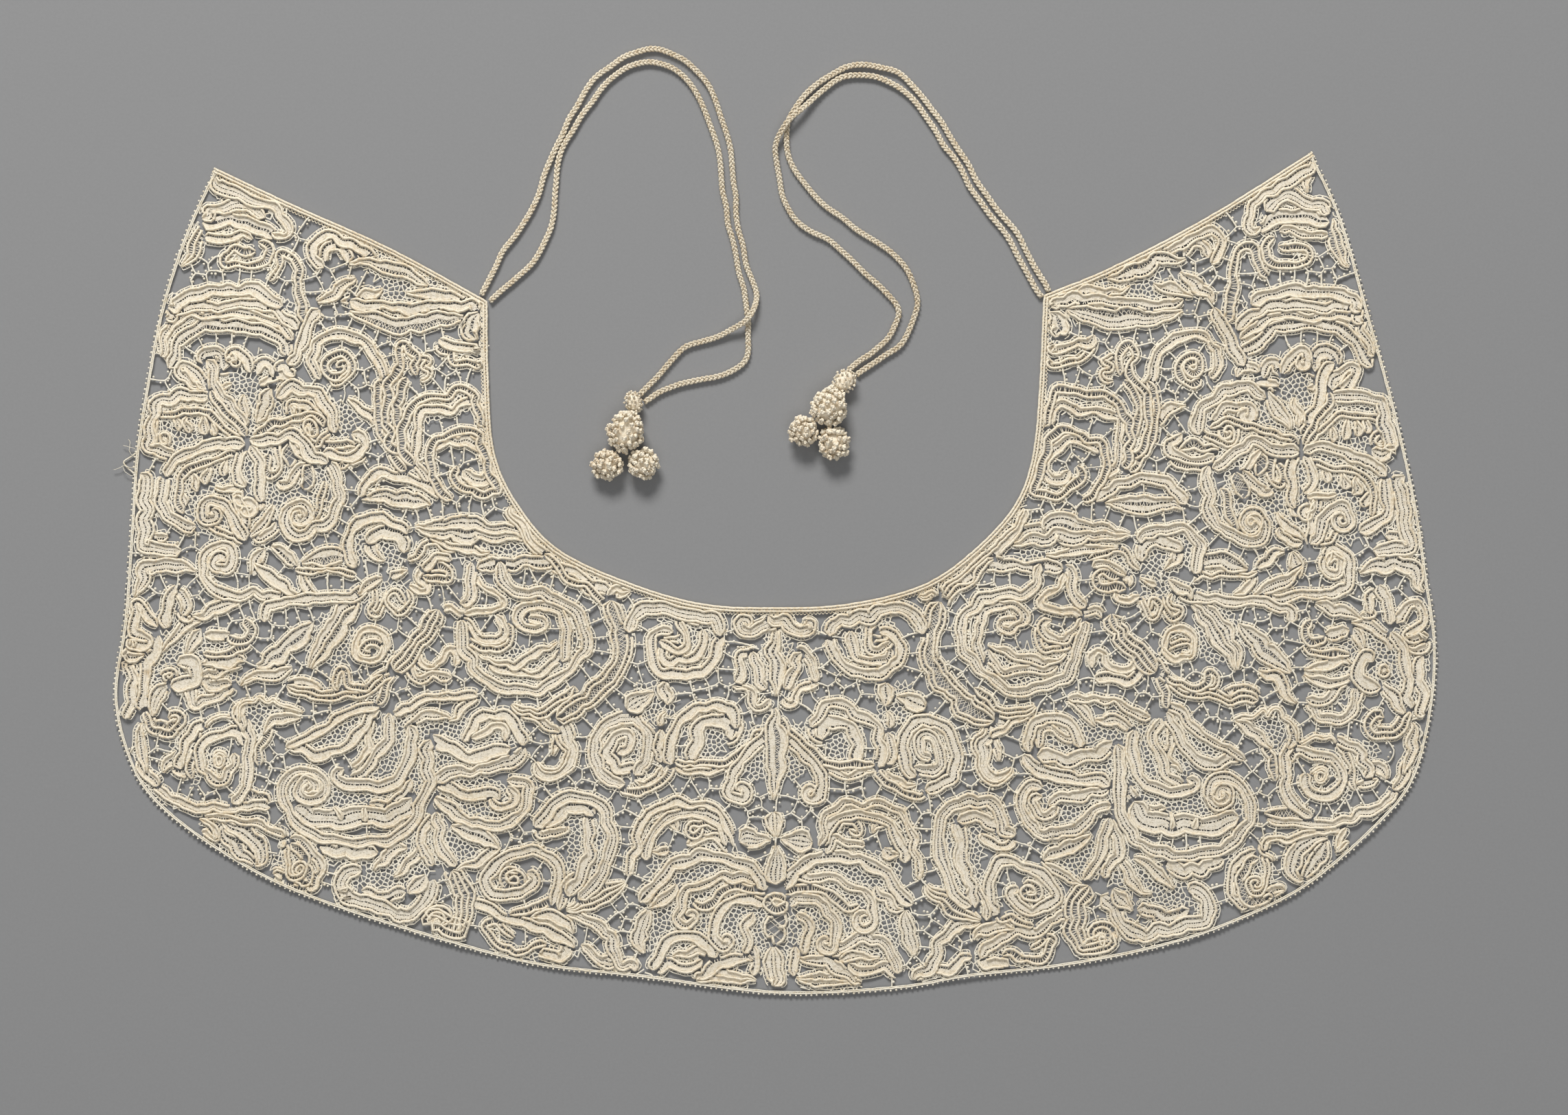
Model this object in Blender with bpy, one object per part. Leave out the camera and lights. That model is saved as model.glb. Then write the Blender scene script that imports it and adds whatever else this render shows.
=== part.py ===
# Bobbin lace collar, laid flat: a guipure lace wall with raised tapes and cut gaps, two narrow
# edge braids, and two doubled tie cords that end in knotted tassels. Metres, +Z up. The charts are
# in millimetres: X to the wearer's left hand, Y up the picture, Z off the table. The origin is the
# bottom middle of the lace.

import math

import bmesh
import bpy
import numpy as np
from mathutils import Vector
from mathutils.geometry import delaunay_2d_cdt

for thing in list(bpy.data.objects):
    bpy.data.objects.remove(thing, do_unlink=True)

# Sizes

MM = 0.001
PART_NAME = "bobbin_lace_collar"
GROUND_THICK = 1.0        # bars and net of the wall
TAPE_THICK = 1.9          # top of the raised cloth tapes
SEAM = 0.3                # between one piece and the next
BRAID_WIDE = 2.6          # neck and outer edge braids
BRAID_SIDE = 1.1
BRAID_TOP = 1.7
BRAID_STEP = 11.5
TIP_PART = 7.0            # where the neck braid stops short of the front tips
OUTLINE_STEP = 7.5
RELIEF_STEP = 14.0        # between the marks on the raised middles of the tapes
VALLEY_STEP = 11.0        # between the marks of the low seams beside the tapes
GAP_COUNT = 300           # largest gaps that are cut through
GAP_SPACING = 6.4         # least distance between the middles of neighbouring gaps
NARROWEST_GAP = 1.3       # half width of the narrowest seam that has bars
EDGE_CLEAR = 2.9          # between a tape and the outer edge
GAP_CORNERS = 5
GAP_MINIMUM = 7.0         # square millimetres
BAR_HALF = 0.62           # half the width left between two gaps
GRID = 0.5                # cell of the working grid
GRID_BOX = (-284.0, -184.0, 284.0, 184.0)
CORD_THICK = 2.2          # one strand of a tie
CORD_STEP = 6.6

# The outline, walked from the right front tip round the outer edge to the left front tip, then
# along the fronts and the neck. A row for each place where the edge changes course.

OUTER_EDGE = (
    # x, y
    (222.5, 175.0), (235.0, 148.0), (246.0, 110.0), (258.0, 66.0), (266.0, 30.0), (270.5, 0.0),
    (274.5, -30.0), (272.5, -58.0), (265.0, -86.0), (250.0, -105.0), (221.0, -130.0),
    (190.0, -145.5), (160.0, -155.5), (120.0, -163.5), (80.0, -168.0), (50.0, -173.0),
    (0.0, -175.0), (-58.0, -168.0), (-100.0, -163.0), (-140.0, -152.5), (-180.0, -140.0),
    (-211.0, -127.5), (-240.0, -110.0), (-260.0, -93.0), (-270.0, -75.0), (-275.0, -50.0),
    (-271.0, -20.0), (-268.0, 20.0), (-266.0, 50.0), (-261.0, 82.0), (-255.0, 112.0),
    (-245.0, 142.0), (-233.0, 168.5),
)
LEFT_FRONT = (
    (-233.0, 168.5), (-200.0, 153.0), (-160.0, 135.0), (-119.5, 113.0),
)
NECK = (
    (-119.5, 113.0), (-119.0, 80.0), (-116.5, 50.0), (-107.0, 29.0), (-90.0, 10.0),
    (-60.0, -4.0), (-30.0, -12.5), (0.0, -14.0), (30.0, -12.5), (60.0, -5.0), (80.0, 8.0),
    (98.0, 27.0), (106.0, 47.0), (109.0, 75.0), (111.0, 115.5),
)
RIGHT_FRONT = (
    (111.0, 115.5), (140.0, 127.5), (180.0, 148.5), (222.5, 175.0),
)

# The pattern, charted for the right half. Each row is one tape or leaf: its cross-section from one
# edge to the other (C cord, O open row of pinholes, T cloth, N net), its width, its form, its
# number of lobes, and its way as marks of x, y and heading in degrees. A curl adds, at the end of
# the way, x, y, first radius, last radius, start angle and swing. Upper rows lie over lower ones.

CENTRE_FRONT = (
    # section, wide, form, lobes, way, curl
    ("COTOC", 6, "even", 0, ((-3, -17.5), (1, -18), (6, -22.5), (11, -24), (14.6, -22.5, 70)),
        (13.2, -21.3, 1.9, 1, 0, 220)),
    ("CTNTC", 7.6, "leaf", 0, ((0, -22), (0, -51))),
    ("CTC", 4.6, "even", 0, ((9.5, -32.5, -120), (9, -38), (6, -44), (4, -48))),
    ("COTC", 4.8, "even", 0, ((8.5, -31.5, 20), (13.5, -34), (15, -41, -88), (17.5, -44.5))),
    ("CTC", 3.8, "even", 0, ((18, -45.5), (11.5, -47, -165), (9, -52, -95), (5.5, -55),
        (3, -52, 100))),
    ("CTNTC", 9.6, "leaf", 0, ((0, -56), (0, -94))),
    ("COTOC", 5.4, "even", 0, ((1.5, -59, -60), (5, -68), (12, -75.5), (17.5, -83),
        (19, -91, -95)), (14.5, -91, 4.4, 1.4, 0, -330)),
    ("COC", 3.6, "even", 0, ((4, -65), (12, -71.5), (19, -77), (27, -79), (41, -79.5))),
    ("CTC", 3.8, "even", 2, ((20, -80.5), (30, -82.6), (41, -82))),
    ("CTOC", 9, "petal", 0, ((0, -110), (0, -99))),
    ("CTOTC", 10, "petal", 0, ((2, -111), (15, -110))),
    ("CTOTC", 9, "petal", 0, ((0, -113), (0, -129))),
    ("COC", 4.5, "even", 0, (), (0, -136, 3.4, 3.4, 0, 360)),
    ("CNC", 9, "leaf", 0, ((0, -140), (0, -154))),
    ("COTOC", 9.5, "leaf", 0, ((0, -155), (0, -173.5))),
)
PALMETTE = (
    ("CTC", 4, "even", 3, ((18, -113), (20, -103), (27, -96), (36, -96), (45, -96.5),
        (52.5, -101), (57, -109), (58, -117), (60.5, -127))),
    ("COTC", 4.8, "even", 0, ((20.5, -113), (23.5, -105), (31, -100.6), (40, -100.6),
        (47.5, -105), (52, -112), (53, -120))),
    ("COC", 3.4, "even", 0, ((25, -107), (29, -104), (34.5, -105.5), (34, -108.6),
        (30, -106.6, 150))),
    ("CTC", 4.2, "even", 2, ((20.5, -116, 60), (25, -110), (31, -111), (37, -113, 20))),
    ("CTC", 4.8, "petal", 0, ((41, -108), (45, -102, 40))),
    ("CTC", 4.8, "petal", 0, ((51, -117), (44.5, -115))),
    ("CTNTC", 5.6, "even", 7, ((3.5, -131), (10, -122), (19, -118.6), (30, -118), (40, -121),
        (49, -128), (55.5, -138))),
    ("CTC", 4.2, "even", 2, ((3, -132), (11, -126.4), (22, -126), (30, -129.6), (37, -132),
        (40, -139, -85)), (36, -143.6, 4.6, 1.6, 10, -330)),
    ("COC", 4, "even", 2, ((4, -133), (14, -130.6), (22, -133), (29, -138), (34, -137))),
    ("COTC", 4.8, "even", 0, ((5, -138), (10, -135), (17, -136), (23.5, -141.5), (26, -149),
        (22.5, -156, -140)), (20.4, -153.2, 3.2, 1.4, -70, -260)),
    ("CTC", 4.2, "even", 2, ((9, -141, -60), (14, -146), (12, -152), (12, -158))),
    ("CTC", 5.2, "leaf", 0, ((41, -130), (46, -136.5), (53, -140))),
    ("COTOC", 8, "leaf", 2, ((53, -140), (55, -149), (56.5, -159))),
    ("COTC", 5.2, "even", 0, ((23.5, -159), (31, -153), (40, -152), (47, -157), (50.5, -166))),
    ("COTOC", 5, "leaf", 0, ((26, -159.4), (34, -158.4), (43, -160))),
    ("CTC", 4.6, "even", 2, ((30, -162), (36, -164.4), (44, -163, 5), (49.5, -168, -50))),
    ("CTTC", 6, "leaf", 0, ((9.5, -160.5), (20, -161.5), (28, -165), (34.5, -173))),
    ("CTCTC", 6.2, "leaf", 0, ((8.5, -167.5), (20, -170), (34, -172))),
    ("CTC", 4.2, "even", 0, ((7.5, -155), (8, -167))),
)
HEART = (
    ("COTOC", 5.8, "even", 0, ((22.5, -26), (26, -19.5), (34, -15), (43, -14), (52, -15),
        (58.5, -18.5), (61.5, -25))),
    ("COTC", 5, "even", 0, ((21, -27.5), (27, -35.5), (34, -41.5), (42, -42), (49.5, -39.5),
        (52, -32), (50, -26), (43, -24))),
    ("CTC", 4, "even", 0, ((31, -21.5), (38, -20, 10), (38, -26), (39, -31), (43.5, -32),
        (48, -28))),
    ("COC", 3.2, "even", 0, ((40.5, -24.6, -20), (47, -26.5), (44, -29, 180), (41, -29.5))),
    ("CTC", 4.6, "even", 2, ((31.5, -24), (32, -31), (36, -36), (41, -36.4, 20), (46, -36),
        (48.5, -31))),
    ("CTOTC", 8.2, "petal", 0, ((45.5, -55), (46, -45.5))),
    ("CTOTC", 8.6, "petal", 0, ((50.5, -50.5), (61.5, -56.5))),
    ("COTC", 5, "even", 3, ((15.5, -64), (18, -57, 65), (24, -54.5), (32, -56), (38, -60),
        (42.5, -66), (43.5, -74), (42, -80))),
    ("CTTC", 5.8, "even", 0, ((19.5, -69, 95), (20, -63), (25.5, -61), (31, -64), (33, -71),
        (34, -78.5))),
    ("CTC", 4, "even", 0, ((15, -61, -95), (15, -66), (20.5, -69.5))),
    ("CTC", 4.2, "petal", 0, ((46, -57.5), (48, -64, -90))),
    ("CTC", 4.6, "even", 2, ((46.5, -66), (48, -72), (46, -79))),
    ("COTOC", 5.6, "even", 0, ((58, -84.5), (52.5, -79), (52, -69), (57, -62), (64, -60.6),
        (71, -65), (74, -74), (73.5, -83), (69, -88), (62, -89, 180))),
    ("COTC", 4.8, "even", 0, ((57, -81, -20), (64, -82.6), (68, -77.5), (66.5, -70),
        (62, -68, 180), (60, -72), (64.5, -76.5, -40))),
    ("COC", 3.8, "even", 0, ((42.5, -81), (46, -87), (54, -91), (64, -91.4))),
    ("CTC", 4.4, "leaf", 0, ((45.5, -82, -40), (51, -86.5), (58, -87))),
)
STEM = (
    ("COCNCOC", 9, "even", 0, ((67, -12, -78), (64, -24), (64.5, -36), (70, -47), (80, -55.5),
        (90, -62))),
    ("COCOC", 6.6, "taper", 0, ((82, -47.5, -50), (87, -54), (96, -58.5), (108, -55.5))),
    ("CTC", 3.6, "even", 2, ((105, -57.5, -140), (99, -61), (95, -65.5), (90, -68.5, -110))),
    ("COCOTOC", 9, "taper", 0, ((96, -62, 170), (85.5, -73), (90, -85), (99, -81, 60))),
    ("CTC", 4.4, "leaf", 0, ((92, -67), (92, -78))),
)
NECK_ROUND = (
    ("COTC", 5, "even", 0, ((109, 4, -92), (108.5, -3), (104, -8), (92, -9.6), (82, -14.5),
        (77.5, -23), (78, -32), (84, -39.5), (91, -44.5), (99, -48.6), (108, -48), (118, -44),
        (124, -36.5), (127.5, -28), (128.5, -20))),
    ("CTC", 4.4, "even", 0, ((86, -37), (84.5, -28), (85, -20), (89, -14.6), (96, -14),
        (102.5, -16.4), (102, -21.5), (97, -23.4), (93.5, -21, 80), (100, -19, 5))),
    ("CTC", 3.8, "even", 0, ((114.5, -19.5), (111.5, -23.5), (115, -28), (121, -26),
        (128, -19.5))),
    ("COC", 3.4, "even", 0, ((109, -21), (108, -26), (112, -31.5), (120, -31), (125.5, -27, 30))),
    ("COTC", 4.4, "leaf", 0, ((88, -29.5), (95, -32), (103, -36), (112, -37.5), (120, -33))),
    ("CTC", 4.2, "even", 4, ((87, -32), (90, -37), (97, -41), (106, -41), (117, -38.5))),
    ("COC", 3.4, "even", 0, ((69, -16), (71, -10), (76, -6.5), (81.5, -3), (85, 2.5), (90, 6.5))),
    ("CTNC", 6.2, "even", 7, ((86, 3.4, 20), (100, 3), (110, 3), (119, 2))),
    ("CTC", 5, "even", 0, ((120.5, 3.5), (123, -3), (123.6, -9), (128.5, -14))),
    ("CTC", 3.4, "even", 0, ((119.5, 0, -95), (118.5, -5), (113, -9), (109, -12), (113, -15),
        (119, -16), (127, -17.5))),
    ("CTCTC", 5.4, "leaf", 0, ((58.5, -7, 20), (63, -8, -20), (67.5, -14, -60))),
    ("COTOCOC", 7.4, "taper", 0, ((67, -10), (76, 0.5), (89, 13), (103, 27))),
    ("COTCNTC", 12, "leaf", 3, ((97, 13), (118, 18), (147, 15.5))),
    ("CTC", 4.4, "leaf", 0, ((112, 8), (142, 11.5))),
)
NECK_SCROLL = (
    ("COC", 3.8, "even", 0, ((125, 44.5, -60), (126, 39.5), (120, 34), (111, 33), (106.6, 35),
        (108, 47), (112.5, 55.5), (122, 58), (131, 56.5), (136.5, 50), (136.5, 41), (128, 29.5))),
    ("CTC", 4.8, "even", 0, ((122.5, 42.5), (118, 38.4), (113, 39), (113, 47), (116.5, 53),
        (125, 55), (131, 53.5), (134.5, 50))),
    ("COC", 3.8, "even", 0, ((111, 61), (113, 70), (118.5, 76), (125, 76), (130, 73.6), (137, 73),
        (143, 69.5), (147, 62), (147.5, 52), (144, 44))),
    ("CTC", 4, "even", 0, ((112.5, 62), (117, 70), (122, 70), (126.5, 67.6), (134, 68),
        (140, 65.5), (142.5, 58), (142.5, 48), (137, 38))),
    ("COC", 3.8, "even", 0, ((142, 82, 95), (141.5, 89), (145.5, 95), (148.5, 91), (147, 86),
        (151.5, 78), (154.5, 68), (153.5, 58), (150, 49.5), (148, 56), (150.6, 64), (149, 73),
        (144.5, 80))),
    ("COC", 3.8, "even", 0, ((154.5, 80, -80), (158, 70), (157, 60), (153, 50), (147, 42))),
    ("COC", 3.2, "even", 0, ((141, 90.5, 180), (136, 89), (138.5, 86, -60), (136, 83.5, -100),
        (140, 80, -10))),
    ("CTC", 4.8, "even", 0, ((154, 74), (155.5, 84), (159, 92), (166, 97), (174, 99), (181, 95.5),
        (184, 88), (180, 81.5))),
    ("COC", 3.8, "even", 0, (), (172.5, 85.2, 6.8, 1.3, -50, -640)),
    ("COTC", 5.4, "leaf", 0, ((157, 59), (161, 66), (170, 70.5))),
    ("COTC", 4.8, "even", 0, ((132, 31), (140, 36), (150, 39), (158, 39), (165, 36),
        (169.5, 28.5))),
    ("CTNTC", 8, "leaf", 2, ((137, 28, 20), (149, 28), (160, 29), (169, 27))),
    ("CTC", 4.6, "even", 0, ((112, 94.5), (119, 93.5), (126, 95), (132, 99))),
    ("COC", 3.6, "even", 0, ((112, 88.5), (117, 87), (125, 88), (130, 92.5), (132.5, 97))),
)
FRONT_LEAVES = (
    ("CTNTC", 8.6, "leaf", 2, ((113, 109, -80), (116.5, 98, -85))),
    ("COTNOC", 8.8, "leaf", 0, ((120.5, 108), (140, 106), (155, 105), (169, 109))),
    ("CTTC", 5.2, "even", 3, ((112, 110.5), (125, 113), (140, 112.4), (155, 111.5), (169, 114))),
    ("CTTC", 6.2, "leaf", 2, ((114, 113.5), (123, 117), (134, 117), (147, 119))),
    ("CTNC", 7.2, "leaf", 3, ((138, 121.5), (148, 127), (158, 130), (170, 131, 30))),
    ("CTTC", 5.6, "leaf", 0, ((156.5, 119.5), (165, 117), (173, 114.5))),
    ("COTC", 4.8, "even", 0, ((161, 131), (167, 139), (175, 143), (183, 141.6), (185.5, 135),
        (180.5, 129))),
    ("CTC", 4.2, "even", 0, ((170, 131), (173, 137), (178.5, 137), (179.5, 131, -100))),
    ("CTC", 6.2, "leaf", 0, ((167.5, 124.5), (174, 119.5), (181, 112))),
    ("COTOC", 5.6, "even", 0, ((181.5, 110, -60), (186, 104), (189, 95), (194, 86))),
)
TIP = (
    ("COTOC", 6, "taper", 0, ((221, 172), (212, 164), (203, 158.5, -155), (197, 150),
        (196.5, 142.5), (201.5, 143.5, 60))),
    ("COTC", 4.8, "leaf", 0, ((222, 172), (221, 158))),
    ("COTOC", 6, "even", 4, ((204, 150), (211, 156), (219, 155.5), (230, 150))),
    ("CTNTC", 6.4, "even", 0, ((201, 141), (209, 148), (219, 148.4), (229.5, 145.5))),
    ("CTC", 4.2, "even", 5, ((209, 141.6, 10), (218, 141), (229, 141))),
    ("COC", 3.8, "even", 0, ((207, 139.4), (202.6, 135), (206, 129), (214, 128.5), (221, 131),
        (217, 135.4, 180), (208.5, 135))),
    ("COCOC", 6.6, "leaf", 0, ((230.5, 147), (235, 137), (240, 127.5))),
    ("COC", 4, "even", 0, ((187.5, 104), (189.5, 115), (191, 127), (195.5, 135),
        (199.5, 130, -75), (204, 123))),
    ("CTOTC", 6, "even", 7, ((198, 111), (208, 117), (220, 117), (232, 116), (246, 110))),
    ("COTOC", 5, "even", 0, ((191.5, 101), (200, 108.5), (209, 112), (222, 111), (236, 110.4),
        (247, 106))),
    ("CTC", 4.2, "even", 0, ((193, 97), (201, 104), (210, 107.5), (224, 107), (237, 107),
        (245, 101), (249, 90))),
    ("CTNC", 6, "even", 6, ((194, 91), (203, 99), (214, 103), (228, 103), (240, 97),
        (246, 85, -65))),
)
PEONY = (
    ("COTC", 5.4, "even", 0, ((181, 44, 35), (189, 47.5), (194, 52), (199, 54), (208, 51.5),
        (217, 51))),
    ("COTC", 5, "even", 0, ((219, 50.5, 0), (230, 51.5), (241, 48), (249, 44), (252.5, 40))),
    ("COC", 3.4, "even", 0, ((180.5, 60), (187, 64.5), (195, 62), (206, 58.5), (216, 52.5))),
    ("COC", 3.6, "even", 0, ((219, 53.5), (222, 61), (227, 68), (229.5, 75))),
    ("COTC", 4.6, "even", 0, ((216.5, 49.5), (214, 44), (214, 35), (215, 27))),
    ("COTC", 4.4, "even", 0, ((219, 48.5), (222.5, 44), (222.5, 37), (220, 32.5))),
    ("COTC", 5.4, "even", 0, ((175.5, 57.5), (176.5, 68), (185, 75.5), (195, 77), (203, 72.5))),
    ("COTOC", 7, "leaf", 0, ((205, 76), (208.5, 68), (213.5, 59.5))),
    ("COTC", 5, "even", 0, ((180.5, 44), (178, 36), (180.5, 26), (186, 17.5), (195, 14),
        (202, 16, 70)), (197.8, 20.6, 4.8, 1.2, 0, 540)),
    ("COTC", 5.6, "even", 0, ((231, 72.5), (240, 74), (247, 71.5), (252, 71), (258, 64.5),
        (259, 57), (256, 51), (247, 50))),
    ("COTC", 5.4, "even", 0, ((252.5, 40), (254, 32), (253.5, 25), (248, 20.5), (242, 18))),
    ("COTC", 5.2, "even", 0, ((230.5, 88), (227.5, 80), (226, 72), (221.5, 64.5), (219, 57.5))),
    ("COTC", 5, "even", 0, ((212, 83), (214, 89.5), (219.5, 92), (221, 88, -120)),
        (218.4, 88.2, 1.6, 0.8, 0, -200)),
    ("CTOC", 5.8, "even", 0, ((224, 84), (224.5, 90), (229, 92), (231.5, 87))),
    ("COTC", 5.6, "even", 0, ((231, 76), (234.5, 81), (239, 85), (239.5, 81.5), (234, 76))),
    ("COC", 3.4, "even", 0, ((220, 52.5), (227, 58), (233, 65.5), (240, 65.5), (247.5, 66),
        (254, 62.5), (256.5, 56.5))),
    ("CTC", 4.6, "petal", 0, ((235.5, 64.5), (235.5, 55.5))),
    ("CTC", 4.4, "petal", 0, ((241, 64.5), (241.5, 57))),
    ("CTC", 4.4, "petal", 0, ((246.5, 65), (244.5, 58.5))),
    ("CTC", 4, "petal", 0, ((230.5, 61.5), (231, 54.5))),
    ("COC", 3.2, "even", 0, ((256, 60, -110), (253.5, 53, 175)), (251, 55, 3, 1, -90, -420)),
    ("COC", 3.4, "even", 0, ((176.5, 59.5, -70), (181, 55.5), (186, 52.6), (190.5, 55, 80)),
        (187.2, 58, 3.3, 1, 0, 430)),
    ("COTC", 4.8, "even", 0, ((181.5, 63, 80), (187, 68.5), (192, 69.5), (197, 68, -70)),
        (195.3, 66.4, 2, 0.8, 0, -300)),
    ("COTC", 4.6, "even", 0, ((168.5, 57.5, 200), (163, 53), (167.5, 48), (176, 47.5),
        (182, 49))),
    ("CNC", 4.8, "leaf", 0, ((167, 51.5), (174, 53), (184, 51.5, 0))),
    ("COC", 3.6, "even", 0, ((163.5, 47.5), (170, 44), (176, 43), (180, 47.5, 60))),
    ("CNC", 6.4, "even", 0, ((190.5, 41.5, -48), (195, 31.5, -62))),
    ("CTC", 4.6, "even", 0, ((193.5, 42.5), (198.5, 37), (201.5, 33), (206, 34.5))),
    ("CTC", 4.6, "leaf", 0, ((199.5, 52), (196, 44.5), (192.5, 42))),
    ("CNC", 6.6, "leaf", 0, ((201.5, 50), (200, 40.5))),
    ("COC", 3.6, "even", 0, ((215, 49, 190), (205.5, 47.5, -95), (205, 40.5), (208, 36.5),
        (211, 39), (208.5, 45.5, 105))),
    ("COC", 3.4, "even", 0, ((221, 46), (230, 44.5), (240, 42, -8), (246.5, 36.5), (249, 30),
        (247, 24, -110))),
    ("CTC", 5, "petal", 0, ((227.5, 44), (228, 37.5))),
    ("CTC", 5.2, "petal", 0, ((234.5, 42.5), (236.5, 35))),
    ("CTC", 4.6, "petal", 0, ((241.5, 40.5), (241, 32.5))),
    ("CTC", 4.6, "petal", 0, ((246.5, 35), (244.5, 27.5))),
    ("CTC", 3.6, "even", 0, ((220.5, 32, -30), (226, 32), (232.5, 33.5))),
    ("COTC", 5.6, "even", 0, ((221.5, 12.5), (226, 20), (231, 27.5), (236.5, 26.5, -65)),
        (235.3, 22.8, 2.2, 1, 0, -260)),
    ("COTC", 4.8, "even", 0, ((221, 12), (221.5, 22), (223.5, 29.5, 110)),
        (220.4, 25, 2.6, 1, 60, 300)),
    ("COC", 3.4, "even", 0, ((222.5, 12, 20), (231, 14.5), (237.5, 20.5))),
    ("COTC", 5, "leaf", 0, ((220, 13.5, 145), (214, 19, 160), (208, 25.5))),
    ("CTC", 4.6, "even", 0, ((218.5, 13), (211, 14), (208, 19))),
    ("CTC", 6, "petal", 0, ((214, 31), (216, 23.5))),
    ("COC", 3.6, "even", 0, ((184, 35), (187.5, 28), (190, 21), (195, 16.5))),
    ("CTC", 4.6, "leaf", 0, ((216, 73), (217, 65), (219, 60))),
    ("CTC", 3.4, "even", 0, ((221, 83.5), (226, 83))),
    ("CTC", 3.4, "even", 0, ((220.5, 77), (225, 76))),
    ("COTC", 4.6, "even", 0, ((192, 81.5), (196, 86.5), (200.5, 83.5))),
    ("COTC", 4.4, "even", 0, ((202.5, 81, 85), (206, 87.5), (209.5, 82, -95))),
    ("CTC", 3.6, "even", 0, ((191, 79.5), (199, 80), (209, 79))),
    ("COC", 3, "even", 0, (), (205, 76, 2, 0.9, 180, 400)),
    ("COTOC", 6.4, "even", 0, ((262.5, 42), (264, 32), (266.5, 21), (264.5, 12.5), (256, 10.5),
        (248, 9.5))),
    ("COTC", 4.4, "even", 0, ((262, 25.5), (260.5, 20), (261, 15.5), (253, 14.5, 185))),
)
SMALL_FLOWER = (
    ("COTC", 5.2, "even", 3, ((150.5, 13, 70), (156, 17.5), (164, 20), (171, 18.5), (176, 12),
        (176, 6), (173.5, 0, -95))),
    ("CTTC", 5.8, "even", 2, ((152, 5), (153, 11, 75), (158, 13), (164, 12.5), (167.5, 9))),
    ("CTC", 6, "petal", 2, ((161, 1.5, 40), (165.5, 5), (166, 10))),
    ("COC", 3.4, "even", 0, ((130.5, 5.5), (136, 8.6), (143, 9), (146.5, 5, -55), (151, 2.5))),
    ("CTC", 3.6, "even", 0, ((131, 3), (135, 4.5), (140, 2), (145, -1))),
    ("COC", 4.2, "even", 0, ((145, -5.5), (138, -6), (132, -3), (136, -0.6), (142.5, -2))),
    ("CTC", 3.2, "even", 0, ((143.5, -2), (147, -4), (142.5, -8.5, -130), (145, -11.5),
        (151, -9.5, 10))),
    ("COC", 3.2, "even", 0, ((151, -9.5), (152.5, -16), (156, -19), (159, -16), (158.5, -11),
        (155.5, -10.5), (155, -15, -90))),
    ("COC", 3.2, "even", 0, ((161, -9.5), (161.5, -15.5), (165, -19), (168, -16.5), (165, -13),
        (165, -8.5))),
    ("CTC", 3.8, "petal", 0, ((151, -2), (158, -5, -40))),
    ("CTC", 5, "leaf", 0, ((162.5, -3.5), (168, -6), (173, -10))),
    ("COTNOC", 8.4, "leaf", 0, ((175.5, 2.5), (184, 5.5), (196, 2))),
    ("COC", 3, "even", 0, ((173, -3), (180, -1), (190, -1), (200, -0.5))),
    ("COTOC", 4.8, "even", 0, ((168, -7.5), (174, -10.5), (183, -11), (192, -11), (202, -12),
        (210, -14, -15), (214, -20.5, -70))),
    ("CTC", 4.2, "leaf", 0, ((190, -9), (195, -6), (199.5, -1))),
    ("COTC", 6, "leaf", 0, ((198, -8.5), (207, -5), (219, 2))),
    ("COTOC", 4.8, "even", 0, ((203, -10.6), (216, -9), (230, -9.5), (239, -1, 80)),
        (231.8, 3.8, 7.2, 1.4, -20, 560)),
    ("CTNC", 5.4, "leaf", 2, ((199.5, 1), (205, 6), (211, 9.5))),
    ("CTC", 6.4, "leaf", 0, ((214, 9), (218, -2))),
    ("COTC", 6, "leaf", 0, ((224, -12), (243, -18))),
    ("CTOCNTC", 11, "leaf", 3, ((173, -12), (184, -24), (192, -40))),
    ("COTNTC", 9.6, "leaf", 2, ((192, -21), (203, -31), (214, -41))),
    ("CTOC", 5.6, "leaf", 2, ((200, -41), (208, -45), (216, -54))),
    ("CTC", 3.2, "even", 0, (), (167.5, -30.3, 6.8, 6.2, 200, -380)),
    ("COC", 2.8, "even", 0, ((161, -34), (167, -29), (171.5, -31), (168, -34, 180))),
    ("COCOCOC", 8.2, "even", 0, ((139, -17), (143, -25), (151, -34), (157.5, -41))),
    ("CTC", 3.8, "even", 0, ((124, -19, 30), (130, -16), (136, -17.5))),
    ("CTC", 3.4, "even", 0, ((131.5, -39, 100), (131, -34), (134, -31.5), (137, -35, -75),
        (141, -39), (147, -38.5), (148, -33))),
    ("CTNC", 4.6, "even", 3, ((132, -43.5, -10), (138, -43), (144, -45, -15), (149.5, -42),
        (150, -38, 90))),
    ("COC", 3.4, "even", 0, ((162, -43), (168, -47), (175, -48), (178, -43.5, 80), (180.5, -41),
        (183, -44.5), (180, -48.5))),
    ("COCOC", 5.2, "even", 0, ((152, -31.5), (158, -38.5), (165, -46), (174, -50), (186, -51),
        (200, -50.5))),
    ("COC", 4, "even", 0, ((154, -38), (159.5, -43.5), (161, -50), (162, -56))),
    ("CTOC", 4.6, "even", 0, ((185, -51), (190, -48), (196, -47), (201, -50))),
    ("CTOC", 8, "leaf", 2, ((242, 1, 10), (258, 4), (270, -8))),
)
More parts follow.
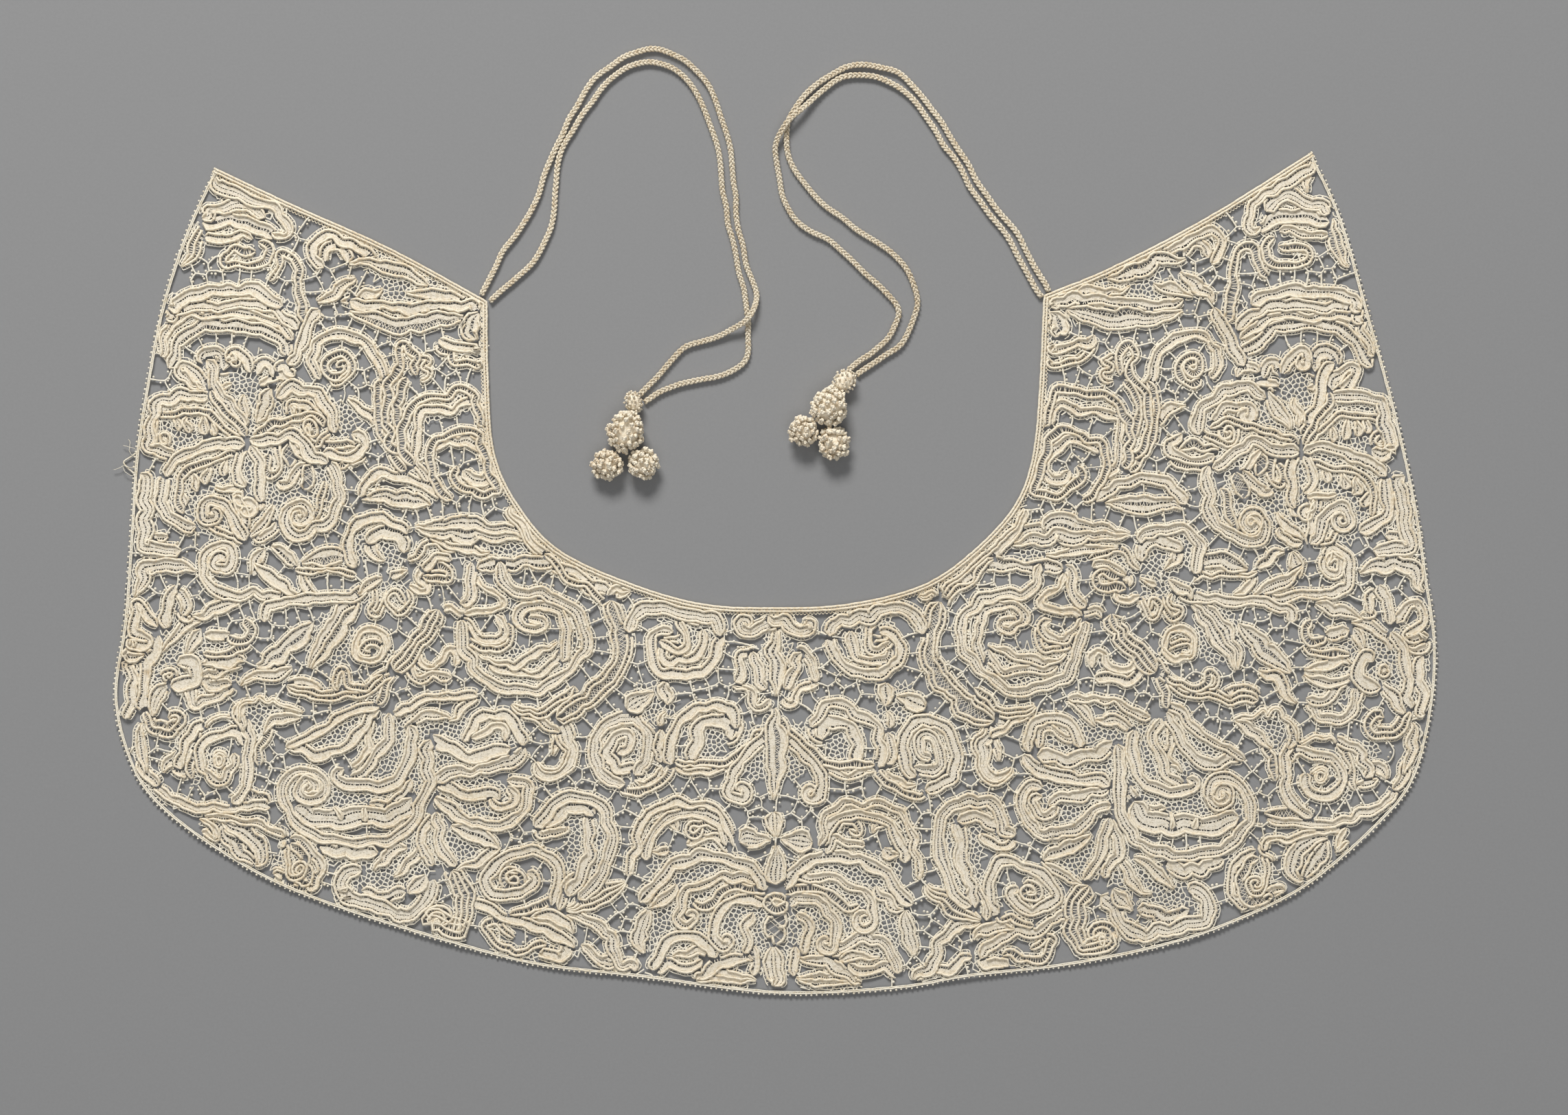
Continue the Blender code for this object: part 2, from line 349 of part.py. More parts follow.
ROSETTE = (
    ("CTTC", 6.4, "even", 2, ((248.5, -36), (243, -35), (241, -40), (244, -45), (251, -46.5))),
    ("COC", 3.2, "even", 0, (), (252, -40.6, 2.6, 1, 0, 400)),
    ("CTTC", 5.2, "even", 0, ((250, -5, -60), (253.6, -11), (254, -21))),
    ("CTC", 4.4, "even", 0, ((249, -6.5, -125), (246, -11), (246.5, -17))),
    ("CTC", 4, "petal", 0, ((242, -18, 0), (249, -15.5, 60))),
    ("COTC", 4.6, "even", 0, ((257, -19.5, 20), (261.5, -16, 75), (264, -12), (268, -13),
        (269, -19), (264, -24, -150), (261, -27), (267, -27), (273, -25))),
    ("CTC", 4.6, "leaf", 0, ((262, -31), (268, -31.6), (274, -27))),
    ("COC", 4.2, "even", 0, ((222.5, -19.5, -140), (219, -24), (222, -28), (227.5, -26, 75))),
    ("CTTC", 5.6, "even", 0, ((228, -25.6), (238, -25))),
    ("CTC", 5, "petal", 0, ((245.5, -33), (240, -22.5))),
    ("COC", 3.6, "even", 0, ((218.5, -30), (224, -33), (238, -33.6))),
    ("CTTC", 5.6, "leaf", 0, ((219, -39.5), (228, -37.6), (239, -37))),
    ("CTC", 4.8, "leaf", 0, ((219.5, -41.5), (226, -45), (233, -44.5), (240, -40.5))),
    ("CTC", 4.6, "even", 0, ((220, -52.6, -5), (227, -53), (232.5, -49, 60), (237, -44))),
    ("COTC", 5, "even", 0, ((220.5, -53.5), (225, -59), (231, -60), (237, -58.5), (240.5, -52.5),
        (242, -47.5))),
    ("COTOC", 6.8, "leaf", 0, ((250.5, -46, -20), (255.5, -51), (260, -58.5))),
    ("COCOC", 6.4, "even", 0, ((252, -60.5), (247, -63.5, -90), (250, -67), (257, -64.5),
        (262, -57))),
    ("CTTC", 5.2, "even", 0, ((256, -24), (260, -34), (262, -44), (262.6, -56))),
    ("COTC", 5, "even", 0, ((267.5, -34), (267.4, -46), (269.5, -60))),
    ("CTC", 5, "leaf", 0, ((263.5, -62), (264, -74), (261.5, -84))),
    ("CTC", 4.6, "even", 0, ((267, -78), (260, -86), (256.5, -90))),
    ("CTC", 5, "leaf", 2, ((239, -19.5), (248, -23), (256, -31))),
)
LOWER_SPRAY = (
    ("CTC", 5, "leaf", 0, ((190, -62), (198, -65.5), (205.5, -73))),
    ("CC", 2.2, "even", 0, ((190, -62), (197, -59, 0), (201.5, -57, 30), (203.5, -59.5, -20),
        (207, -57, 10), (210, -60.5), (214, -61.5, -20), (217, -66, -90), (216.5, -70))),
    ("COC", 3.6, "even", 0, ((202, -69.5), (204.5, -74.5), (207, -79.5), (207, -86))),
    ("CTC", 5.6, "leaf", 0, ((214.5, -60.5), (215, -66), (213.5, -73))),
    ("CTC", 4.8, "even", 0, ((214, -69), (211.6, -79), (212, -89), (216, -97), (222, -102))),
    ("COTC", 4.4, "even", 0, ((214, -79, 75), (218, -74.6)), (226, -84.4, 9.9, 6.9, 105, -300)),
    ("CC", 2.2, "even", 0, ((214, -74), (221, -69), (229, -67.6), (233, -70))),
    ("CC", 2.3, "even", 0, (), (225.8, -84.3, 3.9, 1, 175, -520)),
    ("COTC", 4.8, "even", 0, ((232, -69), (240, -72), (245, -78), (245, -85))),
    ("COC", 3.2, "even", 0, ((233.5, -71), (237.5, -78), (239.6, -85), (240, -90))),
    ("CTC", 5.6, "leaf", 0, ((246.5, -77.5), (250, -80.5), (253, -85.5))),
    ("CTC", 4.2, "leaf", 0, ((240, -89), (245, -88), (249, -84.5))),
    ("CNC", 5.2, "leaf", 0, ((219, -102), (210.5, -98.6), (203, -100))),
    ("COTOC", 4.2, "even", 0, ((204, -101.6), (213, -103), (226, -104), (238, -102), (246, -98),
        (254, -95), (258.5, -90))),
    ("CTC", 3, "even", 0, ((236.5, -105.5, -120), (232, -112), (233.5, -116), (240, -114, 20))),
    ("COTC", 3.6, "even", 0, ((236, -106), (222, -107.6), (212, -111), (205, -111.6),
        (202.6, -115))),
    ("CTNC", 7.4, "leaf", 0, ((229, -109), (217.5, -115), (214, -122), (219.5, -128))),
    ("CTNC", 7, "leaf", 0, ((229, -109.5), (226, -119), (219, -128))),
    ("CC", 2.2, "even", 0, ((201, -112.5, -100), (202.5, -116), (206, -119.5, -90))),
    ("COC", 2.8, "even", 0, ((203.5, -116.5), (203.5, -124)),
        (198.8, -129.2, 4.6, 1.3, 25, -480)),
    ("CNC", 4.6, "even", 0, ((200, -117.5), (195, -123), (193.4, -130), (198.5, -137),
        (207, -136, 15))),
    ("COTC", 4, "even", 0, ((199.5, -115.5), (192.6, -119.5), (189, -126.5), (190, -133),
        (195.5, -139))),
    ("CTC", 3.8, "even", 0, ((200.5, -133), (205, -134.5), (211.5, -133.5))),
    ("CTOC", 4.4, "even", 0, ((191.5, -136, -90), (194, -141), (203, -140), (212.5, -134.5))),
)
SHELL = (
    ("COTC", 5, "even", 0, ((141.5, -71), (142, -88), (144, -100), (149, -109), (157, -114.5),
        (170, -117), (184, -114.5), (193, -107), (196.5, -97), (193, -88), (185, -85), (179, -89),
        (179, -94, -70)), (185, -92, 5.6, 1.2, 200, 560)),
    ("CTC", 5.2, "even", 0, ((148.5, -65), (148, -75), (150, -82), (154.5, -88.5), (161, -90),
        (169, -90), (173.5, -87.5), (171.5, -84, 130))),
    ("CTC", 2.8, "petal", 0, ((164, -99), (164, -106))),
    ("CTC", 2.8, "petal", 0, ((175, -100, -95), (173, -106, -100))),
    ("CTTC", 9, "even", 3, ((148, -95), (154, -102), (165, -104.5), (180, -104.5), (192, -101))),
    ("CTC", 3.8, "even", 2, ((147, -88, -60), (150, -94.5), (156, -98), (162, -97.5, 0))),
    ("CTC", 4.6, "even", 0, ((157.5, -60, -92), (156.5, -69), (160, -77), (163, -84),
        (169, -87))),
    ("CTC", 4.2, "even", 2, ((161, -56.5), (168, -57.5), (176, -64.5), (184, -71), (195, -76))),
    ("CTTC", 5.2, "even", 0, ((161.5, -58), (166, -66), (171, -74), (180, -78.5), (189, -77),
        (195, -75))),
    ("CTC", 3.4, "even", 0, ((162.5, -63), (164, -71), (163.5, -77), (169, -82))),
    ("CTC", 4.2, "even", 2, ((121, -52), (132, -53), (142, -53), (149, -57), (155, -58.5, 30))),
    ("CTC", 4.4, "leaf", 0, ((120.5, -52), (128, -58), (133, -63))),
    ("CTOC", 5, "leaf", 2, ((132, -62), (141, -61, 5), (151, -66, -30))),
    ("COTC", 5, "even", 0, ((104.5, -74), (107, -64.5), (112, -60), (120, -61.5), (124.5, -67),
        (126.5, -72, -60))),
    ("CTC", 3.8, "even", 0, ((110.5, -72, 100), (110, -67), (114, -64), (118.5, -67, -55),
        (123.5, -70.5))),
    ("CTTC", 6.4, "even", 4, ((109, -74.5), (115, -76.5), (124, -77), (131, -75.5), (140, -70))),
    ("CTOC", 6, "even", 3, ((103.5, -75), (107, -80), (114, -83), (124, -86), (131, -85, 5),
        (137.5, -89, -50))),
    ("COTC", 5, "even", 0, ((110.5, -89), (104.5, -90), (102, -95), (104, -102), (109, -107.5),
        (116, -109), (124, -106.5), (131, -100.5), (138, -95))),
    ("CTC", 4.2, "even", 0, ((110.5, -92), (107.5, -96), (111.5, -100), (116.5, -96.5))),
    ("CTTC", 5.4, "even", 3, ((113, -96), (118, -94), (125, -94), (131, -91.5), (138, -89.5))),
    ("CTNTC", 7.4, "leaf", 3, ((111, -119), (121, -113.5), (131, -108))),
    ("CTC", 4.4, "leaf", 0, ((110.5, -119), (118, -124), (127, -128.5))),
    ("CTC", 4.8, "even", 0, ((127.5, -127), (133, -120), (136.5, -110), (138, -101.5))),
    ("CTC", 4.6, "even", 0, ((140, -102, -85), (143, -112), (140, -121), (136, -126))),
    ("CTC", 5, "leaf", 0, ((143, -117), (147, -126), (156, -133))),
    ("CTC", 5.4, "leaf", 0, ((148.5, -118), (156, -121.5), (165, -131))),
    ("CTTC", 6, "even", 2, ((162, -122, 10), (170, -123), (178, -122), (186, -119))),
    ("COTC", 6.6, "leaf", 0, ((140, -131), (149, -139))),
    ("COTOC", 6.6, "even", 0, ((136, -133, -50), (147, -148), (164, -152.5), (178, -145),
        (178, -134), (171, -131))),
    ("CTNC", 6.4, "even", 3, ((150, -139, 15), (162, -143), (172, -140))),
    ("COCOCOC", 8.8, "even", 0, ((129, -129), (123.5, -142), (125, -152), (132.5, -157),
        (139, -151, 85)), (135, -150.5, 3.6, 2, 10, 200)),
)
COMMA = (
    ("COTC", 5.6, "even", 0, ((80, -139), (71, -125), (68, -113), (70, -101), (76.5, -95.4),
        (85, -95.4), (92, -100), (98.5, -109))),
    ("CTC", 4.4, "even", 0, ((98.5, -110), (95, -113), (89, -111.6), (86, -108, 70))),
    ("CTTC", 5.6, "even", 0, ((75, -102), (83, -100.4), (89.5, -103), (95.5, -109))),
    ("CTTC", 5.8, "even", 2, ((84, -138), (78.4, -124), (77, -113), (77, -103))),
    ("CTC", 4.6, "taper", 0, ((87.5, -144), (85.5, -135), (82, -127))),
    ("COTOC", 5.2, "even", 0, ((91, -142), (87.5, -131), (90.5, -122.5), (98, -120),
        (105, -122.5), (112, -125.5), (116, -132), (112.5, -138), (103, -138.6), (97, -134),
        (99.5, -129, 35))),
    ("COC", 3.8, "even", 0, (), (105.6, -132.4, 4.6, 1.2, 130, -520)),
    ("COCOCOC", 8.8, "leaf", 0, ((62, -129.5), (72, -136.5), (85, -144))),
    ("COC", 3.8, "even", 0, ((88, -139), (95, -142.5), (107, -146))),
    ("COTC", 5.2, "even", 0, ((85, -144.5), (74, -147), (67.5, -153), (66.5, -160),
        (57.5, -169))),
    ("CTTC", 5.4, "leaf", 0, ((82, -152), (88, -147.5), (99, -147.6))),
    ("COTC", 4.6, "even", 0, ((84, -159), (88, -154.6), (98, -150.6), (109, -148.6),
        (117, -143.5), (125, -137.5), (131.5, -129))),
    ("COC", 3.8, "even", 0, ((106.5, -156.5, 60), (111, -152, 60), (115, -150.6, -20),
        (114.5, -156), (108, -161), (100, -159, 150), (94, -158.5))),
    ("CTTC", 5.4, "even", 2, ((86, -156), (88, -162.5, -45), (97, -162, 30))),
    ("CTOC", 5, "even", 0, ((58, -170), (67, -168), (74, -161.5), (80.5, -157.5))),
)
CHART = (CENTRE_FRONT, HEART, PALMETTE, STEM, NECK_ROUND, NECK_SCROLL, FRONT_LEAVES, TIP, PEONY,
         SMALL_FLOWER, ROSETTE, LOWER_SPRAY, SHELL, COMMA)

# Where the fillings between the tapes are a fine net and not open bars: middle, half sizes, turn.

NET_PATCHES = (
    # x, y, half x, half y, turn
    (0, -34, 7, 12, 0), (30, -124, 24, 11, 0), (42, -28, 11, 12, 0), (28, -66, 10, 11, 0),
    (61, -76, 11, 11, 0), (102, -38, 19, 9, 0), (121, 10, 22, 7, 0), (128, 68, 14, 5, -15),
    (140, 112, 27, 9, 4), (150, 127, 20, 8, 25), (216, 148, 16, 6, -10), (218, 110, 26, 6, -5),
    (205, 84, 14, 8, 5), (226, 84, 9, 9, 0), (213, 60, 44, 19, 6), (222, 32, 38, 20, -8),
    (161, 8, 12, 9, 0), (160, -11, 11, 8, 0), (143, 4, 8, 6, 0), (249, -35, 22, 14, -10),
    (230, -42, 10, 14, 0), (150, -78, 24, 16, -30), (168, -97, 26, 12, 0), (118, -72, 14, 13, 0),
    (120, -97, 18, 11, 15), (128, -119, 16, 9, 0), (158, -125, 22, 9, 0), (163, -140, 13, 7, 0),
    (79, -115, 8, 16, 0), (105, -133, 6, 6, 0), (92, -160, 14, 5, 0), (28, -142, 30, 24, 0),
    (184, -27, 12, 12, -40), (205, -67, 7, 8, -40), (246, -74, 5, 7, -30), (205, -73, 6, 6, 0),
    (174, -70, 11, 7, -35), (155, -76, 5, 14, 0), (197, -127, 12, 14, 0), (236, -84, 5, 12, 10),
    (0, -150, 12, 18, 0), (7, -74, 8, 13, 0), (51, -53, 11, 9, 0),
)

# How the left half lies otherwise than the mirror of the right one: x and y of a place in the
# mirrored half, and its shift.

LIE_REACH = 24.0
LEFT_LIE = (
    # x, y, shift x, shift y
    (-222, 172, -11, -5), (-235, 148, -7, 0), (-246, 110, -8, 0), (-258, 66, -4, 0),
    (-266, 30, 0, 0), (-270, 0, 1, 0), (-274, -30, 0, -4), (-272, -58, 0, 0), (-265, -86, 2, 0),
    (-250, -105, 0, 3), (-221, -130, 3, 5), (-190, -145, 0, 8), (-160, -155, 0, 8),
    (-120, -163, 0, 5), (-80, -168, 0, 2.5), (-40, -170, 0, 1), (0, -170, 0, 0), (0, -120, 0, 0),
    (0, -60, 0, 0), (0, -20, 0, 0), (-40, -10, 0, 1), (-43, -26, 1.5, 0), (-60, -5, -1, 1),
    (-80, 8, -7, 1), (-98, 27, -8, 1), (-106, 47, -9, 0), (-109, 75, -9, 0), (-112, 114, -7, -2),
    (-140, 127, -6, -2), (-180, 148, -7, -2), (-172, 86, -9, 0), (-123, 44, -6, 0),
    (-102, -26, -2, 0), (-61, -75, -1, 1), (-60, -120, 0, 1), (-184, -92, -9, 3),
    (-231, 4, 2, 1), (-226, -85, -7, 9), (-218, 48, -1, 4), (-160, 8, -2, 4), (-91, -95, 0, 3),
    (-105, -133, -4, 6), (-131, -150, -9, 5), (-140, -80, -3, 2), (-180, -20, 0, 0),
    (-215, 90, -6, 0), (-150, 60, -7, 1),
)

# The four strands of the two ties, as laid: each route from the neck corner to its tassel.

TIE_ROUTES = {
    "tie_left_a": (
        (-121.9, 115.3), (-120.6, 118.3), (-114.5, 131), (-105.5, 143.5), (-98.5, 157),
        (-93.5, 172), (-84.5, 191), (-73, 207), (-54, 217.5), (-40, 214), (-27, 201), (-20, 180),
        (-17, 157), (-12.5, 130), (-7.5, 113.5), (-16, 102), (-38, 93), (-50, 81), (-56.7, 74.3),
    ),
    "tie_left_b": (
        (-118.85, 113.0), (-116.0, 115.4), (-108, 122), (-99.5, 130), (-93.5, 143), (-91.5, 160),
        (-89.5, 174), (-81, 189), (-68, 205.5), (-52, 212.5), (-40.5, 208), (-31, 196),
        (-24.5, 177), (-22, 157), (-17.5, 136), (-13.5, 118), (-11.5, 102), (-13, 88),
        (-25, 81.5), (-41, 78.5), (-55.0, 71.6),
    ),
    "tie_right_a": (
        (113.3, 117.0), (112.2, 119.7), (107.5, 127), (100.5, 140), (91.5, 151), (85, 160.5),
        (78, 172.5), (70.5, 184), (60, 199.5), (48, 208.5), (30, 210.5), (15, 201), (5.5, 188),
        (5.5, 173), (16, 156.5), (33, 143), (50.5, 130.5), (58.5, 113), (53.5, 97.5),
        (45.5, 90.5), (38.2, 86.0), (33.2, 82.3),
    ),
    "tie_right_b": (
        (110.0, 114.2), (107.9, 117.2), (102.5, 127.5), (95.5, 140), (87.5, 150.5), (80.8, 160.5),
        (73.8, 172.5), (66, 183.5), (55.5, 198), (44, 205), (28, 205.8), (15.5, 196.5),
        (1.5, 182), (0.6, 165), (7.5, 147.5), (23, 137), (38.5, 123.5), (50, 111), (49, 101),
        (41, 92.1), (35.0, 88.4), (30.1, 84.2),
    ),
}
# Where one strand of a pair rises over the other: strand, x, y, rise, reach
STRAND_RISES = (
    ("tie_left_a", -11.5, 105.6, 2.8, 9.0),
    ("tie_right_b", 5.2, 187.6, 2.8, 12.0),
)

# Tassels: balls, pears and berries of small knots: side, kind, x, y, half wide, half long, turn,
# height above the table
TASSEL_PARTS = (
    ("tassel_left_neck", -58.9, 71.0, 4.0, 3.6, 20.0, 7.0),
    ("tassel_left_pear", -62.2, 59.0, 8.4, 9.2, -12.0, 12.0),
    ("tassel_left_berry_a", -69.8, 45.1, 6.8, 6.8, 10.0, 9.4),
    ("tassel_left_berry_b", -54.7, 45.4, 6.8, 6.8, -10.0, 9.4),
    ("tassel_right_neck", 28.5, 79.7, 4.9, 4.3, -40.0, 7.2),
    ("tassel_right_pear", 22.2, 69.2, 8.2, 8.6, -14.0, 12.0),
    ("tassel_right_berry_a", 11.4, 59.0, 6.6, 6.6, 20.0, 9.4),
    ("tassel_right_berry_b", 24.2, 53.9, 7.0, 7.2, -8.0, 9.6),
)
# columns: name, x, y, half wide, half long, turn, height


# Colours

COTTON = (0.71, 0.62, 0.45, 1.0)
CORD_COTTON = (0.76, 0.67, 0.50, 1.0)
KNOT_COTTON = (0.73, 0.63, 0.45, 1.0)


def thread_material(name, colour, rough):
    """Matt thread of one colour."""
    made = bpy.data.materials.new(name)
    made.use_nodes = True
    shader = made.node_tree.nodes["Principled BSDF"]
    shader.inputs["Base Color"].default_value = colour
    shader.inputs["Roughness"].default_value = rough
    return made


# Curves and forms of the chart

def turned(angle):
    """An angle brought into -180 to 180 degrees, in radians."""
    return (math.radians(angle) + math.pi) % (2 * math.pi) - math.pi


def leg(a, b, step):
    """Points on a smooth leg between two marks, each with its heading."""
    ax, ay, ah = a
    bx, by, bh = b
    chord = math.hypot(bx - ax, by - ay)
    course = math.degrees(math.atan2(by - ay, bx - ax))
    pull_a = min(chord / (3 * math.cos(turned(ah - course) / 2) ** 2), 1.1 * chord)
    pull_b = min(chord / (3 * math.cos(turned(bh - course) / 2) ** 2), 1.1 * chord)
    p0 = np.array([ax, ay], float)
    p3 = np.array([bx, by], float)
    p1 = p0 + pull_a * np.array([math.cos(math.radians(ah)), math.sin(math.radians(ah))])
    p2 = p3 - pull_b * np.array([math.cos(math.radians(bh)), math.sin(math.radians(bh))])
    t = np.linspace(0, 1, max(3, int(chord * 1.25 / step) + 1))[:, None]
    return (1 - t) ** 3 * p0 + 3 * (1 - t) ** 2 * t * p1 + 3 * (1 - t) * t ** 2 * p2 + t ** 3 * p3


def curl_points(curl, step):
    """Points on a curl from its outer end to its eye."""
    cx, cy, r0, r1, start, swing = curl
    long = math.radians(abs(swing)) * (r0 + r1) / 2
    t = np.linspace(0, 1, max(12, int(long / step) + 1))
    angle = np.radians(start + swing * t)
    radius = r0 + (r1 - r0) * t ** 0.9
    return np.stack([cx + radius * np.cos(angle), cy + radius * np.sin(angle)], 1)


def headed(way):
    """Marks with a heading each: one without follows its neighbours, or bends on at an end."""
    spots = [mark[:2] for mark in way]
    lines = [math.degrees(math.atan2(b[1] - a[1], b[0] - a[0])) for a, b in zip(spots, spots[1:])]
    turns = [mark[2] if len(mark) == 3 else None for mark in way]
    for k in range(1, len(way) - 1):
        if turns[k] is None:
            (ax, ay), (bx, by) = spots[k - 1], spots[k + 1]
            turns[k] = math.degrees(math.atan2(by - ay, bx - ax))
    for end, near, line in ((0, 1, 0), (-1, -2, -1)):
        if way and turns[end] is None:
            bend = 0.0 if turns[near] is None else lines[line] - turns[near]
            turns[end] = lines[line] + (bend + 180) % 360 - 180
    return [(*spot, turn) for spot, turn in zip(spots, turns)]


def way_points(way, curl, step=1.0):
    """The whole way of one row, evenly spaced."""
    way = headed(way)
    runs = [leg(a, b, step) for a, b in zip(way[:-1], way[1:])]
    if curl:
        tail = curl_points(curl, step)
        if way:
            heading = curl[4] + (90 if curl[5] > 0 else -90)
            runs.append(leg(way[-1], (tail[0][0], tail[0][1], heading), step))
        runs.append(tail)
    points = np.concatenate(runs)
    keep = np.r_[True, np.hypot(*np.diff(points, axis=0).T) > 1e-4]
    return evenly(points[keep], step)


def evenly(points, step):
    """The same line with its points a step apart."""
    along = np.r_[0, np.cumsum(np.hypot(*np.diff(points, axis=0).T))]
    count = max(2, int(round(along[-1] / step)) + 1)
    at = np.linspace(0, along[-1], count)
    return np.stack([np.interp(at, along, points[:, k]) for k in (0, 1)], 1)


def half_widths(form, wide, lobes, count):
    """Half width along one row's way."""
    t = np.linspace(0, 1, count)
    ends = np.clip(np.minimum(t, 1 - t) * count / (0.45 * wide), 0, 1)
    rounded = np.sqrt(1 - (1 - ends) ** 2)
    if form == "leaf":
        shape = 0.16 + 0.84 * np.sin(math.pi * t ** 0.9) ** 0.75
    elif form == "petal":
        shape = (0.3 + 0.7 * np.clip(t / 0.7, 0, 1) ** 0.8) * rounded
    elif form == "taper":
        shape = (1.0 - 0.42 * t) * rounded
    else:
        shape = rounded
    wave = 1.0 - 0.16 * (1 - np.abs(np.sin(math.pi * lobes * t))) ** 2 if lobes else 1.0
    return np.clip(0.5 * wide * shape * wave, 0.5, None)


def left_lie(points):
    """Mirrored points, moved to how the left half lies."""
    flipped = points * np.array([-1.0, 1.0])
    table = np.array(LEFT_LIE, float)
    off = flipped[:, None, :] - table[None, :, :2]
    weight = np.exp(-(off ** 2).sum(2) / LIE_REACH ** 2) + 1e-9
    return flipped + weight @ table[:, 2:] / weight.sum(1)[:, None]


def held_inside(points, halves, edge):
    """Points moved in where a tape would cross the edge, so that it runs along the edge."""
    course = np.roll(edge, -1, axis=0) - np.roll(edge, 1, axis=0)
    course /= np.hypot(*course.T)[:, None]
    inward = np.stack([course[:, 1], -course[:, 0]], 1)
    near = np.argmin(((points[:, None, :] - edge[None, :, :]) ** 2).sum(2), axis=1)
    depth = ((points - edge[near]) * inward[near]).sum(1)
    short = np.clip(halves + EDGE_CLEAR - depth, 0, 14)
    return points + inward[near] * short[:, None]


def pattern_rows():
    """Every tape and leaf of both halves: section, points, half widths."""
    rows = []
    edge = outline(2.0)[0]
    for table in CHART:
        for section, wide, form, lobes, way, *curls in table:
            curl = curls[0] if curls else None
            points = way_points(way, curl)
            halves = half_widths(form, wide, lobes, len(points))
            on_axis = np.abs(points[:, 0]).max() < 0.01 or (curl and not way and curl[0] == 0)
            sides = [points] if on_axis else [points, left_lie(points)]
            for side in sides:
                rows.append((section, held_inside(side, halves, edge), halves))
    return rows


# The outline

def through(marks, step):
    """A smooth line through marks, evenly spaced."""
    p = np.array(marks, float)
    ends = np.concatenate([[2 * p[0] - p[1]], p, [2 * p[-1] - p[-2]]])
    runs = []
    for a, b, c, d in zip(ends[:-3], ends[1:-2], ends[2:-1], ends[3:]):
        t = np.linspace(0, 1, 24, endpoint=False)[:, None]
        runs.append(0.5 * (2 * b + (c - a) * t + (2 * a - 5 * b + 4 * c - d) * t ** 2
                           + (3 * b - a - 3 * c + d) * t ** 3))
    runs.append(p[-1:])
    return evenly(np.concatenate(runs), step)


def outline(step):
    """The whole edge as a closed ring, clockwise from the right tip, and where its corners are."""
    runs = [through(OUTER_EDGE, step), through(LEFT_FRONT, step), through(NECK, step),
            through(RIGHT_FRONT, step)]
    corners = np.cumsum([0] + [len(r) - 1 for r in runs])
    return np.concatenate([r[:-1] for r in runs]), corners[:-1]


def inset(ring, by):
    """A closed clockwise ring moved inward, square to its sides."""
    before = ring - np.roll(ring, 1, axis=0)
    after = np.roll(ring, -1, axis=0) - ring
    before /= np.hypot(*before.T)[:, None]
    after /= np.hypot(*after.T)[:, None]
    inward = lambda d: np.stack([d[:, 1], -d[:, 0]], 1)
    lean = inward(before) + inward(after)
    lean /= np.hypot(*lean.T)[:, None]
    slope = np.clip((lean * inward(after)).sum(1), 0.38, 1)
    return ring + lean * (by / slope)[:, None]


def inside(ring, points):
    """Which points lie inside a closed ring."""
    x, y = points[:, 0], points[:, 1]
    found = np.zeros(len(points), bool)
    for (ax, ay), (bx, by) in zip(ring, np.roll(ring, -1, axis=0)):
        crosses = (ay > y) != (by > y)
        if crosses.any():
            at = ax + (y - ay) * (bx - ax) / (by - ay + 1e-12)
            found ^= crosses & (x < at)
    return found


# The working grid

def grid_points():
    """Middles of the grid's cells, as rows and columns."""
    x = np.arange(GRID_BOX[0], GRID_BOX[2], GRID)
    y = np.arange(GRID_BOX[1], GRID_BOX[3], GRID)
    return np.meshgrid(x, y)


def stamp(owner, points, halves, number, grow=0.0):
    """Marks the grid cells under one row, unless an upper row has them."""
    height, width = owner.shape
    for (px, py), half in zip(points, halves):
        r = half + grow
        x0 = max(0, int((px - r - GRID_BOX[0]) / GRID))
        y0 = max(0, int((py - r - GRID_BOX[1]) / GRID))
        x1 = min(width, int((px + r - GRID_BOX[0]) / GRID) + 2)
        y1 = min(height, int((py + r - GRID_BOX[1]) / GRID) + 2)
        xs = GRID_BOX[0] + np.arange(x0, x1) * GRID
        ys = GRID_BOX[1] + np.arange(y0, y1) * GRID
        near = (xs[None, :] - px) ** 2 + (ys[:, None] - py) ** 2 <= r * r
        window = owner[y0:y1, x0:x1]
        window[near & (window < 0)] = number


def at_grid(field, points):
    """The grid's values at points."""
    i = np.clip(((points[:, 0] - GRID_BOX[0]) / GRID + 0.5).astype(int), 0, field.shape[1] - 1)
    j = np.clip(((points[:, 1] - GRID_BOX[1]) / GRID + 0.5).astype(int), 0, field.shape[0] - 1)
    return field[j, i]


def grown(mask, by):
    """A mask widened by a distance."""
    wide = mask.copy()
    reach = int(math.ceil(by / GRID))
    for j in range(-reach, reach + 1):
        for i in range(-reach, reach + 1):
            if i * i + j * j <= (by / GRID) ** 2 + 0.01:
                wide |= np.roll(np.roll(mask, j, axis=0), i, axis=1)
    return wide


def opened(mask, by):
    """A mask without its stretches narrower than twice the distance."""
    return grown(~grown(~mask, by), by) & mask


def net_field(gx, gy):
    """Where the filling is net."""
    field = np.zeros(gx.shape, bool)
    for x, y, half_x, half_y, turn in NET_PATCHES:
        c, s = math.cos(math.radians(turn)), math.sin(math.radians(turn))
        for side in (1, -1):
            place = np.array([[x, y]], float)
            mx, my = (place if side > 0 else left_lie(place))[0]
            u = ((gx - mx) * c + (gy - my) * s * side) / half_x
            v = (-(gx - mx) * s * side + (gy - my) * c) / half_y
            field |= u * u + v * v <= 1
    return field


